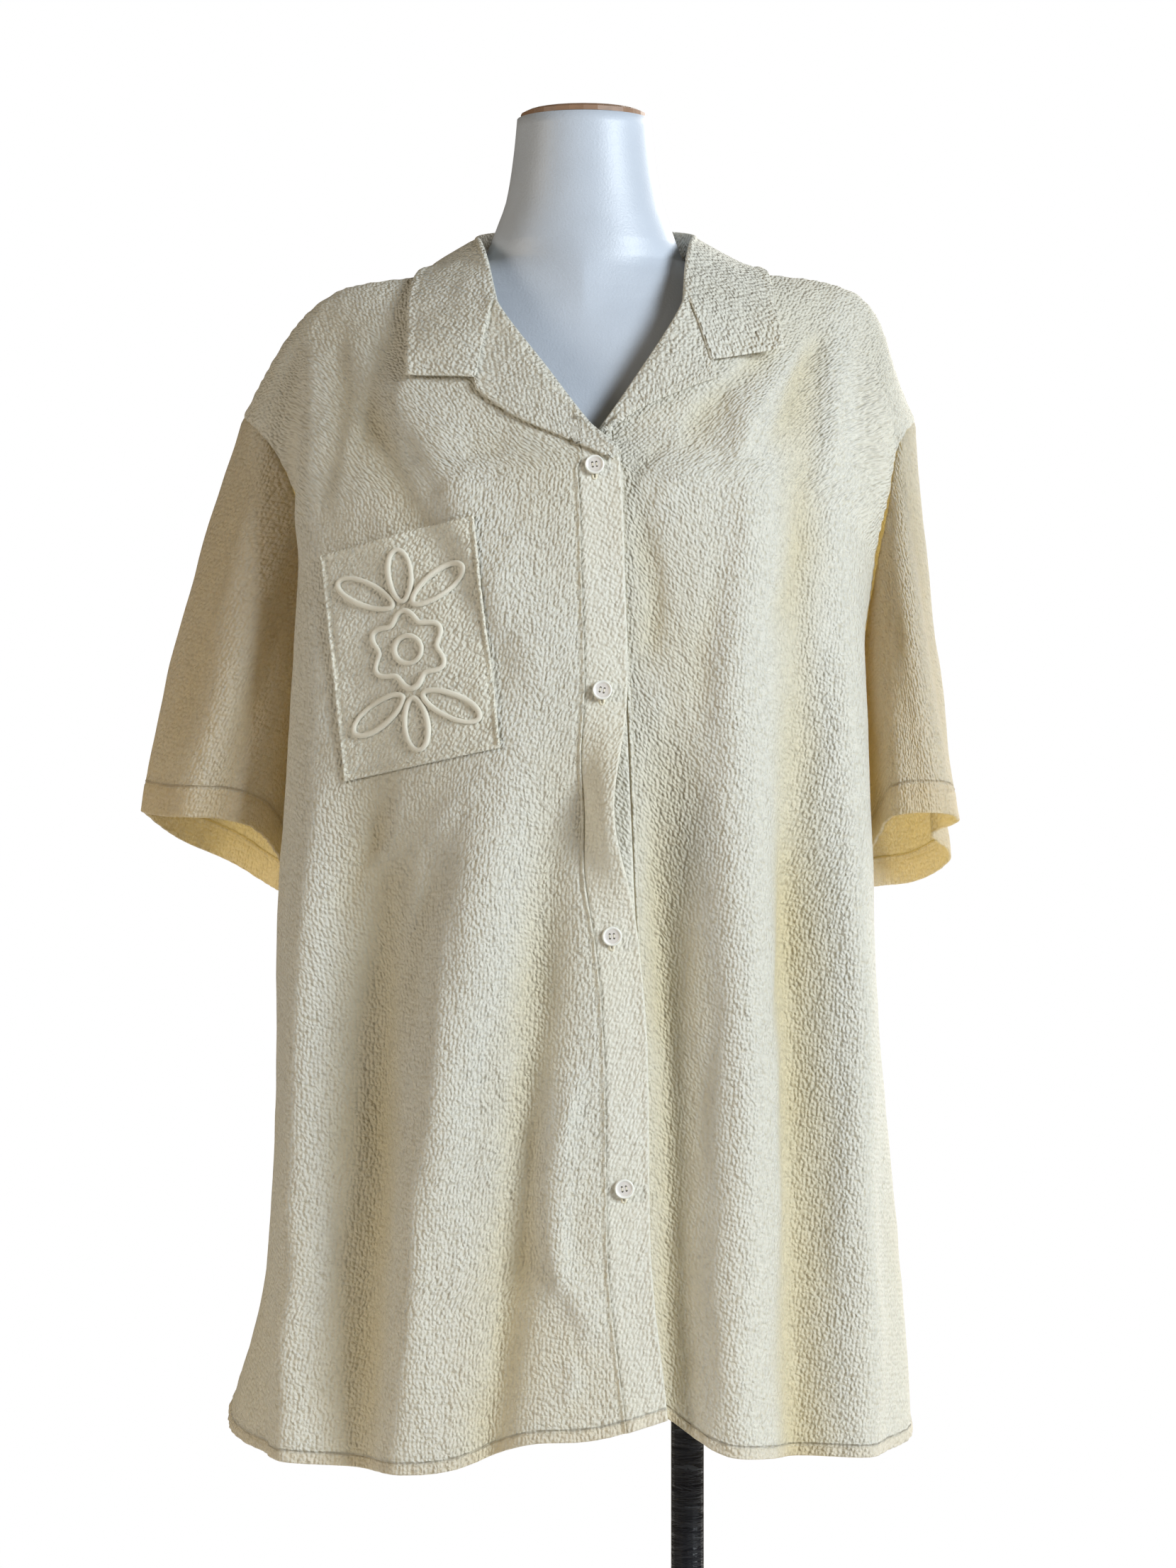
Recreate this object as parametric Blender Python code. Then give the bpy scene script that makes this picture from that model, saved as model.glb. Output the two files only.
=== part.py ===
"""An oversized short-sleeved shirt, buttoned on a limbless dress form with a pole stand.

Metres, +Z up. The shirt's front faces -Y, the wearer's right is -X. The origin is the
middle of the base's underside. Each cloth piece is a thin wall: its outer face comes from
smooth curves through a short table of sections, with the large folds moved out or in.
"""

import math
from collections import namedtuple

import bmesh
import bpy
import numpy as np
from mathutils import Matrix, Vector
from mathutils.bvhtree import BVHTree

# Cloth, seams and trim
ONE_LAYER = 0.0012
TWO_LAYERS = 0.0018
SEAM_GAP = 0.0004
BAND_WIDTH = 0.028
BUTTON_DIAMETER = 0.0128
BUTTON_THICKNESS = 0.0026
BUTTON_HEIGHTS = (1.2485, 1.102, 0.943, 0.777)
BUTTON_FROM_EDGE = 0.0165
BUTTON_SHANK = 0.0004

# Levels where the edge turns out into the lapels, where the band has narrowed to nothing,
# where the lapel ends at the collar, and where the armhole starts
BREAK_LEVEL = 0.73
BAND_END_LEVEL = 0.79
GORGE_LEVEL = 0.895
UNDERARM_LEVEL = 0.53

# Mesh sizes
LEVEL_SPANS = (
    (0.0, 0.36, 6),
    (0.36, UNDERARM_LEVEL, 5),
    (UNDERARM_LEVEL, BREAK_LEVEL, 4),
    (BREAK_LEVEL, BAND_END_LEVEL, 3),
    (BAND_END_LEVEL, GORGE_LEVEL, 4),
    (GORGE_LEVEL, 1.0, 5),
)
FRONT_SPANS = 16
NECK_SPANS = 4
BAND_SPANS = 2
SLEEVE_SPANS = 8
DENSE = 161

# Front sections, from the hem to the shoulder seam. A row holds five guide points, from the
# centre edge to the side: x is measured outwards from the centre, y is depth, z is height.
Front = namedtuple(
    "Front",
    "level edge_x edge_y edge_z mid_x mid_y mid_z ridge_x ridge_y ridge_z "
    "flank_x flank_y side_x side_y side_z",
)
FRONT_KNOTS = (0.0, 0.37, 0.68, 0.84, 1.0)
RIGHT_FRONT = (
    Front(0.000, -0.0545, -0.156, 0.630, 0.100, -0.151, 0.594, 0.213, -0.092, 0.600, 0.238, -0.046, 0.242, 0.002, 0.614),
    Front(0.130, -0.0433, -0.152, 0.741, 0.095, -0.147, 0.722, 0.200, -0.088, 0.708, 0.214, -0.045, 0.210, 0.005, 0.716),
    Front(0.270, -0.0415, -0.148, 0.860, 0.094, -0.143, 0.843, 0.197, -0.084, 0.826, 0.205, -0.045, 0.194, 0.008, 0.829),
    Front(0.400, -0.0340, -0.144, 0.972, 0.092, -0.140, 0.955, 0.197, -0.080, 0.938, 0.203, -0.042, 0.186, 0.010, 0.943),
    Front(0.530, -0.0300, -0.140, 1.083, 0.090, -0.136, 1.066, 0.193, -0.078, 1.049, 0.196, -0.040, 0.178, 0.016, 1.045),
    Front(0.635, -0.0267, -0.136, 1.170, 0.090, -0.130, 1.152, 0.190, -0.074, 1.134, 0.190, -0.038, 0.176, 0.000, 1.110),
    Front(0.730, -0.0235, -0.131, 1.251, 0.097, -0.118, 1.231, 0.187, -0.066, 1.212, 0.188, -0.040, 0.181, -0.018, 1.172),
    Front(0.775, -0.0012, -0.122, 1.2755, 0.107, -0.106, 1.259, 0.187, -0.059, 1.243, 0.189, -0.039, 0.186, -0.023, 1.199),
    Front(0.825, 0.0250, -0.108, 1.3105, 0.117, -0.092, 1.292, 0.187, -0.050, 1.275, 0.191, -0.038, 0.192, -0.028, 1.226),
    Front(0.895, 0.0600, -0.079, 1.3600, 0.125, -0.060, 1.341, 0.187, -0.030, 1.325, 0.200, -0.028, 0.211, -0.026, 1.268),
    Front(1.000, 0.0720, 0.000, 1.3980, 0.130, 0.000, 1.3845, 0.1865, 0.000, 1.3650, 0.214, 0.003, 0.234, 0.008, 1.291),
)
LEFT_FRONT = (
    Front(0.000, 0.0235, -0.1495, 0.650, 0.110, -0.147, 0.605, 0.198, -0.090, 0.599, 0.220, -0.045, 0.223, 0.002, 0.604),
    Front(0.130, 0.0160, -0.1460, 0.745, 0.108, -0.143, 0.725, 0.195, -0.086, 0.712, 0.2135, -0.045, 0.211, 0.005, 0.716),
    Front(0.270, 0.0130, -0.1420, 0.860, 0.105, -0.139, 0.844, 0.189, -0.082, 0.828, 0.202, -0.045, 0.195, 0.008, 0.829),
    Front(0.400, 0.0065, -0.1380, 0.972, 0.102, -0.136, 0.956, 0.184, -0.078, 0.940, 0.190, -0.042, 0.182, 0.010, 0.943),
    Front(0.530, 0.0020, -0.1340, 1.083, 0.098, -0.132, 1.066, 0.181, -0.075, 1.049, 0.188, -0.040, 0.180, 0.016, 1.045),
    Front(0.635, -0.0020, -0.1300, 1.170, 0.096, -0.127, 1.152, 0.178, -0.072, 1.134, 0.188, -0.040, 0.187, 0.000, 1.110),
    Front(0.730, -0.0035, -0.1230, 1.250, 0.100, -0.117, 1.231, 0.176, -0.064, 1.212, 0.192, -0.042, 0.196, -0.016, 1.172),
    Front(0.775, 0.0125, -0.1150, 1.271, 0.108, -0.106, 1.258, 0.177, -0.058, 1.243, 0.195, -0.041, 0.200, -0.022, 1.199),
    Front(0.825, 0.0345, -0.1040, 1.303, 0.117, -0.092, 1.290, 0.178, -0.050, 1.275, 0.200, -0.040, 0.206, -0.026, 1.228),
    Front(0.895, 0.0690, -0.0750, 1.362, 0.127, -0.060, 1.343, 0.190, -0.030, 1.325, 0.206, -0.030, 0.213, -0.026, 1.268),
    Front(1.000, 0.0750, 0.0000, 1.399, 0.132, 0.000, 1.387, 0.1975, 0.000, 1.3635, 0.212, 0.003, 0.227, 0.008, 1.288),
)

# Back sections: guide points from the centre back to the side, the same on both sides
Back = namedtuple(
    "Back", "level centre_y centre_z inner_x inner_y mid_x mid_y ridge_x ridge_y ridge_z"
)
BACK_KNOTS = (0.0, 0.22, 0.40, 0.64, 0.82, 1.0)
BACK = (
    Back(0.000, 0.150, 0.585, 0.073, 0.147, 0.130, 0.136, 0.196, 0.090, 0.592),
    Back(0.130, 0.146, 0.712, 0.073, 0.143, 0.128, 0.131, 0.190, 0.086, 0.709),
    Back(0.270, 0.142, 0.842, 0.072, 0.139, 0.126, 0.127, 0.186, 0.084, 0.828),
    Back(0.400, 0.138, 0.962, 0.072, 0.134, 0.125, 0.122, 0.183, 0.082, 0.942),
    Back(0.530, 0.133, 1.078, 0.072, 0.130, 0.124, 0.118, 0.181, 0.082, 1.052),
    Back(0.635, 0.128, 1.170, 0.072, 0.125, 0.123, 0.113, 0.178, 0.080, 1.136),
    Back(0.730, 0.120, 1.250, 0.072, 0.118, 0.122, 0.107, 0.177, 0.076, 1.214),
    Back(0.825, 0.108, 1.315, 0.072, 0.105, 0.125, 0.094, 0.179, 0.066, 1.277),
    Back(0.895, 0.090, 1.362, 0.072, 0.083, 0.128, 0.066, 0.184, 0.042, 1.326),
    Back(1.000, 0.063, 1.404, 0.074, 0.000, 0.130, 0.000, 0.185, 0.000, 1.3655),
)
ARMHOLE_BACK_BULGE = 1.3

# Large folds. Each runs down a line from its top to its foot and grows from nothing at the
# top: a positive height is a ridge, a negative one a trough.
Fold = namedtuple("Fold", "top_x top_z foot_x foot_z width height")
RIGHT_FRONT_FOLDS = (
    Fold(-0.160, 1.060, -0.176, 0.620, 0.022, 0.010),
    Fold(-0.125, 1.040, -0.122, 0.620, 0.026, -0.014),
    Fold(-0.050, 1.140, -0.080, 0.600, 0.026, 0.014),
    Fold(-0.016, 1.060, -0.042, 0.640, 0.018, -0.012),
    Fold(-0.094, 1.300, -0.132, 1.210, 0.030, -0.005),
)
LEFT_FRONT_FOLDS = (
    Fold(0.062, 1.080, 0.064, 0.640, 0.024, -0.015),
    Fold(0.122, 1.140, 0.106, 0.600, 0.024, 0.014),
    Fold(0.152, 1.060, 0.146, 0.620, 0.018, -0.012),
    Fold(0.044, 1.250, 0.060, 1.080, 0.028, -0.006),
)
BACK_FOLDS = (
    Fold(-0.150, 1.180, -0.140, 0.600, 0.024, -0.012),
    Fold(-0.085, 1.240, -0.090, 0.600, 0.026, 0.014),
    Fold(-0.030, 1.160, -0.035, 0.600, 0.024, -0.013),
    Fold(0.030, 1.240, 0.024, 0.600, 0.026, 0.012),
    Fold(0.088, 1.180, 0.082, 0.600, 0.024, -0.013),
    Fold(0.140, 1.160, 0.142, 0.600, 0.022, 0.010),
)
FOLD_FULL_AFTER = 0.22

# Waves of the hem: where, how wide and how high the cloth is lifted there
Wave = namedtuple("Wave", "x width lift")
RIGHT_HEM = (Wave(-0.038, 0.034, 0.010), Wave(-0.150, 0.030, 0.002))
LEFT_HEM = (Wave(0.090, 0.020, -0.004), Wave(0.150, 0.030, 0.002))
HEM_REACH = 0.12
GAPE_HEIGHT = 1.022
GAPE_REACH = 0.050
GAPE_PULL = 0.0125
GAPE_LIFT = 0.0240

# Sleeve hems: eight points round the ring, from the outermost one by the front, with x outwards
Ring = namedtuple("Ring", "share x y z")
RIGHT_CUFF = (
    Ring(0.000, 0.303, 0.028, 1.020),
    Ring(0.125, 0.287, -0.030, 1.019),
    Ring(0.250, 0.246, -0.050, 1.017),
    Ring(0.375, 0.214, -0.022, 1.003),
    Ring(0.500, 0.203, 0.026, 0.972),
    Ring(0.625, 0.214, 0.070, 0.966),
    Ring(0.750, 0.244, 0.090, 0.983),
    Ring(0.875, 0.284, 0.074, 1.002),
)
LEFT_CUFF = (
    Ring(0.000, 0.256, 0.022, 1.008),
    Ring(0.125, 0.250, -0.030, 1.019),
    Ring(0.250, 0.222, -0.052, 1.021),
    Ring(0.375, 0.200, -0.026, 1.008),
    Ring(0.500, 0.193, 0.026, 0.972),
    Ring(0.625, 0.202, 0.076, 0.968),
    Ring(0.750, 0.226, 0.094, 0.970),
    Ring(0.875, 0.253, 0.066, 0.984),
)
SLEEVE_BELLY = 0.012
RIGHT_SLEEVE_BOW = 0.004
LEFT_SLEEVE_BOW = -0.004
SLEEVE_CLEAR = 0.009

# Collar, from its front end round to the back: how high it stands off the neck seam before
# it rolls over, how upright it stands, and its outer edge with x outwards
Collar = namedtuple("Collar", "share stand upright outer_x outer_y outer_z")
RIGHT_COLLAR = (
    Collar(0.00, 0.0032, 0.00, 0.1166, -0.093, 1.3110),
    Collar(0.25, 0.0080, 0.60, 0.1150, -0.058, 1.3510),
    Collar(0.50, 0.0155, 1.00, 0.1090, 0.004, 1.3930),
    Collar(0.78, 0.0220, 1.00, 0.0900, 0.088, 1.3760),
    Collar(1.00, 0.0270, 1.00, 0.0000, 0.118, 1.3660),
)
LEFT_COLLAR = (
    Collar(0.00, 0.0032, 0.00, 0.1322, -0.083, 1.3310),
    Collar(0.25, 0.0080, 0.60, 0.1280, -0.050, 1.3630),
    Collar(0.50, 0.0155, 1.00, 0.1180, 0.006, 1.3920),
    Collar(0.78, 0.0220, 1.00, 0.0930, 0.088, 1.3760),
    Collar(1.00, 0.0270, 1.00, 0.0000, 0.118, 1.3660),
)
NECK_POINT_SHARE = 0.5
COLLAR_ROWS = (0.12, 0.31, 0.50, 0.67, 0.84, 1.0)
COLLAR_LIFT = 0.0050
RIGHT_NOTCH = (-0.0702, -0.104, 1.3078)
LEFT_NOTCH = (0.0842, -0.096, 1.3212)
NOTCH_ROW = 0.50

# Lapels: the outer edge from the break to the tip, with x outwards
Lapel = namedtuple("Lapel", "share outer_x outer_z")
RIGHT_LAPEL = (
    Lapel(0.00, -0.0225, 1.2505),
    Lapel(0.25, -0.0020, 1.2597),
    Lapel(0.50, 0.0200, 1.2695),
    Lapel(0.75, 0.0455, 1.2815),
    Lapel(1.00, 0.0703, 1.2993),
)
LEFT_LAPEL = (
    Lapel(0.00, -0.0020, 1.2530),
    Lapel(0.25, 0.0160, 1.2700),
    Lapel(0.50, 0.0350, 1.2850),
    Lapel(0.75, 0.0600, 1.2970),
    Lapel(1.00, 0.0866, 1.3080),
)
RIGHT_LAPEL_START = 0.737
LEFT_LAPEL_START = 0.765
LAPEL_CLEAR = 0.0032
LAPEL_STAND = 0.0030
LAPEL_LIFT = 0.0032
LAPEL_ROWS = (0.2, 0.45, 0.7, 1.0)
ROLL_SPACE = 0.0008

# Dress form: rings from the bottom to the neck; a low squareness is a ring with pointed ends
Torso = namedtuple("Torso", "z half_width front back squareness")
TORSO = (
    Torso(0.720, 0.120, 0.070, 0.080, 2.2),
    Torso(0.726, 0.148, 0.088, 0.098, 2.2),
    Torso(0.745, 0.160, 0.096, 0.108, 2.2),
    Torso(0.800, 0.168, 0.100, 0.116, 2.2),
    Torso(0.860, 0.165, 0.098, 0.112, 2.2),
    Torso(0.940, 0.146, 0.092, 0.094, 2.2),
    Torso(1.010, 0.126, 0.088, 0.078, 2.2),
    Torso(1.070, 0.128, 0.096, 0.084, 2.2),
    Torso(1.130, 0.144, 0.110, 0.096, 2.2),
    Torso(1.180, 0.156, 0.118, 0.103, 2.2),
    Torso(1.230, 0.166, 0.112, 0.104, 2.2),
    Torso(1.275, 0.174, 0.099, 0.098, 2.2),
    Torso(1.310, 0.178, 0.085, 0.087, 2.0),
    Torso(1.338, 0.180, 0.073, 0.074, 1.7),
    Torso(1.356, 0.178, 0.066, 0.066, 1.4),
    Torso(1.366, 0.170, 0.062, 0.061, 1.3),
    Torso(1.375, 0.150, 0.059, 0.057, 1.3),
    Torso(1.383, 0.122, 0.057, 0.055, 1.35),
    Torso(1.390, 0.090, 0.055, 0.054, 1.5),
    Torso(1.397, 0.069, 0.053, 0.053, 1.8),
    Torso(1.408, 0.064, 0.052, 0.052, 2.0),
    Torso(1.421, 0.059, 0.050, 0.051, 2.0),
    Torso(1.438, 0.053, 0.048, 0.049, 2.0),
    Torso(1.473, 0.0475, 0.0455, 0.046, 2.0),
    Torso(1.494, 0.0455, 0.044, 0.044, 2.0),
)
TORSO_COLUMNS = 26
CAP_RADIUS = 0.043
CAP_THICKNESS = 0.005

# Stand
POLE_X = 0.071
POLE_RADIUS = 0.0112
POLE_TOP = 0.7195
SOCKET_RADIUS = 0.019
SOCKET_HEIGHT = 0.070
BASE_RADIUS = 0.160
BASE_THICKNESS = 0.006

# Pocket: corners on the right front as x and z, seen from the front
POCKET_TOP_OUTER = (-0.1735, 1.191)
POCKET_TOP_INNER = (-0.0715, 1.215)
POCKET_LOW_INNER = (-0.0535, 1.0635)
POCKET_LOW_OUTER = (-0.1570, 1.0415)
POCKET_LIFT = 0.0011
MOTIF_GAP = 0.0005
POCKET_COLUMNS = 7
POCKET_ROWS = 8

# Cord design on the pocket: closed loops, placed from the pocket's middle. A flower has round
# lobes on a ring; a leaf is a long loop, pointed at its foot, turned by its angle from upright.
CORD_WIDTH = 0.0034
CORD_HEIGHT = 0.0014
Flower = namedtuple("Flower", "x z radius lobe lobes points")
Leaf = namedtuple("Leaf", "x z length width turn points")
FLOWERS = (Flower(0.0, 0.0, 0.0225, 0.0032, 6, 36), Flower(0.0, 0.0, 0.0090, 0.0, 1, 12))
LEAVES = (
    Leaf(-0.007, 0.030, 0.040, 0.0150, 60.0, 16),
    Leaf(0.007, 0.030, 0.040, 0.0150, -60.0, 16),
    Leaf(0.000, 0.032, 0.034, 0.0150, 0.0, 16),
    Leaf(-0.007, -0.030, 0.040, 0.0150, 120.0, 16),
    Leaf(0.007, -0.030, 0.040, 0.0150, -120.0, 16),
    Leaf(0.000, -0.032, 0.034, 0.0150, 180.0, 16),
)

# Colours, as linear RGB, with roughness and metallic
CREAM = (0.780, 0.730, 0.560, 1.0)
TRIM = (0.800, 0.760, 0.620, 1.0)
PEARL = (0.760, 0.720, 0.650, 1.0)
WHITE = (0.700, 0.720, 0.760, 1.0)
BROWN = (0.120, 0.070, 0.045, 1.0)
BLACK = (0.012, 0.013, 0.015, 1.0)


def clear_scene():
    for obj in list(bpy.data.objects):
        bpy.data.objects.remove(obj)


def material(name, colour, roughness, metallic=0.0):
    made = bpy.data.materials.new(name)
    made.use_nodes = True
    shader = made.node_tree.nodes["Principled BSDF"]
    shader.inputs["Base Color"].default_value = colour
    shader.inputs["Roughness"].default_value = roughness
    shader.inputs["Metallic"].default_value = metallic
    return made


def through_rows(levels, rows, at):
    """Smooth curves through the rows, without overshoot, read at each level in at.

    At the last row they arrive level, so that front and back meet in a rounded shoulder.
    """
    levels = np.asarray(levels, float)
    step = np.diff(levels)[:, None]
    rise = np.diff(rows, axis=0) / step
    before, after = rise[:-1], rise[1:]
    same_way = before * after > 0
    wide = 2 * step[1:] + step[:-1]
    near = step[1:] + 2 * step[:-1]
    safe_before = np.where(same_way, before, 1.0)
    safe_after = np.where(same_way, after, 1.0)
    slope = np.zeros_like(rows)
    slope[1:-1] = np.where(same_way, (wide + near) / (wide / safe_before + near / safe_after), 0.0)
    slope[0] = rise[0]
    slope[-1] = rise[-1] * np.tile((0.0, 1.5, 0.0), rows.shape[1] // 3)
    k = np.clip(np.searchsorted(levels, at, side="right") - 1, 0, len(levels) - 2)
    h = step[k]
    t = (np.asarray(at) - levels[k])[:, None] / h
    return (
        (2 * t**3 - 3 * t**2 + 1) * rows[k]
        + (t**3 - 2 * t**2 + t) * h * slope[k]
        + (3 * t**2 - 2 * t**3) * rows[k + 1]
        + (t**3 - t**2) * h * slope[k + 1]
    )


def spline_weights(knots, at):
    """Weights that read, at each value in at, a cubic spline through one value for each knot."""
    knots = np.asarray(knots, float)
    at = np.asarray(at, float)
    count = len(knots)
    step = np.diff(knots)
    system = np.eye(count)
    right = np.zeros((count, count))
    for i in range(1, count - 1):
        system[i, i - 1 : i + 2] = step[i - 1], 2 * (step[i - 1] + step[i]), step[i]
        right[i, i - 1 : i + 2] = 6 / step[i - 1], -6 / step[i - 1] - 6 / step[i], 6 / step[i]
    bend = np.linalg.solve(system, right)
    k = np.clip(np.searchsorted(knots, at, side="right") - 1, 0, count - 2)
    a = ((knots[k + 1] - at) / step[k])[:, None]
    b = 1 - a
    unit = np.eye(count)
    curved = (a**3 - a) * bend[k] + (b**3 - b) * bend[k + 1]
    return a * unit[k] + b * unit[k + 1] + curved * (step[k] ** 2)[:, None] / 6


def level_list():
    """Levels of the rows of points, the same on the fronts and the back so that their seams meet."""
    levels = [0.0]
    for low, high, spans in LEVEL_SPANS:
        levels += list(np.linspace(low, high, spans + 1)[1:])
    return np.array(levels)


def unit_rows(vectors):
    return vectors / np.maximum(np.linalg.norm(vectors, axis=-1, keepdims=True), 1e-9)


def grid_normals(points, outward):
    """Normals of a grid of points, all turned to the side that outward points to."""
    normals = unit_rows(np.cross(np.gradient(points, axis=0), np.gradient(points, axis=1)))
    middle = normals[points.shape[0] // 2, points.shape[1] // 2]
    return normals * (1.0 if middle @ np.asarray(outward) > 0 else -1.0)


def seam_normals(line, outward):
    """Normals that two panels share along a seam that runs in the plane of the sides."""
    normals = unit_rows(np.cross(np.gradient(line, axis=0), (0.0, 1.0, 0.0)))
    return normals * (1.0 if normals[len(line) // 2] @ np.asarray(outward) > 0 else -1.0)


def ease(t):
    t = np.clip(t, 0.0, 1.0)
    return t * t * (3 - 2 * t)


def fold_heights(points, folds):
    """How far the folds move each point of a grid out."""
    x, z = points[..., 0], points[..., 2]
    total = np.zeros(x.shape)
    for fold in folds:
        down = (fold.top_z - z) / (fold.top_z - fold.foot_z)
        line = fold.top_x + (fold.foot_x - fold.top_x) * np.clip(down, 0.0, 1.2)
        across = np.exp(-(((x - line) / fold.width) ** 2))
        total += fold.height * across * ease((fold.top_z - z) / FOLD_FULL_AFTER)
    return total


def wave_hem(rows, levels, waves):
    """Lifts the hem in waves that die out a little way up."""
    for wave in waves:
        near = np.exp(-(((rows[..., 0] - wave.x) / wave.width) ** 2))
        rows[..., 2] += wave.lift * (1 - ease(levels / HEM_REACH))[:, None] * near


def arc_lengths(rows):
    steps = np.linalg.norm(np.diff(rows[..., :3], axis=1), axis=-1)
    return np.concatenate([np.zeros((len(rows), 1)), np.cumsum(steps, axis=1)], axis=1)


def read_rows(rows, runs):
    """Values of dense rows at the given arc lengths along each row."""
    found = arc_lengths(rows)
    return np.array(
        [
            [[np.interp(r, found[i], rows[i, :, c]) for c in range(rows.shape[2])] for r in runs[i]]
            for i in range(len(rows))
        ]
    )


def front_guides(sections, levels, side):
    """Guide points of a front at each level; side is -1 for the right front."""
    rows = []
    for s in sections:
        flank_z = (s.ridge_z + s.side_z) / 2
        rows.append(
            [side * s.edge_x, s.edge_y, s.edge_z]
            + [side * s.mid_x, s.mid_y, s.mid_z]
            + [side * s.ridge_x, s.ridge_y, s.ridge_z]
            + [side * s.flank_x, s.flank_y, flank_z]
            + [side * s.side_x, s.side_y, s.side_z]
        )
    found = through_rows([s.level for s in sections], np.array(rows), levels)
    return found.reshape(len(levels), 5, 3)


def front_rows(sections, folds, waves, levels, side, top_layer):
    """Dense rows on a front's outer face, from the centre edge to the side: points, then normals."""
    guides = front_guides(sections, levels, side)
    weights = spline_weights(FRONT_KNOTS, np.linspace(0, 1, DENSE))
    rows = np.einsum("kg,lgc->lkc", weights, guides)
    normals = grid_normals(rows, (0, -1, 0))
    run = arc_lengths(rows)
    fade = ease((run - 0.6 * BAND_WIDTH) / BAND_WIDTH) * ease((run[:, -1:] - run) / 0.05)
    rows = rows + normals * (fold_heights(rows, folds) * fade)[..., None]
    wave_hem(rows, levels, waves)
    if top_layer:
        gape(rows)
    return np.concatenate([rows, grid_normals(rows, (0, -1, 0))], axis=2)


def gape(rows):
    """The top front's edge bowing back and up between the second and third buttons."""
    run = arc_lengths(rows)
    near = np.exp(-(((rows[..., 2] - GAPE_HEIGHT) / GAPE_REACH) ** 2))
    edge = ease(1 - run / (1.35 * BAND_WIDTH))
    rows[..., 0] -= GAPE_PULL * near * edge
    rows[..., 1] -= GAPE_LIFT * near * edge


def band_width(levels):
    """The band is even up to the break, and narrows to nothing where its seam meets the roll line."""
    share = (BAND_END_LEVEL - levels) / (BAND_END_LEVEL - BREAK_LEVEL)
    return BAND_WIDTH * np.clip(share, 0.0, 1.0)


def trimmed(points, start=0.0, end=0.0, axis=1):
    """A grid with its first and last lines moved in by a small distance along one axis."""
    points = points.copy()
    lines = points if axis == 0 else points.swapaxes(0, 1)
    if start:
        lines[0] += unit_rows(lines[1] - lines[0]) * start
    if end:
        lines[-1] += unit_rows(lines[-2] - lines[-1]) * end
    return points


def mesh_object(name, vertices, faces, look, sharp=40.0):
    mesh = bpy.data.meshes.new(name)
    mesh.from_pydata([tuple(v) for v in vertices], [], faces)
    work = bmesh.new()
    work.from_mesh(mesh)
    bmesh.ops.recalc_face_normals(work, faces=work.faces)
    work.to_mesh(mesh)
    work.free()
    mesh.shade_smooth()
    mesh.set_sharp_from_angle(angle=math.radians(sharp))
    mesh.materials.append(look)
    obj = bpy.data.objects.new(name, mesh)
    bpy.context.collection.objects.link(obj)
    return obj


def wall(name, outer, inner, look, closed=False):
    """A closed wall between two grids of points; closed joins the last column to the first."""
    rows, columns = outer.shape[:2]
    vertices = np.concatenate([outer.reshape(-1, 3), inner.reshape(-1, 3)])
    shift = rows * columns
    spans = columns if closed else columns - 1
    faces = []
    for i in range(rows - 1):
        for j in range(spans):
            k = (j + 1) % columns
            a, b, c, d = i * columns + j, i * columns + k, (i + 1) * columns + k, (i + 1) * columns + j
            faces += [(a, b, c, d), (a + shift, d + shift, c + shift, b + shift)]
    for i in (0, rows - 1):
        for j in range(spans):
            a, b = i * columns + j, i * columns + (j + 1) % columns
            faces.append((a, b, b + shift, a + shift))
    if not closed:
        for j in (0, columns - 1):
            for i in range(rows - 1):
                a, b = i * columns + j, (i + 1) * columns + j
                faces.append((a, b, b + shift, a + shift))
    return mesh_object(name, vertices, faces, look, 62.0)


def panel(name, points, normals, thickness, look):
    """A wall whose outer face is the grid, and whose thickness goes inwards."""
    return wall(name, points, points - normals * thickness, look)


class Front_surface:
    """One front with its band: rows of points and normals at the shared levels."""

    def __init__(self, sections, folds, waves, side, top_layer):
        self.sections = sections
        self.folds = folds
        self.waves = waves
        self.side = side
        self.top_layer = top_layer
        self.levels = level_list()
        self.rows = self.at_levels(self.levels)
        total = arc_lengths(self.rows)[:, -1]
        start = np.where(self.levels <= BAND_END_LEVEL, band_width(self.levels) + SEAM_GAP, 0.0)
        shares = np.linspace(0, 1, FRONT_SPANS + 1)
        runs = start[:, None] + (total - start)[:, None] * shares[None, :]
        found = read_rows(self.rows, runs)
        self.points, self.normals = found[..., :3], unit_rows(found[..., 3:])
        self.top_knots = runs[-1] / total[-1]

    def at_levels(self, levels):
        return front_rows(self.sections, self.folds, self.waves, levels, self.side, self.top_layer)

    def share_seam_normals(self):
        """Turns the normals on the shoulder seam and the side seam the way the back's are turned."""
        self.normals[-1] = seam_normals(self.points[-1], (self.side, 0, 1))
        low = self.levels <= UNDERARM_LEVEL
        self.normals[low, -1] = seam_normals(self.points[low, -1], (self.side, 0, 0))

    def build(self, name, look):
        self.share_seam_normals()
        points = trimmed(self.points, end=SEAM_GAP)
        points = trimmed(points, end=SEAM_GAP, axis=0)
        panel(name, points, self.normals, ONE_LAYER, look)

    def build_band(self, name, look):
        levels = np.append(self.levels[self.levels < BAND_END_LEVEL - 0.01], BAND_END_LEVEL - 0.004)
        runs = band_width(levels)[:, None] * np.linspace(0, 1, BAND_SPANS + 1)[None, :]
        found = read_rows(self.at_levels(levels), runs)
        panel(name, found[..., :3], unit_rows(found[..., 3:]), TWO_LAYERS, look)
        return found[..., :3]


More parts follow.
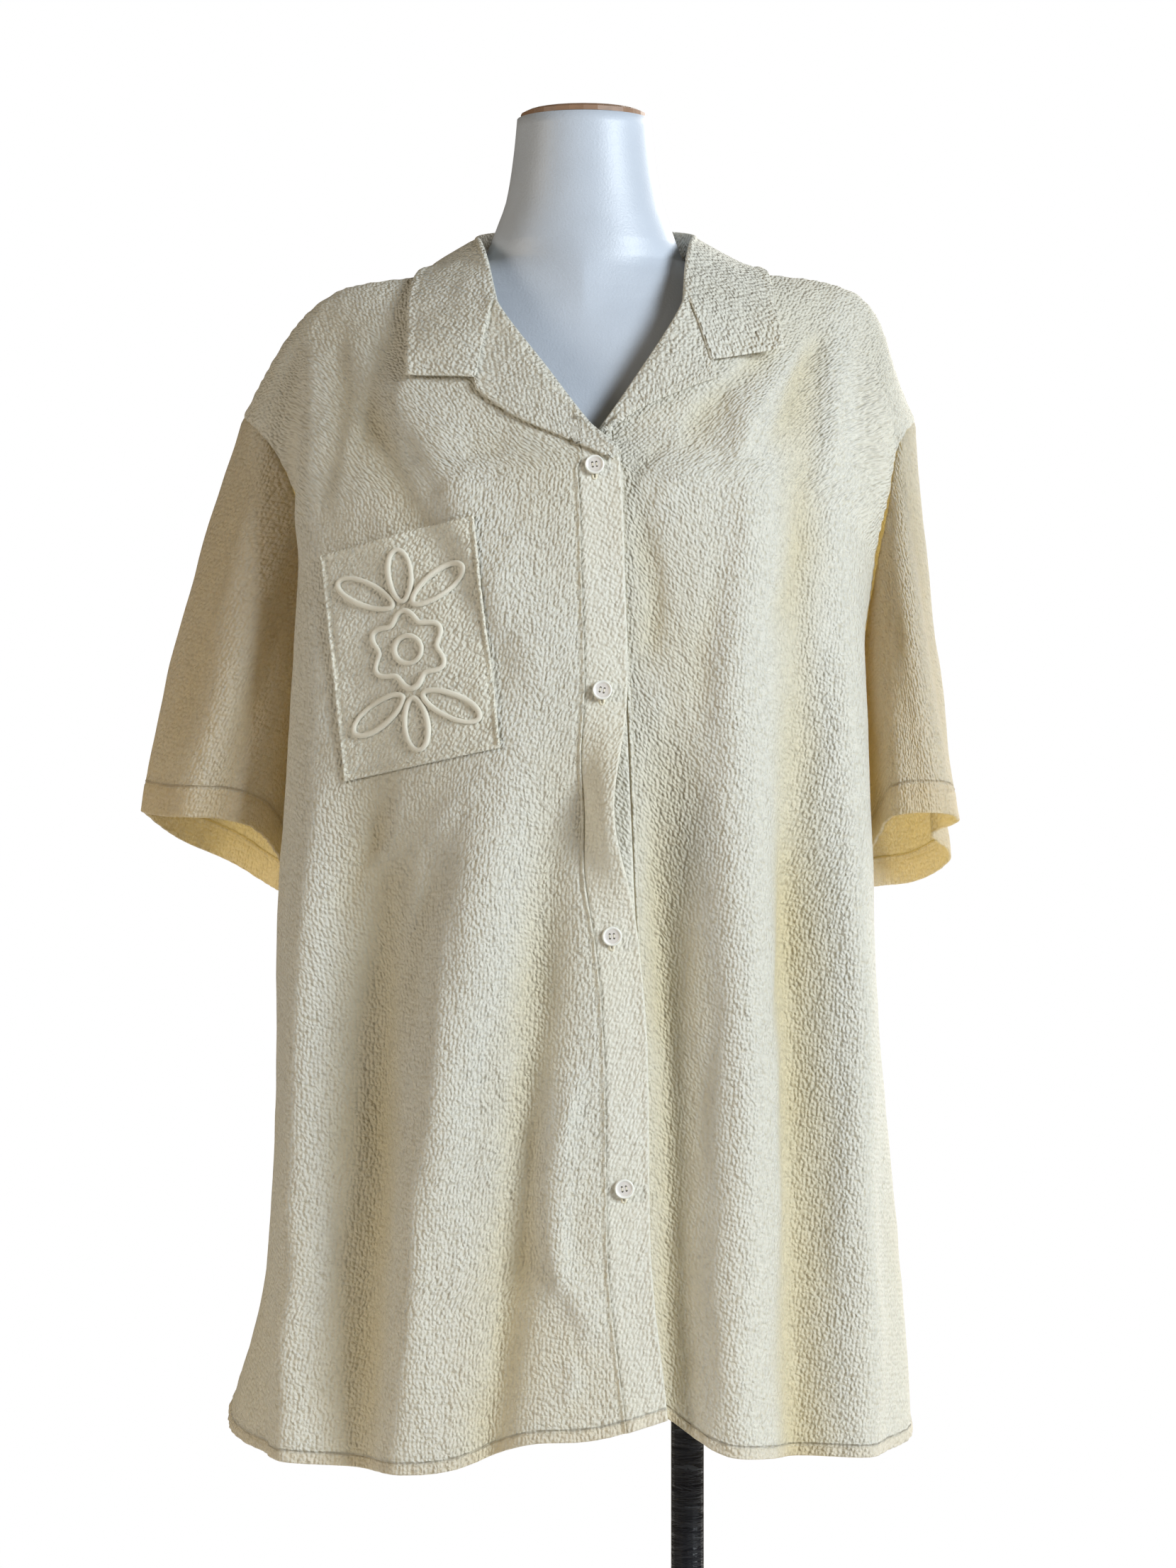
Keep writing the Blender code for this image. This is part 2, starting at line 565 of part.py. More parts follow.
def back_side_points(sections, levels, side):
    """The back's side edge: the side seam below the armhole, then the armhole's back half."""
    edge = front_guides(sections, levels, side)[:, 4].copy()
    up = levels >= UNDERARM_LEVEL
    ends = front_guides(sections, np.array([UNDERARM_LEVEL, 1.0]), side)[:, 4]
    share = (edge[up, 2] - ends[0, 2]) / (ends[1, 2] - ends[0, 2])
    line = ends[0, 1] + (ends[1, 1] - ends[0, 1]) * share
    edge[up, 1] = line + ARMHOLE_BACK_BULGE * (line - edge[up, 1])
    return edge


def back_half_guides(levels, sections, side):
    rows = []
    top = sections[-1]
    for s in BACK:
        at_top = s.level == 1.0
        inner_z = top.edge_z if at_top else s.centre_z + (s.ridge_z - s.centre_z) * 0.25
        mid_z = top.mid_z if at_top else s.centre_z + (s.ridge_z - s.centre_z) * 0.6
        rows.append(
            [0.0, s.centre_y, s.centre_z]
            + [side * (top.edge_x if at_top else s.inner_x), s.inner_y, inner_z]
            + [side * (top.mid_x if at_top else s.mid_x), s.mid_y, mid_z]
            + [side * (top.ridge_x if at_top else s.ridge_x), s.ridge_y, s.ridge_z]
        )
    guides = through_rows([s.level for s in BACK], np.array(rows), levels).reshape(-1, 4, 3)
    side_points = back_side_points(sections, levels, side)
    flank = (guides[:, 3] + side_points) / 2
    flank[:, 0] += side * 0.006 * (1 - ease((levels - 0.5) / 0.1))
    return np.concatenate([guides, flank[:, None], side_points[:, None]], axis=1)


def back_columns(right, left):
    """Places of the back's columns on its knots: on each shoulder they meet the front's columns."""
    neck = BACK_KNOTS[1]
    on_right = -np.interp(right.top_knots, FRONT_KNOTS, BACK_KNOTS[1:])[::-1]
    on_left = np.interp(left.top_knots, FRONT_KNOTS, BACK_KNOTS[1:])
    return np.concatenate([on_right, np.linspace(-neck, neck, 2 * NECK_SPANS + 1)[1:-1], on_left])


def back_grid(levels, columns, right, left):
    guides = np.concatenate(
        [
            back_half_guides(levels, RIGHT_FRONT, -1)[:, ::-1],
            back_half_guides(levels, LEFT_FRONT, 1)[:, 1:],
        ],
        axis=1,
    )
    knots = np.concatenate([-np.array(BACK_KNOTS)[::-1], BACK_KNOTS[1:]])
    points = np.einsum("kg,lgc->lkc", spline_weights(knots, columns), guides)
    count = FRONT_SPANS + 1
    top = np.concatenate([right.points[-1, ::-1], points[-1, count:-count], left.points[-1]])
    for index in range(count, len(columns) - count):
        neck = (left if columns[index] > 0 else right).points[-1, 0]
        turn = abs(columns[index]) / BACK_KNOTS[1]
        centre = BACK[-1]
        top[index] = (
            neck[0] * math.sin(turn * math.pi / 2),
            centre.centre_y * math.cos(turn * math.pi / 2),
            centre.centre_z + (neck[2] - centre.centre_z) * turn**2,
        )
    points += ease((levels - 0.86) / 0.14)[:, None, None] * (top - points[-1])
    normals = grid_normals(points, (0, 1, 0))
    sideways = ease((1 - np.abs(columns)) / 0.2) * ease((1 - levels) / 0.1)[:, None]
    return points + normals * (fold_heights(points, BACK_FOLDS) * sideways)[..., None]


def build_back(right, left, look):
    levels = level_list()
    points = back_grid(levels, back_columns(right, left), right, left)
    normals = grid_normals(points, (0, 1, 0))
    count = FRONT_SPANS + 1
    low = levels <= UNDERARM_LEVEL
    normals[-1, :count] = right.normals[-1, ::-1]
    normals[-1, -count:] = left.normals[-1]
    normals[low, 0] = right.normals[low, -1]
    normals[low, -1] = left.normals[low, -1]
    trim = trimmed(points, start=SEAM_GAP, end=SEAM_GAP)
    trim = trimmed(trim, end=SEAM_GAP, axis=0)
    panel("back", trim, normals, ONE_LAYER, look)
    return points


def armhole_ring(front, back_side):
    """The armhole's points, from its top down the front half to the underarm and up the back half."""
    up = front.levels >= UNDERARM_LEVEL
    ahead = front.points[up, -1]
    behind = back_side[up]
    return np.concatenate([ahead[::-1], behind[1:-1]])


def ring_shares(front):
    up = front.levels[front.levels >= UNDERARM_LEVEL]
    down = 0.5 * (1 - up[::-1]) / (1 - UNDERARM_LEVEL)
    return np.concatenate([down, 1 - down[::-1][1:-1]])


def cuff_ring(cuff, side, shares):
    """The sleeve's hem, a closed smooth curve through its eight points."""
    places = [r.share for r in cuff]
    knots = [p - 1 for p in places] + places + [p + 1 for p in places]
    guides = np.array([[side * r.x, r.y, r.z] for r in cuff] * 3)
    return spline_weights(knots, shares) @ guides


def sleeve_grid(top, cuff, side, shares, bow, pleat):
    """Rings from the armhole to the hem; bow rounds the outer side and pleat presses a fold into it."""
    low = cuff_ring(cuff, side, shares)
    steps = np.linspace(0, 1, SLEEVE_SPANS + 1)
    s = steps[:, None, None]
    points = top[None] * (1 - s) + low[None] * s
    middle = points.mean(axis=1, keepdims=True)
    away = unit_rows((points - middle) * np.array((1.0, 1.0, 0.0)))
    belly = SLEEVE_BELLY * np.sin(math.pi * steps)[:, None] * np.clip(np.sin(2 * math.pi * shares), 0, 1)
    turn = (shares + 0.5) % 1.0 - 0.5
    dent = pleat * steps[:, None] ** 1.5 * np.exp(-(((turn + 0.02) / 0.045) ** 2))[None, :]
    out = bow * np.sin(math.pi * steps)[:, None] * np.clip(np.cos(2 * math.pi * shares), 0, 1)
    points = points + away * (belly + out - dent)[..., None]
    inward = np.exp(-(((shares - 0.42) / 0.17) ** 2))
    points[..., 0] += side * SLEEVE_CLEAR * np.sin(math.pi * steps)[:, None] ** 0.6 * inward
    return points


def build_sleeve(name, front, back_side, cuff, bow, pleat, look):
    shares = ring_shares(front)
    points = sleeve_grid(armhole_ring(front, back_side), cuff, front.side, shares, bow, pleat)
    points = trimmed(points, start=4 * SEAM_GAP, axis=0)
    wrapped = np.concatenate([points[:, -1:], points, points[:, :1]], axis=1)
    normals = unit_rows(np.cross(np.gradient(wrapped, axis=0), np.gradient(wrapped, axis=1)))[:, 1:-1]
    outer_way = normals[SLEEVE_SPANS // 2, 0] @ np.array((front.side, 0, 0))
    normals *= 1.0 if outer_way > 0 else -1.0
    wall(name, points, points - normals * ONE_LAYER, look, closed=True)


def surface_tree(*grids):
    """A search tree over the outer faces of some panels."""
    vertices, faces = [], []
    for grid in grids:
        rows, columns = grid.shape[:2]
        first = len(vertices)
        vertices += [Vector(p) for p in grid.reshape(-1, 3)]
        for i in range(rows - 1):
            for j in range(columns - 1):
                a = first + i * columns + j
                faces += [(a, a + 1, a + columns + 1), (a, a + columns + 1, a + columns)]
    return BVHTree.FromPolygons(vertices, faces)


DOME_CENTRE = Vector((0.0, 0.0, 1.270))


def lifted(points, tree, lift):
    """Points moved out, where they need it, to lie at least lift above the panels."""
    moved = np.array(points, float)
    for index in np.ndindex(moved.shape[:-1]):
        ray = Vector(moved[index]) - DOME_CENTRE
        hit = tree.ray_cast(DOME_CENTRE, ray.normalized())
        if hit[0] is not None and ray.length < hit[3] + lift:
            moved[index] = DOME_CENTRE + ray.normalized() * (hit[3] + lift)
    return moved


def turned_over(name, edge, rise, away, stand, fall, thickness, look):
    """Cloth that stands up from a panel's edge, rolls over and lies back on the panels.

    The rows go from the foot of the stand over the roll and down the fall. The seen face is
    towards the neck on the stand, and outwards on the fall.
    """
    across = 2 * thickness + ROLL_SPACE
    straight = (stand - across / 2)[:, None]
    foot = edge + rise * 2 * SEAM_GAP - away * thickness
    bend = foot + rise * straight
    top = bend + (rise + away) * (across / 2)
    start = bend + away * across
    seen = np.concatenate([np.stack([foot, bend, top, start]), fall])
    normals = grid_normals(seen, (0, 0, 1))
    along_fall = np.where((normals[5:] * away).sum(axis=(1, 2), keepdims=True) < 0, -1.0, 1.0)
    hidden = np.concatenate(
        [
            np.stack([foot + away * thickness, bend + away * thickness, top - rise * thickness]),
            (start - away * thickness)[None],
            fall - normals[4:] * thickness * np.sign(along_fall.mean()),
        ]
    )
    wall(name, seen, hidden, look)
    return seen


def neck_line(right, left, back):
    """The neck seam from the right end of the collar round to the left end.

    Gives the points, the way the panels run on beyond their edge, and the shares of the collar.
    """
    up = right.levels >= GORGE_LEVEL
    count = FRONT_SPANS + 1
    neck = back[:, count - 1 : len(back[0]) - count + 1]
    lines = [right.points[up, 0], neck[-1, 1:-1], left.points[up, 0][::-1]]
    beyond = [
        right.points[up, 0] - right.points[up, 1],
        neck[-1, 1:-1] - neck[-2, 1:-1],
        (left.points[up, 0] - left.points[up, 1])[::-1],
    ]
    rising = NECK_POINT_SHARE * (right.levels[up] - GORGE_LEVEL) / (1 - GORGE_LEVEL)
    round_back = np.linspace(NECK_POINT_SHARE, 1, NECK_SPANS + 1)[1:]
    shares = np.concatenate([rising, round_back, round_back[::-1][1:], rising[::-1]])
    return np.concatenate(lines), unit_rows(np.concatenate(beyond)), shares


def build_collar(right, left, back, tree, look):
    edge, beyond, shares = neck_line(right, left, back)
    half = len(shares) // 2
    tables = [np.array([c[1:] for c in table]) for table in (RIGHT_COLLAR, LEFT_COLLAR)]
    weights = spline_weights([c.share for c in RIGHT_COLLAR], shares)
    found = np.concatenate([(weights @ tables[0])[: half + 1], (weights @ tables[1])[half + 1 :]])
    sign = np.where(np.arange(len(shares)) <= half, -1.0, 1.0)[:, None]
    stand, upright = found[:, 0], found[:, 1:2]
    outer = found[:, 2:5] * np.concatenate([sign, np.ones((len(shares), 2))], axis=1)
    tangent = unit_rows(np.gradient(edge, axis=0))
    rise = unit_rows(beyond * (1 - upright) + np.array((0.0, 0.0, 1.0)) * upright)
    rise = unit_rows(rise - tangent * (rise * tangent).sum(axis=1, keepdims=True))
    away = unit_rows(np.cross(tangent, rise))
    away *= np.where((away * (edge * (1, 1, 0) + (0, 0, 0.02))).sum(axis=1, keepdims=True) > 0, 1.0, -1.0)
    thickness = TWO_LAYERS
    start = edge + rise * (2 * SEAM_GAP + stand[:, None] - thickness) + away * (thickness + ROLL_SPACE)
    rows = np.array(COLLAR_ROWS)[:, None, None]
    fall = start[None] * (1 - rows) + outer[None] * rows
    for end, corner in ((0, RIGHT_NOTCH), (-1, LEFT_NOTCH)):
        reach = np.clip(1 - np.abs(shares - shares[end]) / 0.45, 0, 1) ** 2
        reach = reach * (np.arange(len(shares)) <= half if end == 0 else np.arange(len(shares)) >= half)
        before = start[end] + (np.array(corner) - start[end]) * (rows / NOTCH_ROW)
        after = np.array(corner) + (outer[end] - np.array(corner)) * (rows - NOTCH_ROW) / (1 - NOTCH_ROW)
        path = np.where(rows <= NOTCH_ROW, before, after)
        fall += (path - fall[:, end][:, None]) * reach[None, :, None]
    fall = lifted(fall, tree, COLLAR_LIFT)
    return turned_over("collar", edge, rise, away, stand, fall, thickness, look)


def build_lapel(name, front, table, first, tree, look):
    """The front's edge turned out above the break, and lying on the front."""
    inside = (front.levels > first + 0.005) & (front.levels < GORGE_LEVEL - 0.005)
    levels = np.concatenate([[first], front.levels[inside], [GORGE_LEVEL - LAPEL_CLEAR]])
    runs = np.tile((0.0, 0.004), (len(levels), 1))
    found = read_rows(front.at_levels(levels), runs)
    edge, away = found[:, 0, :3], unit_rows(found[:, 0, 3:])
    tangent = unit_rows(np.gradient(edge, axis=0))
    rise = unit_rows(edge - found[:, 1, :3])
    rise = unit_rows(rise - tangent * (rise * tangent).sum(axis=1, keepdims=True))
    away = unit_rows(away - rise * (away * rise).sum(axis=1, keepdims=True))
    shares = (levels - BREAK_LEVEL) / (GORGE_LEVEL - BREAK_LEVEL)
    outer = spline_weights([r.share for r in table], shares) @ np.array([r[1:] for r in table])
    outer = np.stack([front.side * outer[:, 0], np.zeros(len(outer)), outer[:, 1]], axis=1)
    rows = np.array(LAPEL_ROWS)[:, None, None]
    thickness = ONE_LAYER + 0.0004
    start = edge + away * (thickness + ROLL_SPACE)
    fall = forward_onto(edge[None] * (1 - rows) + outer[None] * rows, tree, LAPEL_LIFT)
    stand = np.full(len(levels), LAPEL_STAND)
    return turned_over(name, edge, rise, away, stand, fall, thickness, look)


def forward_onto(points, tree, lift):
    """Points given by x and z, put on the panels as seen from the front and moved out along their normals."""
    moved = np.array(points, float)
    for index in np.ndindex(moved.shape[:-1]):
        x, _, z = moved[index]
        place, normal = tree.ray_cast(Vector((x, -0.4, z)), Vector((0, 1, 0)))[:2]
        if place is None or place.y > 0:
            place, normal = tree.find_nearest(Vector((x, -0.12, z)))[:2]
        if normal.y > 0:
            normal = -normal
        moved[index] = place + normal * lift
    return moved


def build_pocket(tree, look):
    u = np.linspace(0, 1, POCKET_COLUMNS + 1)[None, :, None]
    v = np.linspace(0, 1, POCKET_ROWS + 1)[:, None, None]
    corners = [np.array((x, 0.0, z)) for x, z in (POCKET_TOP_OUTER, POCKET_TOP_INNER, POCKET_LOW_OUTER, POCKET_LOW_INNER)]
    top = corners[0] * (1 - u) + corners[1] * u
    low = corners[2] * (1 - u) + corners[3] * u
    flat = top * (1 - v) + low * v
    grid = forward_onto(flat, tree, POCKET_LIFT + ONE_LAYER)
    panel("pocket", grid, grid_normals(grid, (-0.4, -1, 0)), ONE_LAYER, look)
    return grid


def flower_line(flower):
    turns = 2 * math.pi * np.arange(flower.points) / flower.points
    radius = flower.radius + flower.lobe * np.cos(flower.lobes * turns)
    return np.stack([flower.x + radius * np.sin(turns), flower.z + radius * np.cos(turns)], axis=1)


def leaf_line(leaf):
    turns = 2 * math.pi * (np.arange(leaf.points) + 0.5) / leaf.points
    along = leaf.length * (1 - np.cos(turns)) / 2
    across = leaf.width / 2 * np.sin(turns) * (0.9 + 0.1 * (1 - np.cos(turns)))
    angle = math.radians(leaf.turn)
    x = leaf.x - along * math.sin(angle) + across * math.cos(angle)
    z = leaf.z + along * math.cos(angle) + across * math.sin(angle)
    return np.stack([x, z], axis=1)


def build_motif(pocket, look):
    """Cords laid on the pocket in closed loops, each flat below and rounded off above."""
    tree = surface_tree(pocket)
    middle = pocket.reshape(-1, 3).mean(axis=0)
    low, high = pocket[-1].mean(axis=0), pocket[0].mean(axis=0)
    lean = math.atan2(high[0] - low[0], high[2] - low[2])
    lines = {"motif_flower": flower_line(FLOWERS[0]), "motif_ring": flower_line(FLOWERS[1])}
    lines.update({f"motif_leaf_{n + 1}": leaf_line(leaf) for n, leaf in enumerate(LEAVES)})
    for name, line in lines.items():
        vertices, faces = [], []
        ahead = np.roll(line, -1, axis=0) - np.roll(line, 1, axis=0)
        side = unit_rows(np.stack([ahead[:, 1], -ahead[:, 0]], axis=1))
        count = len(line)
        for point, out in zip(line, side):
            for place, height in ((-0.5, 0.0), (-0.3, 1.0), (0.3, 1.0), (0.5, 0.0)):
                x, z = point + out * place * CORD_WIDTH
                turned_x = x * math.cos(lean) + z * math.sin(lean)
                turned_z = z * math.cos(lean) - x * math.sin(lean)
                flat = np.array((middle[0] + turned_x, 0.0, middle[2] + turned_z))
                lift = MOTIF_GAP + height * CORD_HEIGHT
                vertices.append(tuple(forward_onto(flat[None], tree, lift)[0]))
        for i in range(count):
            k = (i + 1) % count
            for j in range(4):
                m = (j + 1) % 4
                faces.append((i * 4 + j, i * 4 + m, k * 4 + m, k * 4 + j))
        mesh_object(name, vertices, faces, look)


def ring_points(half_width, front, back, count, squareness):
    """A ring flattened front and back, wider than it is deep."""
    angles = 2 * math.pi * np.arange(count) / count
    c, s = np.cos(angles), np.sin(angles)
    power = 2 / squareness
    depth = np.where(s < 0, front, back)
    return half_width * np.sign(c) * np.abs(c) ** power, depth * np.sign(s) * np.abs(s) ** power


def build_torso(look):
    vertices = []
    for t in TORSO:
        xs, ys = ring_points(t.half_width, t.front, t.back, TORSO_COLUMNS, t.squareness)
        vertices += [(x, y, t.z) for x, y in zip(xs, ys)]
    faces = []
    n = TORSO_COLUMNS
    for i in range(len(TORSO) - 1):
        for j in range(n):
            k = (j + 1) % n
            faces.append((i * n + j, i * n + k, (i + 1) * n + k, (i + 1) * n + j))
    faces.append(tuple(range(n - 1, -1, -1)))
    faces.append(tuple((len(TORSO) - 1) * n + j for j in range(n)))
    mesh_object("form", vertices, faces, look)


def turned(name, profile, count, look, x=0.0):
    """A solid of revolution about a vertical axis; profile is (radius, z) from bottom to top."""
    vertices = []
    for radius, z in profile:
        for j in range(count):
            a = 2 * math.pi * j / count
            vertices.append((x + radius * math.cos(a), radius * math.sin(a), z))
    faces = [tuple(range(count - 1, -1, -1))]
    for i in range(len(profile) - 1):
        for j in range(count):
            k = (j + 1) % count
            faces.append((i * count + j, i * count + k, (i + 1) * count + k, (i + 1) * count + j))
    faces.append(tuple((len(profile) - 1) * count + j for j in range(count)))
    return mesh_object(name, vertices, faces, look)


def build_stand(look, cap_look):
    neck_top = TORSO[-1].z
    cap_low = neck_top + SEAM_GAP
    turned(
        "form_cap",
        (
            (CAP_RADIUS, cap_low),
            (CAP_RADIUS, cap_low + 0.6 * CAP_THICKNESS),
            (CAP_RADIUS * 0.9, cap_low + CAP_THICKNESS),
        ),
        28,
        cap_look,
    )
    turned(
        "pole",
        ((POLE_RADIUS, BASE_THICKNESS + SEAM_GAP), (POLE_RADIUS, POLE_TOP)),
        20,
        look,
        POLE_X,
    )
    build_socket(look)
    turned(
        "base",
        (
            (BASE_RADIUS, 0.0),
            (BASE_RADIUS, 0.6 * BASE_THICKNESS),
            (BASE_RADIUS - 0.4 * BASE_THICKNESS, BASE_THICKNESS),
        ),
        48,
        look,
    )


def build_socket(look):
    """The ring that holds the pole upright on the base."""
    count = 20
    inner = POLE_RADIUS + SEAM_GAP
    low = BASE_THICKNESS + SEAM_GAP
    profile = (
        (inner, low),
        (SOCKET_RADIUS * 1.5, low),
        (SOCKET_RADIUS * 1.5, low + 0.004),
        (SOCKET_RADIUS, low + 0.008),
        (SOCKET_RADIUS, low + SOCKET_HEIGHT - 0.003),
        (SOCKET_RADIUS - 0.003, low + SOCKET_HEIGHT),
        (inner, low + SOCKET_HEIGHT),
    )
    vertices = []
    for radius, z in profile:
        for j in range(count):
            a = 2 * math.pi * j / count
            vertices.append((POLE_X + radius * math.cos(a), radius * math.sin(a), z))
    faces = []
    for i in range(len(profile)):
        m = (i + 1) % len(profile)
        for j in range(count):
            k = (j + 1) % count
            faces.append((i * count + j, i * count + k, m * count + k, m * count + j))
    mesh_object("socket", vertices, faces, look)


def build_button(name, place, normal, look):
    """A dished button with four holes, lying on the band."""
    radius = BUTTON_DIAMETER / 2
    profile = (
        (0.9 * radius, 0.0),
        (radius, 0.4 * BUTTON_THICKNESS),
        (0.92 * radius, BUTTON_THICKNESS),
        (0.82 * radius, BUTTON_THICKNESS),
        (0.66 * radius, 0.70 * BUTTON_THICKNESS),
    )
    button = turned(name, profile, 16, look)
    cutter_mesh = bpy.data.meshes.new(name + "_holes")
    work = bmesh.new()
    for x, y in ((1, 1), (1, -1), (-1, 1), (-1, -1)):
        bmesh.ops.create_cone(
            work,
            cap_ends=True,
            segments=6,
            radius1=0.00075,
            radius2=0.00075,
            depth=4 * BUTTON_THICKNESS,
            matrix=Matrix.Translation((x * 0.0013, y * 0.0013, 0.5 * BUTTON_THICKNESS)),
        )
    work.to_mesh(cutter_mesh)
    work.free()
    cutter = bpy.data.objects.new(name + "_holes", cutter_mesh)
    bpy.context.collection.objects.link(cutter)
    cutter.hide_render = True
    cutter.display_type = "WIRE"
    cutter.parent = button
    cut = button.modifiers.new("holes", "BOOLEAN")
    cut.operation = "DIFFERENCE"
    cut.object = cutter
    button.matrix_world = (
        Matrix.Translation(place) @ normal.to_track_quat("Z", "Y").to_matrix().to_4x4()
    )


def seat(place, normal, tree):
    """Moves a button out from its band until its whole back is clear of it."""
    clear = -1.0
    across = normal.orthogonal().normalized()
    for turn in range(12):
        for share in (0.0, 0.5, 1.0):
            out = Matrix.Rotation(math.radians(30 * turn), 3, normal) @ across
            start = place + out * (share * BUTTON_DIAMETER / 2) + normal * 0.02
            reach = tree.ray_cast(start, -normal)[3]
            if reach is not None:
                clear = max(clear, 0.02 - reach)
    return place + normal * (clear + BUTTON_SHANK)


def build_buttons(front, band, look):
    """Buttons at their heights on the top band."""
    tree = surface_tree(band)
    rows = front.at_levels(np.linspace(0, BREAK_LEVEL, 200))
    line = read_rows(rows, np.full((len(rows), 1), BUTTON_FROM_EDGE))[:, 0]
    for number, height in enumerate(BUTTON_HEIGHTS):
        found = line[int(np.argmin(np.abs(line[:, 2] - height)))]
        normal = Vector(found[3:]).normalized()
        build_button(f"button_{number + 1}", seat(Vector(found[:3]), normal, tree), normal, look)


def main():
    clear_scene()
    cloth = material("shirt_cloth", CREAM, 0.85)
    trim = material("motif_cord", TRIM, 0.5)
    pearl = material("button_pearl", PEARL, 0.35)
    white = material("form_cloth", WHITE, 0.7)
    brown = material("cap_wood", BROWN, 0.6)
    black = material("stand_black", BLACK, 0.4)
    right = Front_surface(RIGHT_FRONT, RIGHT_FRONT_FOLDS, RIGHT_HEM, -1, True)
    left = Front_surface(LEFT_FRONT, LEFT_FRONT_FOLDS, LEFT_HEM, 1, False)
    right.build("front_right", cloth)
    left.build("front_left", cloth)
    right_band = right.build_band("band_right", cloth)
    left_band = left.build_band("band_left", cloth)
    back = build_back(right, left, cloth)
    build_sleeve("sleeve_right", right, back[:, 0], RIGHT_CUFF, RIGHT_SLEEVE_BOW, 0.0, cloth)
    build_sleeve("sleeve_left", left, back[:, -1], LEFT_CUFF, LEFT_SLEEVE_BOW, 0.016, cloth)
    right_tree = surface_tree(right.points, right_band)
    left_tree = surface_tree(left.points, left_band)
    build_lapel("lapel_right", right, RIGHT_LAPEL, RIGHT_LAPEL_START, right_tree, cloth)
    build_lapel("lapel_left", left, LEFT_LAPEL, LEFT_LAPEL_START, left_tree, cloth)
    build_collar(right, left, back, surface_tree(right.points, left.points, back), cloth)
    build_motif(build_pocket(surface_tree(right.points), cloth), trim)
    build_buttons(right, right_band, pearl)
    build_torso(white)
    build_stand(black, brown)


main()
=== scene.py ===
"""Looks of an oversized crinkle-crepe shirt, buttoned on a limbless dress form with a pole stand.

Metres, +Z up. The shirt's front faces -Y and the wearer's right is -X. Every cloth piece is a
closed wall with a rounded edge: its outer face comes from smooth curves through a short table
of sections, then large folds, soft creases, seam relief and a fine rumple move it out or in.
"""

import math
from collections import namedtuple

import bmesh
import bpy
import numpy as np
from mathutils import Matrix, Vector
from mathutils.bvhtree import BVHTree


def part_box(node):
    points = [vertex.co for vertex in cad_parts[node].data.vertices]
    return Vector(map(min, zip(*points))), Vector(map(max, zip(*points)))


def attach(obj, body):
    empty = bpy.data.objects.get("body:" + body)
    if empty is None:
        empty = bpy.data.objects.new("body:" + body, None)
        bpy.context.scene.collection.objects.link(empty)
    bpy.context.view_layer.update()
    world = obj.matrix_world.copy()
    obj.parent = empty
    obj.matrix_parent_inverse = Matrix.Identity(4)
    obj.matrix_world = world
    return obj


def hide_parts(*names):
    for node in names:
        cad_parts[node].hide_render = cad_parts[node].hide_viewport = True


bl_info = {
    "name": "Crinkle Shirt on a Dress Form",
    "version": (1, 0, 0),
    "blender": (4, 5, 0),
    "location": "View3D > Sidebar > Shirt",
    "description": "Builds a camp-collar shirt, its dress form and its stand around the packed frame",
    "category": "Object",
}

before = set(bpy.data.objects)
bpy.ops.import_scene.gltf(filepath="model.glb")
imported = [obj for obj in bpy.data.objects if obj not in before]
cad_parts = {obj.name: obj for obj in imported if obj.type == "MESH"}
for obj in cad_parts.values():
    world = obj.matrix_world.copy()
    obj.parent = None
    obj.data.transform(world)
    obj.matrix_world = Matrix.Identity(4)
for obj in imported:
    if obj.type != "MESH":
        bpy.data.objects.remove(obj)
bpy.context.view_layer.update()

# Levels where the edge turns out into the lapels, where the band has narrowed to nothing,
# where the lapel ends at the collar, and where the armhole starts
BREAK_LEVEL = 0.73
BAND_END_LEVEL = 0.79
GORGE_LEVEL = 0.895
UNDERARM_LEVEL = 0.53

# Rows and columns of the cloth
HEM_ROWS = (0.0, 0.0008, 0.0018, 0.0030, 0.0045, 0.0060, 0.0070, 0.0080, 0.0092, 0.0110, 0.0135)
ROW_SPANS = ((0.0176, 0.53, 160), (0.53, 0.73, 62), (0.73, 0.79, 20), (0.79, 0.895, 34), (0.895, 1.0, 34))
EDGE_COLUMNS = (0.0, 0.0006, 0.0013, 0.0021, 0.0031, 0.0044, 0.0062)
FRONT_SPANS = 80
NECK_SPANS = 22
BAND_COLUMNS = (
    0, 0.02, 0.05, 0.1, 0.17, 0.26, 0.36, 0.46, 0.56, 0.66, 0.76, 0.84, 0.895, 0.93, 0.96, 0.98, 1,
)
SLEEVE_ROWS = 88
FORM_ROWS = 110
FORM_COLUMNS = 112
SLEEVE_HEM_ROWS = (0.0, 0.0006, 0.0014, 0.0026, 0.0045, 0.0070, 0.0100, 0.0130, 0.0160)
ROWS_BY_SLEEVE_STITCH = (-0.0026, -0.0018, -0.0011, -0.0005, 0.0002, 0.0010, 0.0020, 0.0034)
# The pocket's first columns, its width, and its width as a share of its height
POCKET_EDGE = (0.0, 0.0005, 0.0011, 0.0018, 0.0026, 0.0036, 0.0048)
POCKET_WIDTH = 0.105
POCKET_SHAPE = 0.68
# Points of a dense row, which the columns are read from
DENSE = 321

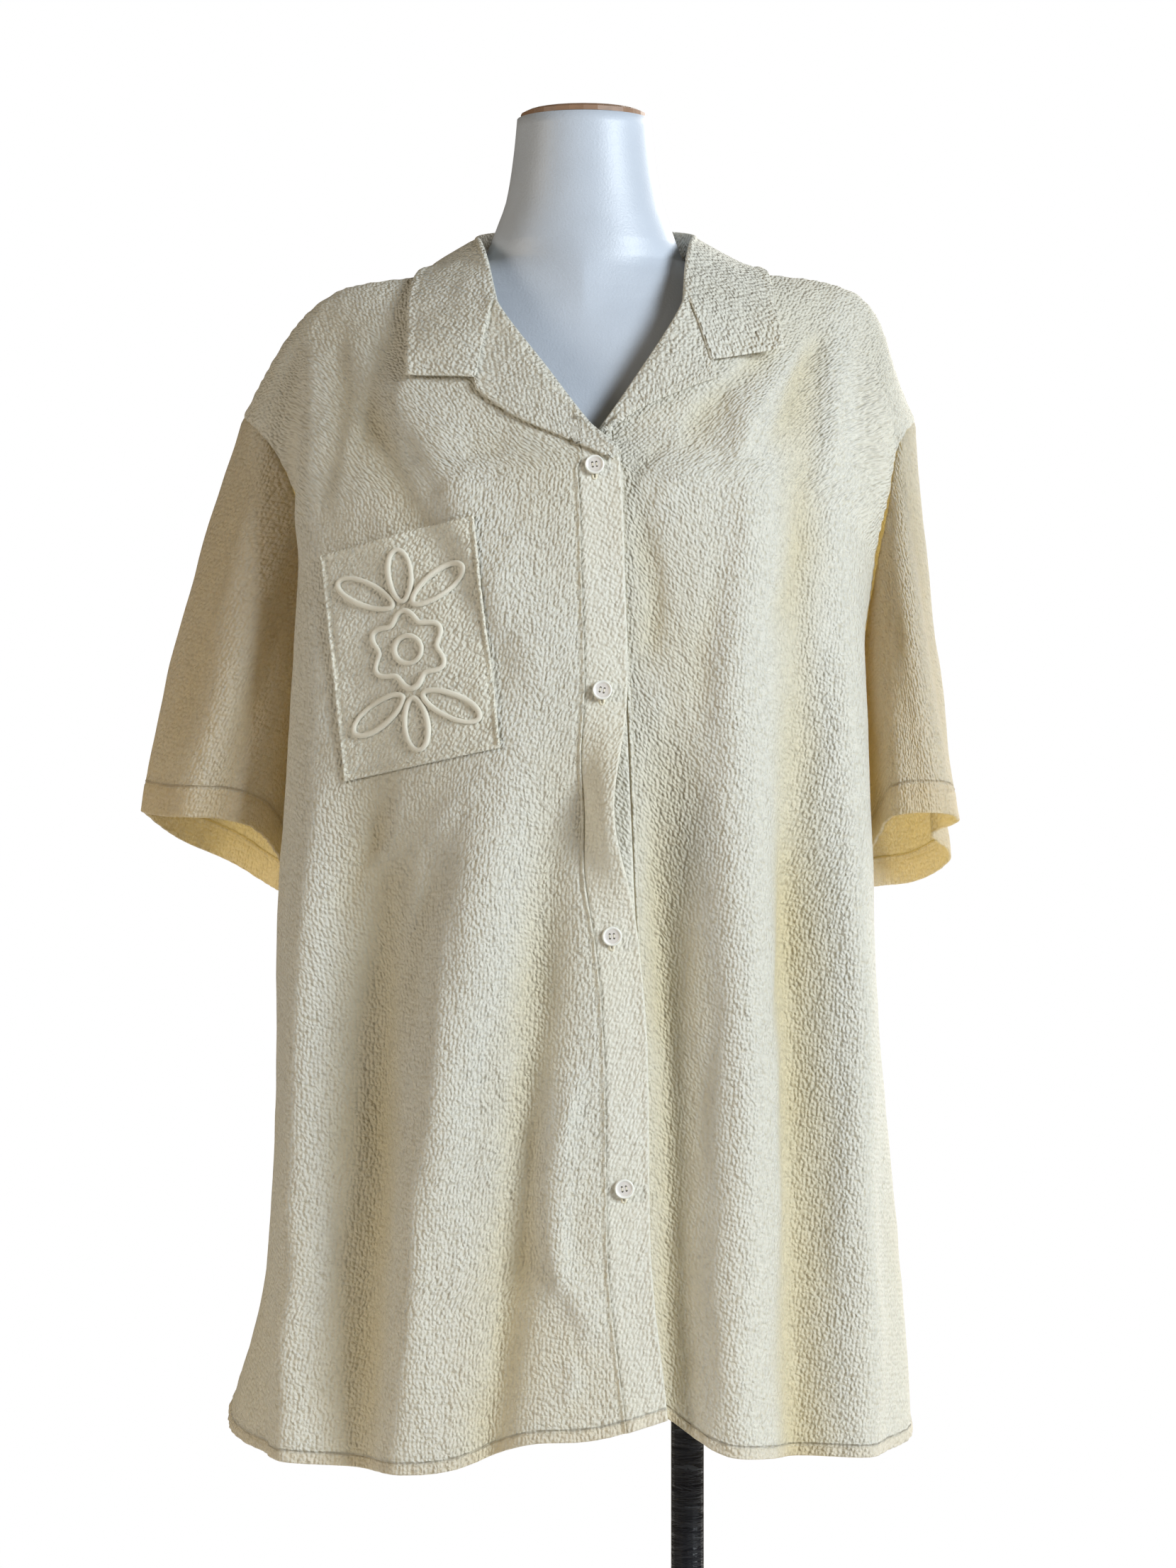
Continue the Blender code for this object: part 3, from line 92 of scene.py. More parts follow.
# Front sections, from the hem to the shoulder seam. A row holds five guide points, from the
# centre edge to the side: x is measured outwards from the centre, y is depth, z is height.
# The level, the edge and the middle come first, then the ridge, the flank and the side.
Front = namedtuple(
    "Front",
    "level edge_x edge_y edge_z mid_x mid_y mid_z ridge_x ridge_y ridge_z "
    "flank_x flank_y side_x side_y side_z",
)
FRONT_KNOTS = (0.0, 0.37, 0.68, 0.84, 1.0)
RIGHT_FRONT = (
    Front(0.000, -0.0545, -0.156, 0.630, 0.100, -0.151, 0.594,
          0.213, -0.092, 0.600, 0.238, -0.046, 0.242, 0.002, 0.614),
    Front(0.130, -0.0433, -0.152, 0.741, 0.095, -0.147, 0.722,
          0.200, -0.088, 0.708, 0.214, -0.045, 0.210, 0.005, 0.716),
    Front(0.270, -0.0415, -0.148, 0.860, 0.094, -0.143, 0.843,
          0.197, -0.084, 0.826, 0.205, -0.045, 0.194, 0.008, 0.829),
    Front(0.400, -0.0340, -0.144, 0.972, 0.092, -0.140, 0.955,
          0.197, -0.080, 0.938, 0.203, -0.042, 0.186, 0.010, 0.943),
    Front(0.530, -0.0300, -0.140, 1.083, 0.090, -0.136, 1.066,
          0.193, -0.078, 1.049, 0.196, -0.040, 0.178, 0.016, 1.045),
    Front(0.635, -0.0267, -0.136, 1.170, 0.090, -0.130, 1.152,
          0.190, -0.074, 1.134, 0.190, -0.038, 0.176, 0.000, 1.110),
    Front(0.730, -0.0235, -0.131, 1.251, 0.097, -0.118, 1.231,
          0.187, -0.066, 1.212, 0.188, -0.040, 0.181, -0.018, 1.172),
    Front(0.775, -0.0012, -0.122, 1.2755, 0.107, -0.106, 1.259,
          0.187, -0.059, 1.243, 0.189, -0.039, 0.186, -0.023, 1.199),
    Front(0.825, 0.0250, -0.108, 1.3105, 0.117, -0.092, 1.292,
          0.187, -0.050, 1.275, 0.191, -0.038, 0.192, -0.028, 1.226),
    Front(0.895, 0.0600, -0.079, 1.3600, 0.125, -0.060, 1.341,
          0.187, -0.030, 1.325, 0.200, -0.028, 0.211, -0.026, 1.268),
    Front(1.000, 0.0720, 0.000, 1.3980, 0.130, 0.000, 1.3845,
          0.1865, 0.000, 1.3650, 0.214, 0.003, 0.234, 0.008, 1.291),
)
LEFT_FRONT = (
    Front(0.000, 0.0235, -0.1495, 0.650, 0.110, -0.147, 0.605,
          0.198, -0.090, 0.599, 0.220, -0.045, 0.223, 0.002, 0.604),
    Front(0.130, 0.0160, -0.1460, 0.745, 0.108, -0.143, 0.725,
          0.195, -0.086, 0.712, 0.2135, -0.045, 0.211, 0.005, 0.716),
    Front(0.270, 0.0130, -0.1420, 0.860, 0.105, -0.139, 0.844,
          0.189, -0.082, 0.828, 0.202, -0.045, 0.195, 0.008, 0.829),
    Front(0.400, 0.0065, -0.1380, 0.972, 0.102, -0.136, 0.956,
          0.184, -0.078, 0.940, 0.190, -0.042, 0.182, 0.010, 0.943),
    Front(0.530, 0.0020, -0.1340, 1.083, 0.098, -0.132, 1.066,
          0.181, -0.075, 1.049, 0.188, -0.040, 0.180, 0.016, 1.045),
    Front(0.635, -0.0020, -0.1300, 1.170, 0.096, -0.127, 1.152,
          0.178, -0.072, 1.134, 0.188, -0.040, 0.187, 0.000, 1.110),
    Front(0.730, -0.0035, -0.1230, 1.250, 0.100, -0.117, 1.231,
          0.176, -0.064, 1.212, 0.192, -0.042, 0.196, -0.016, 1.172),
    Front(0.775, 0.0125, -0.1150, 1.271, 0.108, -0.106, 1.258,
          0.177, -0.058, 1.243, 0.195, -0.041, 0.200, -0.022, 1.199),
    Front(0.825, 0.0345, -0.1040, 1.303, 0.117, -0.092, 1.290,
          0.178, -0.050, 1.275, 0.200, -0.040, 0.206, -0.026, 1.228),
    Front(0.895, 0.0690, -0.0750, 1.362, 0.127, -0.060, 1.343,
          0.190, -0.030, 1.325, 0.206, -0.030, 0.213, -0.026, 1.268),
    Front(1.000, 0.0750, 0.0000, 1.399, 0.132, 0.000, 1.387,
          0.1975, 0.000, 1.3635, 0.212, 0.003, 0.227, 0.008, 1.288),
)

# Back sections: guide points from the centre back to the side, the same on both sides
Back = namedtuple(
    "Back", "level centre_y centre_z inner_x inner_y mid_x mid_y ridge_x ridge_y ridge_z"
)
BACK_KNOTS = (0.0, 0.22, 0.40, 0.64, 0.82, 1.0)
BACK = (
    Back(0.000, 0.150, 0.585, 0.073, 0.147, 0.130, 0.136, 0.196, 0.090, 0.592),
    Back(0.130, 0.146, 0.712, 0.073, 0.143, 0.128, 0.131, 0.190, 0.086, 0.709),
    Back(0.270, 0.142, 0.842, 0.072, 0.139, 0.126, 0.127, 0.186, 0.084, 0.828),
    Back(0.400, 0.138, 0.962, 0.072, 0.134, 0.125, 0.122, 0.183, 0.082, 0.942),
    Back(0.530, 0.133, 1.078, 0.072, 0.130, 0.124, 0.118, 0.181, 0.082, 1.052),
    Back(0.635, 0.128, 1.170, 0.072, 0.125, 0.123, 0.113, 0.178, 0.080, 1.136),
    Back(0.730, 0.120, 1.250, 0.072, 0.118, 0.122, 0.107, 0.177, 0.076, 1.214),
    Back(0.825, 0.108, 1.315, 0.072, 0.105, 0.125, 0.094, 0.179, 0.066, 1.277),
    Back(0.895, 0.090, 1.362, 0.072, 0.083, 0.128, 0.066, 0.184, 0.042, 1.326),
    Back(1.000, 0.063, 1.404, 0.074, 0.000, 0.130, 0.000, 0.185, 0.000, 1.3655),
)
ARMHOLE_BACK_BULGE = 1.3

# Large folds. Each runs down a line from its top to its foot and grows from nothing at the
# top: a positive height is a ridge, a negative one a trough.
Fold = namedtuple("Fold", "top_x top_z foot_x foot_z width height")
RIGHT_FRONT_FOLDS = (
    Fold(-0.176, 1.100, -0.190, 0.620, 0.013, 0.014),
    Fold(-0.138, 1.090, -0.144, 0.620, 0.019, -0.011),
    Fold(-0.043, 1.140, -0.126, 0.600, 0.024, 0.015),
    Fold(-0.010, 1.090, -0.058, 0.640, 0.016, -0.013),
    Fold(-0.094, 1.300, -0.132, 1.210, 0.030, -0.005),
)
LEFT_FRONT_FOLDS = (
    Fold(0.050, 1.100, 0.044, 0.640, 0.020, -0.014),
    Fold(0.102, 1.180, 0.098, 0.600, 0.022, 0.014),
    Fold(0.140, 1.160, 0.146, 0.620, 0.017, -0.019),
    Fold(0.172, 1.180, 0.182, 0.620, 0.014, 0.012),
    Fold(0.044, 1.250, 0.060, 1.080, 0.028, -0.006),
)
BACK_FOLDS = (
    Fold(-0.150, 1.180, -0.140, 0.600, 0.024, -0.012),
    Fold(-0.085, 1.240, -0.090, 0.600, 0.026, 0.014),
    Fold(-0.030, 1.160, -0.035, 0.600, 0.024, -0.013),
    Fold(0.030, 1.240, 0.024, 0.600, 0.026, 0.012),
    Fold(0.088, 1.180, 0.082, 0.600, 0.024, -0.013),
    Fold(0.140, 1.160, 0.142, 0.600, 0.022, 0.010),
)
FOLD_FULL_AFTER = 0.22

# Soft creases: each runs along a line seen from the front, dies out at both ends, and is a
# ridge where its height is positive and a trough where it is negative
Crease = namedtuple("Crease", "x z to_x to_z width height")
RIGHT_CREASES = (
    Crease(-0.128, 1.305, -0.036, 1.132, 0.0160, 0.0050),
    Crease(-0.014, 0.840, -0.021, 0.745, 0.0100, 0.0042),
    Crease(-0.019, 0.742, 0.001, 0.684, 0.0080, 0.0045),
    Crease(-0.006, 0.664, -0.009, 0.640, 0.0050, 0.0030),
    Crease(-0.186, 1.325, -0.184, 1.200, 0.0100, 0.0040),
    Crease(-0.150, 1.290, -0.078, 1.165, 0.0120, -0.0036),
    Crease(-0.130, 1.345, -0.150, 1.262, 0.0090, -0.0022),
    Crease(-0.163, 1.335, -0.170, 1.225, 0.0080, -0.0020),
    Crease(-0.112, 1.330, -0.122, 1.272, 0.0070, 0.0014),
    Crease(-0.060, 1.262, -0.100, 1.236, 0.0085, -0.0018),
    Crease(-0.040, 1.205, -0.062, 1.168, 0.0075, 0.0012),
    Crease(-0.044, 1.068, -0.072, 1.108, 0.0090, 0.0022),
    Crease(-0.048, 1.150, -0.056, 1.095, 0.0075, -0.0016),
    Crease(-0.068, 1.035, -0.102, 1.012, 0.0085, 0.0016),
    Crease(-0.118, 1.030, -0.142, 0.985, 0.0080, 0.0020),
    Crease(-0.140, 1.020, -0.158, 0.955, 0.0070, -0.0020),
    Crease(-0.100, 0.985, -0.112, 0.880, 0.0090, -0.0022),
    Crease(-0.086, 0.950, -0.094, 0.820, 0.0080, 0.0018),
    Crease(-0.030, 0.900, -0.052, 0.850, 0.0070, 0.0014),
    Crease(-0.062, 0.880, -0.070, 0.760, 0.0085, -0.0018),
    Crease(-0.004, 0.850, -0.016, 0.770, 0.0060, 0.0024),
    Crease(-0.010, 0.775, -0.020, 0.705, 0.0060, 0.0022),
    Crease(-0.034, 0.810, -0.040, 0.720, 0.0065, -0.0020),
    Crease(-0.144, 0.900, -0.150, 0.780, 0.0080, 0.0016),
    Crease(-0.160, 0.820, -0.168, 0.700, 0.0075, -0.0016),
    Crease(-0.105, 0.790, -0.108, 0.660, 0.0080, 0.0016),
    Crease(-0.180, 0.740, -0.192, 0.650, 0.0080, 0.0020),
    Crease(-0.058, 0.720, -0.064, 0.640, 0.0070, 0.0018),
    Crease(-0.176, 1.180, -0.182, 1.060, 0.0080, 0.0014),
)
LEFT_CREASES = (
    Crease(0.104, 1.300, 0.101, 1.080, 0.0150, 0.0050),
    Crease(0.148, 1.320, 0.145, 1.070, 0.0120, -0.0042),
    Crease(0.172, 1.330, 0.170, 1.060, 0.0100, 0.0036),
    Crease(0.040, 1.215, 0.044, 1.120, 0.0100, -0.0042),
    Crease(0.120, 1.335, 0.072, 1.268, 0.0100, -0.0042),
    Crease(0.142, 1.330, 0.090, 1.245, 0.0085, 0.0032),
    Crease(0.160, 1.335, 0.120, 1.262, 0.0090, -0.0036),
    Crease(0.170, 1.310, 0.146, 1.210, 0.0090, 0.0018),
    Crease(0.075, 1.255, 0.050, 1.222, 0.0080, 0.0018),
    Crease(0.052, 1.262, 0.022, 1.228, 0.0065, -0.0026),
    Crease(0.155, 1.245, 0.130, 1.150, 0.0100, -0.0022),
    Crease(0.120, 1.215, 0.104, 1.120, 0.0090, 0.0018),
    Crease(0.086, 1.180, 0.076, 1.090, 0.0085, -0.0018),
    Crease(0.040, 1.170, 0.046, 1.080, 0.0075, 0.0016),
    Crease(0.168, 1.150, 0.160, 1.030, 0.0090, 0.0016),
    Crease(0.024, 1.060, 0.030, 0.960, 0.0065, 0.0020),
    Crease(0.042, 1.000, 0.038, 0.880, 0.0075, -0.0018),
    Crease(0.092, 1.050, 0.088, 0.930, 0.0085, 0.0018),
    Crease(0.140, 1.000, 0.134, 0.890, 0.0080, -0.0016),
    Crease(0.080, 0.920, 0.078, 0.780, 0.0080, -0.0018),
    Crease(0.128, 0.870, 0.126, 0.740, 0.0070, 0.0018),
    Crease(0.050, 0.860, 0.046, 0.740, 0.0075, 0.0016),
    Crease(0.172, 0.940, 0.178, 0.800, 0.0080, 0.0016),
    Crease(0.160, 0.820, 0.162, 0.700, 0.0075, -0.0018),
    Crease(0.090, 0.760, 0.088, 0.650, 0.0075, 0.0018),
    Crease(0.182, 0.740, 0.188, 0.640, 0.0080, 0.0018),
)
BACK_CREASES = (
    Crease(-0.150, 1.330, -0.110, 1.250, 0.0100, -0.0026),
    Crease(-0.120, 1.300, -0.080, 1.220, 0.0090, 0.0016),
    Crease(0.150, 1.330, 0.115, 1.255, 0.0100, -0.0024),
    Crease(0.125, 1.285, 0.090, 1.205, 0.0090, 0.0018),
    Crease(-0.030, 1.330, 0.025, 1.318, 0.0090, -0.0018),
    Crease(-0.165, 1.140, -0.150, 1.040, 0.0090, 0.0020),
    Crease(0.162, 1.150, 0.156, 1.030, 0.0090, -0.0020),
    Crease(-0.060, 1.160, -0.056, 1.040, 0.0080, -0.0018),
    Crease(-0.112, 1.090, -0.116, 0.950, 0.0085, 0.0018),
    Crease(0.058, 1.100, 0.054, 0.980, 0.0080, 0.0018),
    Crease(0.000, 1.050, -0.004, 0.900, 0.0080, 0.0020),
    Crease(0.112, 1.040, 0.110, 0.900, 0.0080, -0.0018),
    Crease(-0.164, 0.960, -0.160, 0.830, 0.0080, -0.0018),
    Crease(-0.060, 0.930, -0.062, 0.800, 0.0075, 0.0018),
    Crease(0.054, 0.900, 0.056, 0.770, 0.0075, -0.0020),
    Crease(0.162, 0.900, 0.166, 0.760, 0.0080, 0.0018),
    Crease(-0.118, 0.850, -0.112, 0.700, 0.0080, 0.0020),
    Crease(-0.010, 0.820, -0.006, 0.680, 0.0070, -0.0018),
    Crease(0.112, 0.790, 0.116, 0.660, 0.0075, 0.0018),
    Crease(-0.170, 0.760, -0.178, 0.650, 0.0080, 0.0016),
)
# On a sleeve a crease runs in its own plane: the share round it, and the share down to its hem
SleeveCrease = namedtuple("SleeveCrease", "turn down to_turn to_down width height")
RIGHT_SLEEVE_CREASES = (
    SleeveCrease(0.080, 0.05, 0.120, 0.70, 0.016, -0.0030),
    SleeveCrease(0.160, 0.10, 0.180, 0.95, 0.016, 0.0026),
    SleeveCrease(0.235, 0.15, 0.250, 0.98, 0.014, -0.0028),
    SleeveCrease(0.960, 0.10, 0.985, 0.60, 0.016, 0.0022),
    SleeveCrease(0.030, 0.45, 0.050, 0.98, 0.014, 0.0022),
    SleeveCrease(0.310, 0.30, 0.300, 0.96, 0.014, 0.0020),
    SleeveCrease(0.880, 0.10, 0.900, 0.80, 0.018, -0.0030),
    SleeveCrease(0.790, 0.20, 0.800, 0.95, 0.016, 0.0026),
    SleeveCrease(0.690, 0.15, 0.700, 0.90, 0.016, -0.0026),
)
LEFT_SLEEVE_CREASES = (
    SleeveCrease(0.090, 0.10, 0.110, 0.80, 0.016, -0.0026),
    SleeveCrease(0.170, 0.05, 0.160, 0.85, 0.016, 0.0024),
    SleeveCrease(0.250, 0.20, 0.240, 0.95, 0.014, -0.0026),
    SleeveCrease(0.020, 0.20, 0.040, 0.95, 0.014, 0.0022),
    SleeveCrease(0.320, 0.25, 0.310, 0.96, 0.014, 0.0020),
    SleeveCrease(0.900, 0.10, 0.890, 0.90, 0.016, 0.0026),
    SleeveCrease(0.810, 0.15, 0.820, 0.90, 0.018, -0.0030),
    SleeveCrease(0.700, 0.20, 0.710, 0.95, 0.016, 0.0024),
)

# Waves of the hem: where, how wide and how high the cloth is lifted there
Wave = namedtuple("Wave", "x width lift")
RIGHT_HEM = (Wave(-0.038, 0.034, 0.010), Wave(-0.150, 0.030, 0.002))
LEFT_HEM = (Wave(0.090, 0.020, -0.004), Wave(0.150, 0.030, 0.002))
HEM_REACH = 0.12
GAPE_HEIGHT = 1.022
GAPE_REACH = 0.050
GAPE_PULL = 0.0125
GAPE_LIFT = 0.0240

# Sleeve hems: eight points round the ring, from the outermost one by the front, with x outwards
Ring = namedtuple("Ring", "share x y z")
RIGHT_CUFF = (
    Ring(0.000, 0.303, 0.028, 1.020),
    Ring(0.125, 0.287, -0.030, 1.019),
    Ring(0.250, 0.246, -0.050, 1.017),
    Ring(0.375, 0.214, -0.022, 1.003),
    Ring(0.500, 0.203, 0.026, 0.972),
    Ring(0.625, 0.214, 0.070, 0.966),
    Ring(0.750, 0.244, 0.090, 0.983),
    Ring(0.875, 0.284, 0.074, 1.002),
)
LEFT_CUFF = (
    Ring(0.000, 0.256, 0.022, 1.008),
    Ring(0.125, 0.250, -0.030, 1.019),
    Ring(0.250, 0.222, -0.052, 1.021),
    Ring(0.375, 0.200, -0.026, 1.008),
    Ring(0.500, 0.193, 0.026, 0.972),
    Ring(0.625, 0.202, 0.076, 0.968),
    Ring(0.750, 0.226, 0.094, 0.970),
    Ring(0.875, 0.253, 0.066, 0.984),
)
SLEEVE_BELLY = 0.012
RIGHT_SLEEVE_BOW = 0.004
LEFT_SLEEVE_BOW = -0.004
LEFT_SLEEVE_PLEAT = 0.016
SLEEVE_CLEAR = 0.009

# Collar, from its front end round to the back: how high it stands off the neck seam before
# it rolls over, how upright it stands, and its outer edge with x outwards
Collar = namedtuple("Collar", "share stand upright outer_x outer_y outer_z")
RIGHT_COLLAR = (
    Collar(0.00, 0.0032, 0.00, 0.1166, -0.093, 1.3110),
    Collar(0.25, 0.0080, 0.60, 0.1150, -0.058, 1.3510),
    Collar(0.50, 0.0155, 1.00, 0.1090, 0.004, 1.3930),
    Collar(0.78, 0.0220, 1.00, 0.0900, 0.088, 1.3760),
    Collar(1.00, 0.0270, 1.00, 0.0000, 0.118, 1.3660),
)
LEFT_COLLAR = (
    Collar(0.00, 0.0032, 0.00, 0.1322, -0.083, 1.3310),
    Collar(0.25, 0.0080, 0.60, 0.1280, -0.050, 1.3630),
    Collar(0.50, 0.0155, 1.00, 0.1180, 0.006, 1.3920),
    Collar(0.78, 0.0220, 1.00, 0.0930, 0.088, 1.3760),
    Collar(1.00, 0.0270, 1.00, 0.0000, 0.118, 1.3660),
)
NECK_POINT_SHARE = 0.5
FALL_ROWS = np.round(np.concatenate([np.linspace(0.03, 0.95, 30), (0.965, 0.98, 0.99, 1.0)]), 4)
COLLAR_LIFT = 0.0050
RIGHT_NOTCH = (-0.0702, -0.104, 1.3078)
LEFT_NOTCH = (0.0842, -0.096, 1.3212)
NOTCH_ROW = 0.50
SEAM_LAP = 0.0002

# Lapels: the outer edge from the break to the tip, with x outwards
Lapel = namedtuple("Lapel", "share outer_x outer_z")
RIGHT_LAPEL = (
    Lapel(0.00, -0.0225, 1.2505),
    Lapel(0.25, -0.0020, 1.2597),
    Lapel(0.50, 0.0200, 1.2695),
    Lapel(0.75, 0.0455, 1.2815),
    Lapel(1.00, 0.0703, 1.2993),
)
LEFT_LAPEL = (
    Lapel(0.00, -0.0020, 1.2530),
    Lapel(0.25, 0.0160, 1.2700),
    Lapel(0.50, 0.0350, 1.2850),
    Lapel(0.75, 0.0600, 1.2970),
    Lapel(1.00, 0.0866, 1.3080),
)
RIGHT_LAPEL_START = 0.737
LEFT_LAPEL_START = 0.765
LAPEL_STAND = 0.0030
LAPEL_LIFT = 0.0032
LAPEL_STEPS = np.round(np.concatenate([np.linspace(0.04, 0.94, 26), (0.96, 0.975, 0.99, 1.0)]), 4)
LAPEL_CORNER = 0.86
ROLL_SPACE = 0.0008

# Dress form: rings from the bottom to the neck; a low squareness is a ring with pointed ends
Torso = namedtuple("Torso", "z half_width front back squareness")
TORSO = (
    Torso(0.720, 0.120, 0.070, 0.080, 2.2),
    Torso(0.726, 0.148, 0.088, 0.098, 2.2),
    Torso(0.745, 0.160, 0.096, 0.108, 2.2),
    Torso(0.800, 0.168, 0.100, 0.116, 2.2),
    Torso(0.860, 0.165, 0.098, 0.112, 2.2),
    Torso(0.940, 0.146, 0.092, 0.094, 2.2),
    Torso(1.010, 0.126, 0.088, 0.078, 2.2),
    Torso(1.070, 0.128, 0.096, 0.084, 2.2),
    Torso(1.130, 0.144, 0.110, 0.096, 2.2),
    Torso(1.180, 0.156, 0.118, 0.103, 2.2),
    Torso(1.230, 0.166, 0.112, 0.104, 2.2),
    Torso(1.275, 0.174, 0.099, 0.098, 2.2),
    Torso(1.310, 0.178, 0.085, 0.087, 2.0),
    Torso(1.338, 0.180, 0.073, 0.074, 1.7),
    Torso(1.356, 0.178, 0.066, 0.066, 1.4),
    Torso(1.366, 0.170, 0.062, 0.061, 1.3),
    Torso(1.375, 0.150, 0.059, 0.057, 1.3),
    Torso(1.383, 0.122, 0.057, 0.055, 1.35),
    Torso(1.390, 0.090, 0.055, 0.054, 1.5),
    Torso(1.397, 0.069, 0.053, 0.053, 1.8),
    Torso(1.408, 0.064, 0.052, 0.052, 2.0),
    Torso(1.421, 0.059, 0.050, 0.051, 2.0),
    Torso(1.438, 0.053, 0.048, 0.049, 2.0),
    Torso(1.473, 0.0475, 0.0455, 0.046, 2.0),
    Torso(1.494, 0.0455, 0.044, 0.044, 2.0),
)

# Pocket: corners on the right front as x and z, seen from the front
POCKET_TOP_OUTER = (-0.1735, 1.191)
POCKET_TOP_INNER = (-0.0715, 1.215)
POCKET_LOW_INNER = (-0.0535, 1.0635)
POCKET_LOW_OUTER = (-0.1570, 1.0415)
POCKET_LIFT = 0.0004

# Cord design on the pocket: closed loops, placed from the pocket's middle. A flower has round
# lobes on a ring; a leaf is a long loop, pointed at its foot, turned by its angle from upright.
Flower = namedtuple("Flower", "x z radius lobe lobes points")
Leaf = namedtuple("Leaf", "x z length width turn points")
FLOWERS = (Flower(0.0, 0.0, 0.0225, 0.0032, 6, 120), Flower(0.0, 0.0, 0.0090, 0.0, 1, 60))
LEAVES = (
    Leaf(-0.007, 0.030, 0.040, 0.0150, 60.0, 90),
    Leaf(0.007, 0.030, 0.040, 0.0150, -60.0, 90),
    Leaf(0.000, 0.032, 0.034, 0.0150, 0.0, 90),
    Leaf(-0.007, -0.030, 0.040, 0.0150, 120.0, 90),
    Leaf(0.007, -0.030, 0.040, 0.0150, -120.0, 90),
    Leaf(0.000, -0.032, 0.034, 0.0150, 180.0, 90),
)

# Bands and buttons
BAND_WIDTH = 0.028
BUTTON_DIAMETER = 0.0128
BUTTON_THICKNESS = 0.0026
BUTTON_HEIGHTS = (1.2485, 1.102, 0.943, 0.777)
BUTTON_FROM_EDGE = 0.0165
BUTTON_TURNS = (8, -14, 4, 10)
BUTTON_PROFILE = (
    (0.0, 0.0), (0.70, 0.0), (0.90, 0.06), (0.985, 0.24), (1.0, 0.50), (0.985, 0.78),
    (0.945, 0.95), (0.90, 1.0), (0.85, 0.98), (0.80, 0.88), (0.75, 0.74), (0.66, 0.64),
    (0.50, 0.60), (0.30, 0.59), (0.12, 0.59), (0.0, 0.59),
)
# The well's height and rim as shares of the button, then the four holes and their thread
WELL_LEVEL = 0.59
WELL_REACH = 0.76
HOLE_ASIDE = 0.00135
HOLE_RADIUS = 0.00068
HOLE_DEPTH = 0.0016
THREAD_HALF_WIDTH = 0.00034
THREAD_HALF_HEIGHT = 0.00022
THREAD_SIDES = 8
BUTTON_SIDES = 48
HOLE_SIDES = 20
SHARP_FROM = 42

# Buttonholes: half the width, half the length, how far the middle lies below the button's,
# and the bead of close stitches round the slit
SLIT_HALF_WIDTH = 0.0012
SLIT_REACH = 0.0070
SLIT_DROP = 0.0022
SLIT_BEAD = 0.00062
SLIT_STITCHES = 56
SLIT_BEAD_SIDES = 7
SLIT_ROWS = 12
# A dark strip of painted shade in the slit: its four corners' places to the side, and how high they lie
SLIT_SHADE_STRIP = ((-0.0005, 0.00018), (0.0005, 0.00018), (0.0005, -0.0004), (-0.0005, -0.0004))

# Stitches: how far from the fold of a hem, from the band's seam and from the pocket's edge
HEM_STITCH = 0.0012
BAND_STITCH = 0.0036
POCKET_STITCH = 0.0034

# What a turned hem adds to the cloth's thickness
HEM_LAYER = 0.0005
CUFF_LAYER = 0.0006

# The sheets as they were cut: width and length, then the area, before they were sewn
FLAT = {
    "front_right": ((0.345, 0.800), 0.228),
    "front_left": ((0.345, 0.800), 0.228),
    "back": ((0.620, 0.840), 0.452),
    "band": ((0.029, 0.700), 0.0202),
    "sleeve": ((0.470, 0.215), 0.0760),
    "collar": ((0.500, 0.095), 0.0430),
    "lapel": ((0.070, 0.125), 0.0043),
    "pocket": ((0.112, 0.165), 0.0180),
}

# Lights: place, what it is aimed at, size, power and colour
LIGHTS = (
    ("window", (2.35, -1.95, 2.1), (0.0, 0.0, 1.0), (1.0, 1.3), 127.0, (0.88, 0.95, 1.0)),
    ("room", (-2.7, -1.3, 1.8), (0.0, 0.0, 1.0), (1.0, 1.4), 34.0, (1.0, 0.90, 0.76)),
    ("back", (1.4, 2.5, 1.9), (0.0, 0.0, 1.0), (2.2, 2.2), 130.0, (1.0, 0.97, 0.92)),
)
EVEN_LIGHT = (1.0, 0.84, 0.62, 1.0)
EVEN_STRENGTH = 0.120
FLOOR_RADIUS = 1.9
FLOOR_DROP = 0.0005
CAMERA_PLACE = (0.003, -2.75, 1.04)
CAMERA_LENS = 92.3
CAMERA_SENSOR = 36.0


def through_rows(levels, rows, at, arrive_level=True):
    """Smooth curves through the rows, without overshoot, read at each level in at.

    At the last row they arrive level, so that front and back meet in a rounded shoulder.
    """
    levels = np.asarray(levels, float)
    step = np.diff(levels)[:, None]
    rise = np.diff(rows, axis=0) / step
    before, after = rise[:-1], rise[1:]
    same_way = before * after > 0
    wide = 2 * step[1:] + step[:-1]
    near = step[1:] + 2 * step[:-1]
    safe_before = np.where(same_way, before, 1.0)
    safe_after = np.where(same_way, after, 1.0)
    slope = np.zeros_like(rows)
    slope[1:-1] = np.where(same_way, (wide + near) / (wide / safe_before + near / safe_after), 0.0)
    slope[0] = rise[0]
    slope[-1] = rise[-1] * (np.tile((0.0, 1.5, 0.0), rows.shape[1] // 3) if arrive_level else 1.0)
    k = np.clip(np.searchsorted(levels, at, side="right") - 1, 0, len(levels) - 2)
    h = step[k]
    t = (np.asarray(at) - levels[k])[:, None] / h
    return (
        (2 * t**3 - 3 * t**2 + 1) * rows[k]
        + (t**3 - 2 * t**2 + t) * h * slope[k]
        + (3 * t**2 - 2 * t**3) * rows[k + 1]
        + (t**3 - t**2) * h * slope[k + 1]
    )


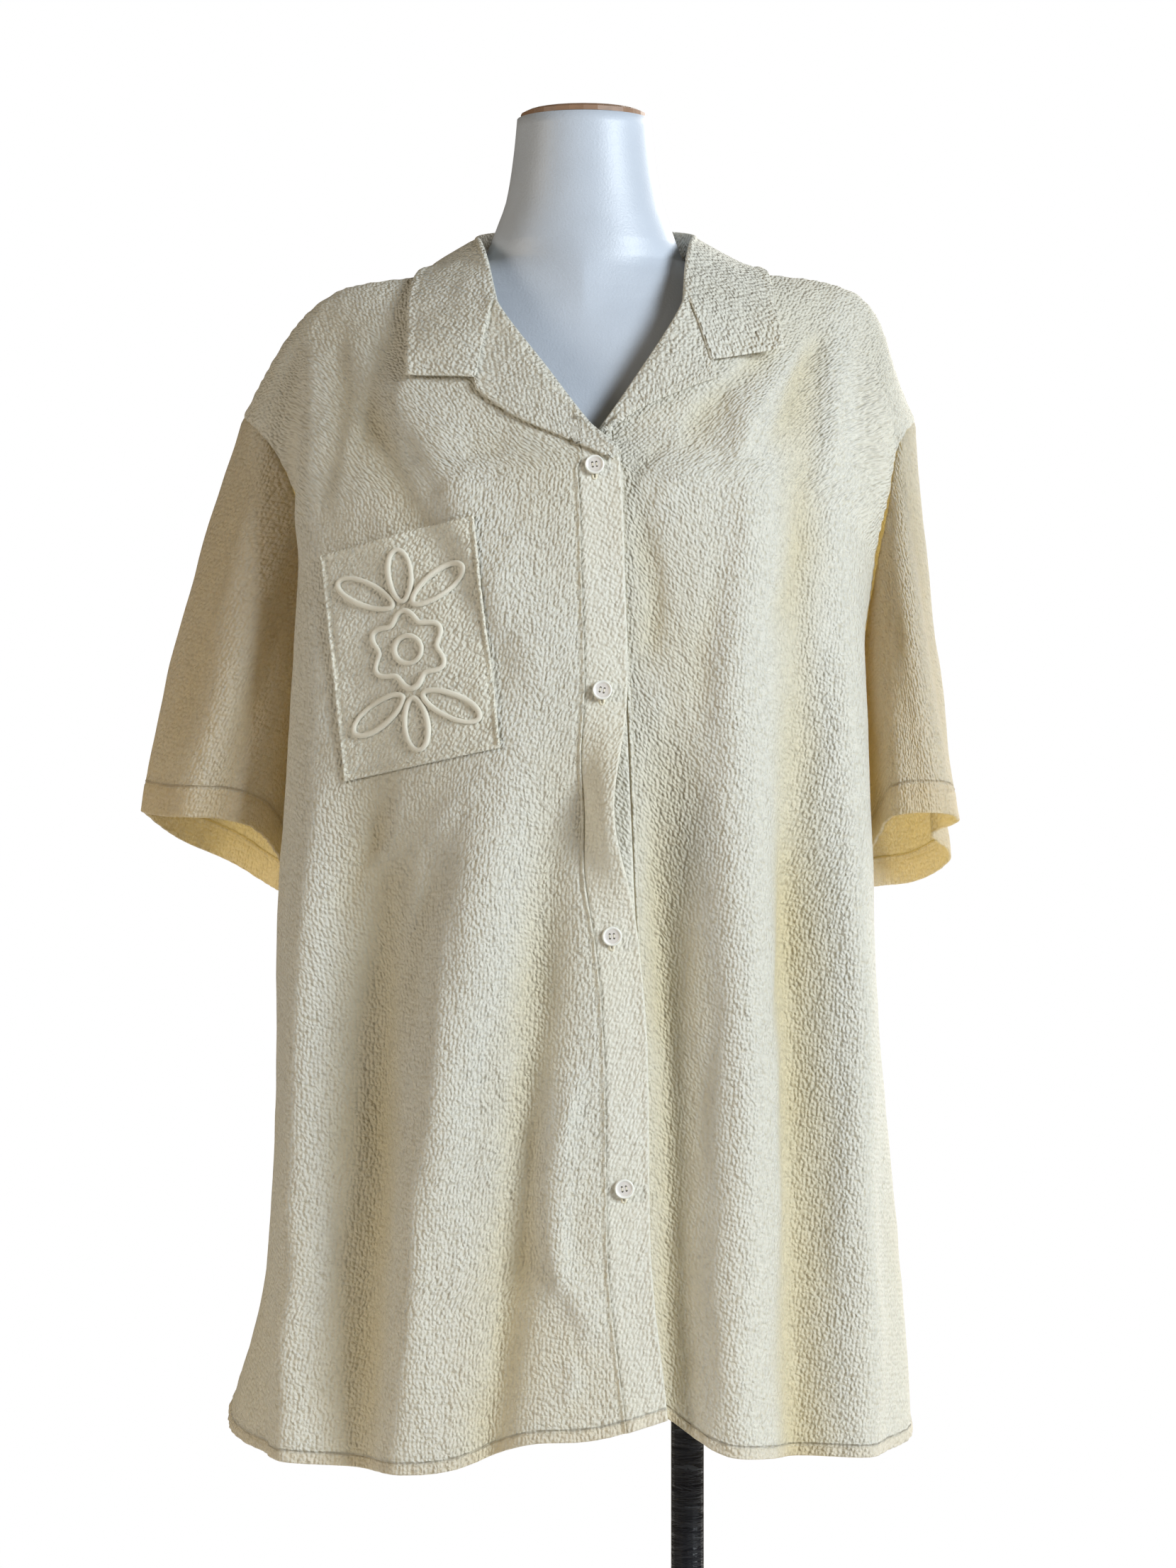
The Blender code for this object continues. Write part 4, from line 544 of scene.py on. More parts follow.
def spline_weights(knots, at):
    """Weights that read, at each value in at, a cubic spline through one value for each knot."""
    knots = np.asarray(knots, float)
    at = np.asarray(at, float)
    count = len(knots)
    step = np.diff(knots)
    system = np.eye(count)
    right = np.zeros((count, count))
    for i in range(1, count - 1):
        system[i, i - 1 : i + 2] = step[i - 1], 2 * (step[i - 1] + step[i]), step[i]
        right[i, i - 1 : i + 2] = 6 / step[i - 1], -6 / step[i - 1] - 6 / step[i], 6 / step[i]
    bend = np.linalg.solve(system, right)
    k = np.clip(np.searchsorted(knots, at, side="right") - 1, 0, count - 2)
    a = ((knots[k + 1] - at) / step[k])[:, None]
    b = 1 - a
    unit = np.eye(count)
    curved = (a**3 - a) * bend[k] + (b**3 - b) * bend[k + 1]
    return a * unit[k] + b * unit[k + 1] + curved * (step[k] ** 2)[:, None] / 6


def level_list():
    """Levels of the rows of points, the same on the fronts and the back so that their seams meet."""
    levels = list(HEM_ROWS) + [ROW_SPANS[0][0]]
    for low, high, spans in ROW_SPANS:
        levels += list(np.linspace(low, high, spans + 1)[1:])
    return np.array(levels)


def unit_rows(vectors):
    return vectors / np.maximum(np.linalg.norm(vectors, axis=-1, keepdims=True), 1e-9)


def slopes(points, axis):
    """Change along one axis of a grid by distance, so uneven rows give no kinks."""
    lines = points if axis == 0 else points.swapaxes(0, 1)
    run = lengths(lines)
    found = np.empty_like(lines)
    found[1:-1] = (lines[2:] - lines[:-2]) / np.maximum(run[2:] - run[:-2], 1e-9)[..., None]
    before = (lines[1:-1] - lines[:-2]) / np.maximum(run[1:-1] - run[:-2], 1e-9)[..., None]
    after = (lines[2:] - lines[1:-1]) / np.maximum(run[2:] - run[1:-1], 1e-9)[..., None]
    share = ((run[1:-1] - run[:-2]) / np.maximum(run[2:] - run[:-2], 1e-9))[..., None]
    found[1:-1] = before * (1 - share) + after * share
    found[0], found[-1] = lines[1] - lines[0], lines[-1] - lines[-2]
    return unit_rows(found if axis == 0 else found.swapaxes(0, 1))


def lengths(lines):
    """Distance from the first row of a grid to each row, down every column."""
    steps = np.linalg.norm(np.diff(lines[..., :3], axis=0), axis=-1)
    return np.concatenate([np.zeros((1,) + steps.shape[1:]), np.cumsum(steps, axis=0)])


def grid_normals(points, outward):
    """Normals of a grid of points, all turned to the side that outward points to."""
    normals = unit_rows(np.cross(slopes(points, 0), slopes(points, 1)))
    middle = normals[points.shape[0] // 2, points.shape[1] // 2]
    return normals * (1.0 if middle @ np.asarray(outward) > 0 else -1.0)


def seam_normals(line, outward):
    """Normals that two panels share along a seam that runs in the plane of the sides."""
    normals = unit_rows(np.cross(np.gradient(line, axis=0), (0.0, 1.0, 0.0)))
    return normals * (1.0 if normals[len(line) // 2] @ np.asarray(outward) > 0 else -1.0)


def ease(t):
    t = np.clip(t, 0.0, 1.0)
    return t * t * (3 - 2 * t)


def bell(distance, width):
    return np.exp(-((distance / width) ** 2))


def soft_noise(points, size, seed):
    """Smooth random values from -1 to 1 that change over a distance of about size, the same each run."""
    table = np.random.default_rng(seed).uniform(-1, 1, (32, 32, 32))
    at = points / np.asarray(size)
    low = np.floor(at).astype(int)
    t = at - low
    t = t * t * (3 - 2 * t)
    total = np.zeros(points.shape[:-1])
    for corner in np.ndindex(2, 2, 2):
        step = np.array(corner)
        place = (low + step) % 32
        share = np.prod(np.where(step, t, 1 - t), axis=-1)
        total += share * table[place[..., 0], place[..., 1], place[..., 2]]
    return total


def rumple(points):
    """The cloth's own unevenness, which neighbouring pieces share."""
    size = settings().cloth
    large = size.rumple * soft_noise(points, (0.030, 0.030, 0.055), 11)
    small = 0.42 * size.rumple * soft_noise(points, (0.011, 0.011, 0.019), 12)
    return large + small


def fold_heights(points, folds):
    """How far the folds move each point of a grid out."""
    x, z = points[..., 0], points[..., 2]
    total = np.zeros(x.shape)
    for fold in folds:
        down = (fold.top_z - z) / (fold.top_z - fold.foot_z)
        line = fold.top_x + (fold.foot_x - fold.top_x) * np.clip(down, 0.0, 1.2)
        total += fold.height * bell(x - line, fold.width) * ease((fold.top_z - z) / FOLD_FULL_AFTER)
    return total


def crease_heights(across, up, creases):
    """How far soft creases move each point out; across and up are places in the creases' plane."""
    total = np.zeros(across.shape)
    for number, (x, z, to_x, to_z, width, height) in enumerate(creases):
        run_x, run_z = to_x - x, to_z - z
        reach = math.hypot(run_x, run_z)
        along = ((across - x) * run_x + (up - z) * run_z) / reach**2
        sway = 0.35 * width * np.sin(5.1 * along + 1.7 * number)
        aside = ((across - x) * run_z - (up - z) * run_x) / reach + sway
        ends = ease((along + 0.28) / 0.5) * ease((1.28 - along) / 0.5)
        lean = 1 + 0.35 * np.tanh(aside / width) * (1 if number % 2 else -1)
        total += height * bell(aside / lean, width) * ends
    return total


def wave_hem(rows, levels, waves):
    """Lifts the hem in waves that die out a little way up."""
    for wave in waves:
        near = bell(rows[..., 0] - wave.x, wave.width)
        rows[..., 2] += wave.lift * (1 - ease(levels / HEM_REACH))[:, None] * near


def arc_lengths(rows):
    return lengths(rows.swapaxes(0, 1)).swapaxes(0, 1)


def laid_flat(grid):
    """Along and down for a grid's points laid flat: each step down also slides along its row."""
    steps = np.diff(grid, axis=0)
    across = unit_rows(slopes(grid, 1))
    across = unit_rows(across[1:] + across[:-1])
    slide = (steps * across).sum(axis=-1)
    fall = np.sqrt(np.maximum((steps ** 2).sum(axis=-1) - slide ** 2, 0))
    first = np.zeros((1, grid.shape[1]))
    along = arc_lengths(grid[:1]) + np.concatenate([first, np.cumsum(slide, axis=0)])
    return np.stack([along, np.concatenate([first, np.cumsum(fall, axis=0)])], axis=-1)


def read_rows(rows, runs):
    """Values of dense rows at the given arc lengths along each row."""
    found = arc_lengths(rows)
    return np.array(
        [
            np.stack([np.interp(runs[i], found[i], rows[i, :, c]) for c in range(rows.shape[2])], axis=1)
            for i in range(len(rows))
        ]
    )


def front_guides(sections, levels, side):
    """Guide points of a front at each level; side is -1 for the right front."""
    rows = []
    for s in sections:
        flank_z = (s.ridge_z + s.side_z) / 2
        rows.append(
            [side * s.edge_x, s.edge_y, s.edge_z]
            + [side * s.mid_x, s.mid_y, s.mid_z]
            + [side * s.ridge_x, s.ridge_y, s.ridge_z]
            + [side * s.flank_x, s.flank_y, flank_z]
            + [side * s.side_x, s.side_y, s.side_z]
        )
    found = through_rows([s.level for s in sections], np.array(rows), levels)
    return found.reshape(len(levels), 5, 3)


def gape(rows):
    """The top front's edge drawn back and standing off between the second and third buttons."""
    run = arc_lengths(rows)
    near = bell(rows[..., 2] - GAPE_HEIGHT, GAPE_REACH)
    edge = ease(1 - run / (1.35 * BAND_WIDTH))
    rows[..., 0] -= GAPE_PULL * near * edge
    rows[..., 1] -= GAPE_LIFT * near * edge


def band_width(levels):
    """The band is even up to the break, and narrows to nothing where its seam meets the roll line."""
    share = (BAND_END_LEVEL - levels) / (BAND_END_LEVEL - BREAK_LEVEL)
    return BAND_WIDTH * np.clip(share, 0.0, 1.0)


def seam_dip(away, along):
    """Relief beside a plain seam: a narrow dip with small puckers."""
    pucker = np.sin(along / 0.0016 + 2.0 * np.sin(along / 0.0071)) * bell(away, 0.009)
    return -0.0007 * bell(away, 0.0016) + 0.00035 * pucker


def raised_seam(away, along):
    """Relief beside an edge-stitched seam: a narrow ridge, then a stitched groove with small puckers."""
    pucker = np.sin(along / 0.0013 + 1.6 * np.sin(along / 0.0062)) * bell(away - 0.0045, 0.003)
    return 0.0008 * bell(away - 0.0008, 0.0009) - 0.0006 * bell(away - 0.0028, 0.0009) + 0.00007 * pucker


def hem_relief(up, along, depth):
    """Relief of a turned and stitched hem of that depth: a second layer, a stitched groove and puckers."""
    layer = 0.0005 * ease((depth + 0.0012 - up) / 0.0012)
    groove = -0.0007 * bell(up - (depth - 0.0012), 0.0009)
    wave = np.sin(along / 0.0017 + 2.2 * np.sin(along / 0.0083))
    return layer + groove + wave * (0.00042 * bell(up - depth, 0.006) + 0.00045 * bell(up, 0.005))


class FrontSurface:
    """One front with its band: rows of points, normals and fold heights at the shared levels."""

    def __init__(self, sections, folds, creases, waves, side, top_layer):
        self.sections, self.folds, self.creases, self.waves = sections, folds, creases, waves
        self.side, self.top_layer = side, top_layer
        self.levels = level_list()
        self.rows = self.at_levels(self.levels)
        total = arc_lengths(self.rows)[:, -1:]
        start = band_width(self.levels)[:, None]
        edge = np.array(EDGE_COLUMNS)
        inner = np.linspace(0, 1, FRONT_SPANS + 1)[1:-1]
        width = total - start - 2 * edge[-1]
        runs = np.concatenate([start + edge, start + edge[-1] + width * inner, total - edge[::-1]], axis=1)
        found = read_rows(self.rows, runs)
        self.points, self.normals, self.height = found[..., :3], unit_rows(found[..., 3:6]), found[..., 6]
        self.top_knots = runs[-1] / total[-1]
        up = lengths(self.points)
        self.uv = np.stack([side * runs, up], axis=-1)
        self.relief(runs - start, total - runs, up, runs, start / BAND_WIDTH)

    def relief(self, from_band, from_side, up, runs, has_band):
        """Moves the points by the rumple and by the relief of the seams and the hem."""
        self.share_seam_normals()
        low = self.levels[:, None] <= UNDERARM_LEVEL
        from_top = up[-1:] - up
        height = rumple(self.points)
        height += raised_seam(from_band, up) * has_band
        height += seam_dip(from_side, up) + seam_dip(from_top, runs) * np.ones_like(low)
        height += hem_relief(up, runs, settings().cloth.hem)
        self.points = self.points + self.normals * height[..., None]
        self.normals = grid_normals(self.points, (0, -1, 0))
        self.share_seam_normals()

    def at_levels(self, levels):
        """Dense rows on the outer face, from the centre edge to the side: point, normal, fold height."""
        guides = front_guides(self.sections, levels, self.side)
        weights = spline_weights(FRONT_KNOTS, np.linspace(0, 1, DENSE))
        rows = np.einsum("kg,lgc->lkc", weights, guides)
        normals = grid_normals(rows, (0, -1, 0))
        run = arc_lengths(rows)
        away = ease((run - 0.6 * BAND_WIDTH) / BAND_WIDTH) * ease((run[:, -1:] - run) / 0.05)
        folds = fold_heights(rows, self.folds) * away
        top = ease((1 - levels) / 0.04)[:, None]
        creases = crease_heights(rows[..., 0], rows[..., 2], self.creases) * away * top
        rows = rows + normals * folds[..., None]
        wave_hem(rows, levels, self.waves)
        if self.top_layer:
            gape(rows)
        rows = rows + grid_normals(rows, (0, -1, 0)) * creases[..., None]
        # The fold height, with creases counted twice, is kept for the painted shade deep in the folds
        height = (folds + 2 * creases)[..., None]
        return np.concatenate([rows, grid_normals(rows, (0, -1, 0)), height], axis=2)

    def share_seam_normals(self):
        """Turns the normals on the shoulder seam and the side seam the way the back's are turned."""
        self.normals[-1] = seam_normals(self.points[-1], (self.side, 0, 1))
        low = self.levels <= UNDERARM_LEVEL
        self.normals[low, -1] = seam_normals(self.points[low, -1], (self.side, 0, 0))

    def band(self):
        """Points, normals, fold heights and UVs of the band."""
        levels = self.levels[self.levels < BAND_END_LEVEL - 0.003]
        runs = band_width(levels)[:, None] * np.array(BAND_COLUMNS)
        found = read_rows(self.rows[: len(levels)], runs)
        points, normals = found[..., :3], unit_rows(found[..., 3:6])
        up = lengths(points)
        from_seam = runs[:, -1:] - runs
        height = rumple(points) - 0.0007 * bell(from_seam, 0.0011) + 0.0006 * bell(runs - 0.0010, 0.0011)
        height += hem_relief(up, runs, settings().cloth.hem)
        height += 0.00025 * np.sin(up / 0.0021 + 2 * np.sin(up / 0.011)) * bell(runs, 0.004)
        points = points + normals * height[..., None]
        uv = np.stack([self.side * runs, up], axis=-1)
        return points, grid_normals(points, (0, -1, 0)), found[..., 6], uv


def back_side_points(sections, levels, side):
    """The back's side edge: the side seam below the armhole, then the armhole's back half."""
    edge = front_guides(sections, levels, side)[:, 4].copy()
    up = levels >= UNDERARM_LEVEL
    ends = front_guides(sections, np.array([UNDERARM_LEVEL, 1.0]), side)[:, 4]
    share = (edge[up, 2] - ends[0, 2]) / (ends[1, 2] - ends[0, 2])
    line = ends[0, 1] + (ends[1, 1] - ends[0, 1]) * share
    edge[up, 1] = line + ARMHOLE_BACK_BULGE * (line - edge[up, 1])
    return edge


def back_half_guides(levels, sections, side):
    """Guide points of half the back at each level, its top on the front's shoulder seam."""
    rows = []
    top = sections[-1]
    for s in BACK:
        at_top = s.level == 1.0
        inner_z = top.edge_z if at_top else s.centre_z + (s.ridge_z - s.centre_z) * 0.25
        mid_z = top.mid_z if at_top else s.centre_z + (s.ridge_z - s.centre_z) * 0.6
        rows.append(
            [0.0, s.centre_y, s.centre_z]
            + [side * (top.edge_x if at_top else s.inner_x), s.inner_y, inner_z]
            + [side * (top.mid_x if at_top else s.mid_x), s.mid_y, mid_z]
            + [side * (top.ridge_x if at_top else s.ridge_x), s.ridge_y, s.ridge_z]
        )
    guides = through_rows([s.level for s in BACK], np.array(rows), levels).reshape(-1, 4, 3)
    side_points = back_side_points(sections, levels, side)
    flank = (guides[:, 3] + side_points) / 2
    flank[:, 0] += side * 0.006 * (1 - ease((levels - 0.5) / 0.1))
    return np.concatenate([guides, flank[:, None], side_points[:, None]], axis=1)


def back_surface(right, left):
    """The back: points, normals, fold heights and UVs, its seams on the fronts' seams."""
    levels = right.levels
    neck = BACK_KNOTS[1]
    on_right = -np.interp(right.top_knots[::2], FRONT_KNOTS, BACK_KNOTS[1:])[::-1]
    on_left = np.interp(left.top_knots[::2], FRONT_KNOTS, BACK_KNOTS[1:])
    columns = np.concatenate([on_right, np.linspace(-neck, neck, 2 * NECK_SPANS + 1)[1:-1], on_left])
    count = len(on_right)
    right_guides = back_half_guides(levels, RIGHT_FRONT, -1)[:, ::-1]
    guides = np.concatenate([right_guides, back_half_guides(levels, LEFT_FRONT, 1)[:, 1:]], axis=1)
    knots = np.concatenate([-np.array(BACK_KNOTS)[::-1], BACK_KNOTS[1:]])
    points = np.einsum("kg,lgc->lkc", spline_weights(knots, columns), guides)
    ends = []
    for surface in (right, left):
        shoulder = surface.rows[-1:, :, :3]
        runs = surface.top_knots[::2] * arc_lengths(shoulder)[0, -1]
        ends.append(read_rows(shoulder, runs[None])[0])
    top = np.concatenate([ends[0][::-1], points[-1, count:-count], ends[1]])
    for index in range(count, len(columns) - count):
        edge = ends[1 if columns[index] > 0 else 0][0]
        turn = abs(columns[index]) / neck
        centre = BACK[-1]
        top[index] = (
            edge[0] * math.sin(turn * math.pi / 2),
            centre.centre_y * math.cos(turn * math.pi / 2),
            centre.centre_z + (edge[2] - centre.centre_z) * turn**2,
        )
    points += ease((levels - 0.86) / 0.14)[:, None, None] * (top - points[-1])
    normals = grid_normals(points, (0, 1, 0))
    sideways = ease((1 - np.abs(columns)) / 0.2) * ease((1 - levels) / 0.1)[:, None]
    folds = fold_heights(points, BACK_FOLDS) * sideways
    points = points + normals * folds[..., None]
    creases = crease_heights(points[..., 0], points[..., 2], BACK_CREASES) * sideways
    edge_line = points.copy()
    up, across = lengths(points), arc_lengths(points)
    normals = grid_normals(points, (0, 1, 0))
    low = levels <= UNDERARM_LEVEL
    normals[-1, :count] = seam_normals(ends[0], (-1, 0, 1))[::-1]
    normals[-1, -count:] = seam_normals(ends[1], (1, 0, 1))
    normals[low, 0] = seam_normals(points[low, 0], (-1, 0, 0))
    normals[low, -1] = seam_normals(points[low, -1], (1, 0, 0))
    height = rumple(points) + creases
    height += seam_dip(across, up) + seam_dip(across[:, -1:] - across, up)
    height += seam_dip(up[-1:] - up, across) + hem_relief(up, across, settings().cloth.hem)
    points = points + normals * height[..., None]
    turned = grid_normals(points, (0, 1, 0))
    turned[-1, :count], turned[-1, -count:] = normals[-1, :count], normals[-1, -count:]
    turned[low, 0], turned[low, -1] = normals[low, 0], normals[low, -1]
    return points, turned, folds + 2 * creases, np.stack([across, up], axis=-1), edge_line


def armhole_ring(front, back_side):
    """The armhole's points, from its top down the front half to the underarm and up the back half."""
    up = front.levels >= UNDERARM_LEVEL
    ahead = front.rows[up, -1, :3]
    return np.concatenate([ahead[::-1], back_side[up][1:-1]])


def ring_shares(front):
    """The share round the armhole of each of its points."""
    up = front.levels[front.levels >= UNDERARM_LEVEL]
    down = 0.5 * (1 - up[::-1]) / (1 - UNDERARM_LEVEL)
    return np.concatenate([down, 1 - down[::-1][1:-1]])


def cuff_ring(cuff, side, shares):
    """The sleeve's hem, a closed smooth curve through its eight points."""
    places = [r.share for r in cuff]
    knots = [p - 1 for p in places] + places + [p + 1 for p in places]
    guides = np.array([[side * r.x, r.y, r.z] for r in cuff] * 3)
    return spline_weights(knots, shares) @ guides


def ring_normals(points, side):
    """Outward normals of a sleeve, whose last column is its first."""
    wrapped = np.concatenate([points[:, -2:-1], points, points[:, 1:2]], axis=1)
    normals = grid_normals(wrapped, (0, 0, 0))[:, 1:-1]
    return -normals if normals[SLEEVE_ROWS // 2, 0] @ np.array((side, 0, 0)) < 0 else normals


def sleeve_surface(front, back_side, cuff, bow, pleat, creases):
    """A sleeve from the armhole to the hem; bow rounds its outer side and pleat presses a fold into it."""
    side = front.side
    ring, shares = armhole_ring(front, back_side)[::2], ring_shares(front)[::2]
    ring, shares = np.concatenate([ring, ring[:1]]), np.append(shares, 1.0)
    low = cuff_ring(cuff, side, shares)
    steps = np.linspace(0, 1, SLEEVE_ROWS + 1)
    s = steps[:, None, None]
    points = ring[None] * (1 - s) + low[None] * s
    middle = points[:, :-1].mean(axis=1, keepdims=True)
    away = unit_rows((points - middle) * np.array((1.0, 1.0, 0.0)))
    belly = SLEEVE_BELLY * np.sin(math.pi * steps)[:, None] * np.clip(np.sin(2 * math.pi * shares), 0, 1)
    turn = (shares + 0.5) % 1.0 - 0.5
    dent = pleat * steps[:, None] ** 1.5 * bell(turn + 0.02, 0.045)[None, :]
    out = bow * np.sin(math.pi * steps)[:, None] * np.clip(np.cos(2 * math.pi * shares), 0, 1)
    points = points + away * (belly + out - dent)[..., None]
    inward = bell(shares - 0.42, 0.17)
    points[..., 0] += side * SLEEVE_CLEAR * np.sin(math.pi * steps)[:, None] ** 0.6 * inward
    girth = float(arc_lengths(low[None])[0, -1])
    width = settings().cloth.cuff_hem
    line = width + np.array(ROWS_BY_SLEEVE_STITCH)
    columns = points[::-1].swapaxes(0, 1)
    total = arc_lengths(columns)[:, -1:]
    hem_rows = np.concatenate([SLEEVE_HEM_ROWS, line])
    rest = line[-1] + (total - line[-1]) * np.linspace(0, 1, SLEEVE_ROWS - len(hem_rows))[1:]
    runs = np.concatenate([np.tile(hem_rows, (len(total), 1)), rest], axis=1)
    points = read_rows(columns, runs).swapaxes(0, 1)
    up = runs.T
    round_it = np.broadcast_to(shares * girth, up.shape)
    down = 1 - up / total.T
    soft = np.zeros(up.shape)
    for shift in (-1.0, 0.0, 1.0):
        soft += sleeve_creases(shares[None] + shift, down, creases, girth)
    soft *= ease(down / 0.12)
    height = soft + rumple(points) + seam_dip(total.T - up, round_it)
    height += hem_relief(up, round_it, width) + seam_dip((shares[None] - 0.5) * girth, up)
    points = points + ring_normals(points, side) * height[..., None]
    return points, ring_normals(points, side), 2 * soft, np.stack([round_it, up], axis=-1), up


def sleeve_creases(turns, down, creases, girth):
    """Creases laid out by the share round the sleeve and the share down it."""
    heights = np.zeros(down.shape)
    for number, c in enumerate(creases):
        along = (down - c.down) / (c.to_down - c.down)
        line = c.turn + (c.to_turn - c.turn) * np.clip(along, -0.2, 1.2)
        aside = (turns - line + 0.004 * np.sin(6 * along + number)) * girth
        ends = ease((along + 0.2) / 0.4) * ease((1.35 - along) / 0.4)
        heights += c.height * bell(aside, c.width) * ends
    return heights


def surface_tree(*grids):
    """A search tree over the outer faces of some panels."""
    vertices, faces = [], []
    for grid in grids:
        rows, columns = grid.shape[:2]
        index = np.arange(rows * columns).reshape(rows, columns) + len(vertices)
        a, b, c, d = index[:-1, :-1], index[:-1, 1:], index[1:, 1:], index[1:, :-1]
        faces += np.stack([a, b, c, d], axis=-1).reshape(-1, 4).tolist()
        vertices += grid.reshape(-1, 3).tolist()
    return BVHTree.FromPolygons(vertices, faces)


# Where the rays start that look for the panels from inside the shirt
DOME_CENTRE = Vector((0.0, 0.0, 1.270))


def lifted(points, tree, lift):
    """Points moved out, where they need it, to lie at least lift above the panels."""
    moved = np.array(points, float)
    for index in np.ndindex(moved.shape[:-1]):
        ray = Vector(moved[index]) - DOME_CENTRE
        hit = tree.ray_cast(DOME_CENTRE, ray.normalized())
        if hit[0] is not None and ray.length < hit[3] + lift:
            moved[index] = DOME_CENTRE + ray.normalized() * (hit[3] + lift)
    return moved


def smoothed(grid, times):
    """A grid with small kinks evened out; its border stays."""
    grid = grid.copy()
    for _ in range(times):
        inner = (grid[:-2, 1:-1] + grid[2:, 1:-1] + grid[1:-1, :-2] + grid[1:-1, 2:]) / 4
        grid[1:-1, 1:-1] = (grid[1:-1, 1:-1] + inner) / 2
    return grid


def turned_over(edge, rise, away, stand, fall, thickness):
    """Cloth that stands up from a panel's edge, rolls over and lies back on the panels.

    Gives the seen face and the hidden face: the rows go from the foot of the stand over the
    roll and down the fall.
    """
    across = 2 * thickness + ROLL_SPACE
    straight = (stand - across / 2)[:, None]
    foot = edge + rise * SEAM_LAP - away * thickness
    bend = foot + rise * straight
    centre = bend + away * (across / 2)
    turns = np.linspace(0, math.pi, 11)[1:]
    up = [foot + (bend - foot) * t for t in np.linspace(0, 1, 6)]
    seen = up + [centre + (rise * math.sin(t) - away * math.cos(t)) * (across / 2) for t in turns]
    tight = across / 2 - thickness
    hidden = [p + away * thickness for p in up]
    hidden += [centre + (rise * math.sin(t) - away * math.cos(t)) * tight for t in turns]
    seen = np.concatenate([np.stack(seen), fall])
    normals = grid_normals(seen, (0, 0, 1))
    count = len(up) + len(turns)
    inwards = -1.0 if (normals[count:] * away).sum() > 0 else 1.0
    under = fall + inwards * normals[count:] * thickness
    return seen, np.concatenate([np.stack(hidden), under])


def neck_line(right, left, back):
    """The neck seam from the right end of the collar round to the left end.

    Gives the points, the way the panels run on beyond their edge, and the shares of the collar.
    """
    up = right.levels >= GORGE_LEVEL
    count = len(right.top_knots[::2])
    neck = back[:, count - 1 : back.shape[1] - count + 1]
    rows = [surface.rows[up, :, :3] for surface in (right, left)]
    step = 12
    lines = [rows[0][:, 0], neck[-1, 1:-1], rows[1][:, 0][::-1]]
    beyond = [
        rows[0][:, 0] - rows[0][:, step],
        neck[-1, 1:-1] - neck[-6, 1:-1],
        (rows[1][:, 0] - rows[1][:, step])[::-1],
    ]
    rising = NECK_POINT_SHARE * (right.levels[up] - GORGE_LEVEL) / (1 - GORGE_LEVEL)
    round_back = np.linspace(NECK_POINT_SHARE, 1, NECK_SPANS + 1)[1:]
    shares = np.concatenate([rising, round_back, round_back[::-1][1:], rising[::-1]])
    return np.concatenate(lines), unit_rows(np.concatenate([unit_rows(b) for b in beyond])), shares


def collar_surface(right, left, back, tree):
    """The collar's seen and hidden faces, its UVs and its fall."""
    edge, beyond, shares = neck_line(right, left, back)
    for _ in range(10):
        beyond[1:-1] = unit_rows(beyond[:-2] + 2 * beyond[1:-1] + beyond[2:])
    half = len(shares) // 2
    tables = [np.array([c[1:] for c in table]) for table in (RIGHT_COLLAR, LEFT_COLLAR)]
    weights = spline_weights([c.share for c in RIGHT_COLLAR], shares)
    found = np.concatenate([(weights @ tables[0])[: half + 1], (weights @ tables[1])[half + 1 :]])
    sign = np.where(np.arange(len(shares)) <= half, -1.0, 1.0)[:, None]
    stand, upright = found[:, 0], found[:, 1:2]
    outer = found[:, 2:5] * np.concatenate([sign, np.ones((len(shares), 2))], axis=1)
    tangent = unit_rows(np.gradient(edge, axis=0))
    rise = unit_rows(beyond * (1 - upright) + np.array((0.0, 0.0, 1.0)) * upright)
    rise = unit_rows(rise - tangent * (rise * tangent).sum(axis=1, keepdims=True))
    away = unit_rows(np.cross(tangent, rise))
    away *= np.where((away * (edge * (1, 1, 0) + (0, 0, 0.02))).sum(axis=1, keepdims=True) > 0, 1.0, -1.0)
    thickness = settings().cloth.two_layers
    start = edge + rise * (SEAM_LAP + stand[:, None] - thickness) + away * (thickness + ROLL_SPACE)
    rows = FALL_ROWS[:, None, None]
    fall = start[None] * (1 - rows) + outer[None] * rows
    for end, corner in ((0, RIGHT_NOTCH), (-1, LEFT_NOTCH)):
        reach = np.clip(1 - np.abs(shares - shares[end]) / 0.45, 0, 1) ** 2
        reach = reach * (np.arange(len(shares)) <= half if end == 0 else np.arange(len(shares)) >= half)
        before = start[end] + (np.array(corner) - start[end]) * (rows / NOTCH_ROW)
        after = np.array(corner) + (outer[end] - np.array(corner)) * (rows - NOTCH_ROW) / (1 - NOTCH_ROW)
        path = np.where(rows <= NOTCH_ROW, before, after)
        fall += (path - fall[:, end][:, None]) * reach[None, :, None]
    fall = lifted(fall, tree, COLLAR_LIFT)
    fall = smoothed(np.concatenate([start[None], fall]), 6)[1:]
    fall = lifted(fall, tree, COLLAR_LIFT)
    seen, hidden = turned_over(edge, rise, away, stand, fall, thickness)
    count = len(seen) - len(fall)
    normals = grid_normals(seen, (0, 0, 1))
    if (normals[count:] * away).sum() < 0:
        normals = -normals
    down, along = lengths(seen), arc_lengths(seen)
    from_edge = down[-1:] - down
    on_fall = ease((np.arange(len(seen))[:, None] - count) / 3.0)
    ends = np.minimum(along, along[:, -1:] - along)
    notch = np.concatenate([np.zeros(count), FALL_ROWS])[:, None]
    height = 0.9 * rumple(seen) * on_fall
    height += on_fall * 0.0005 * bell(from_edge - 0.0030, 0.0020)
    height -= on_fall * 0.0004 * bell(from_edge - 0.0062, 0.0016)
    gorge = np.where(notch <= NOTCH_ROW + 0.01, 1.0, 0.0)
    gorge_ridge = gorge * 0.0012 * bell(ends - 0.0012, 0.0013)
    height += on_fall * (gorge_ridge + (1 - gorge) * 0.0005 * bell(ends - 0.003, 0.002))
    move = normals * height[..., None]
    return seen + move, hidden + move, laid_flat(seen), fall


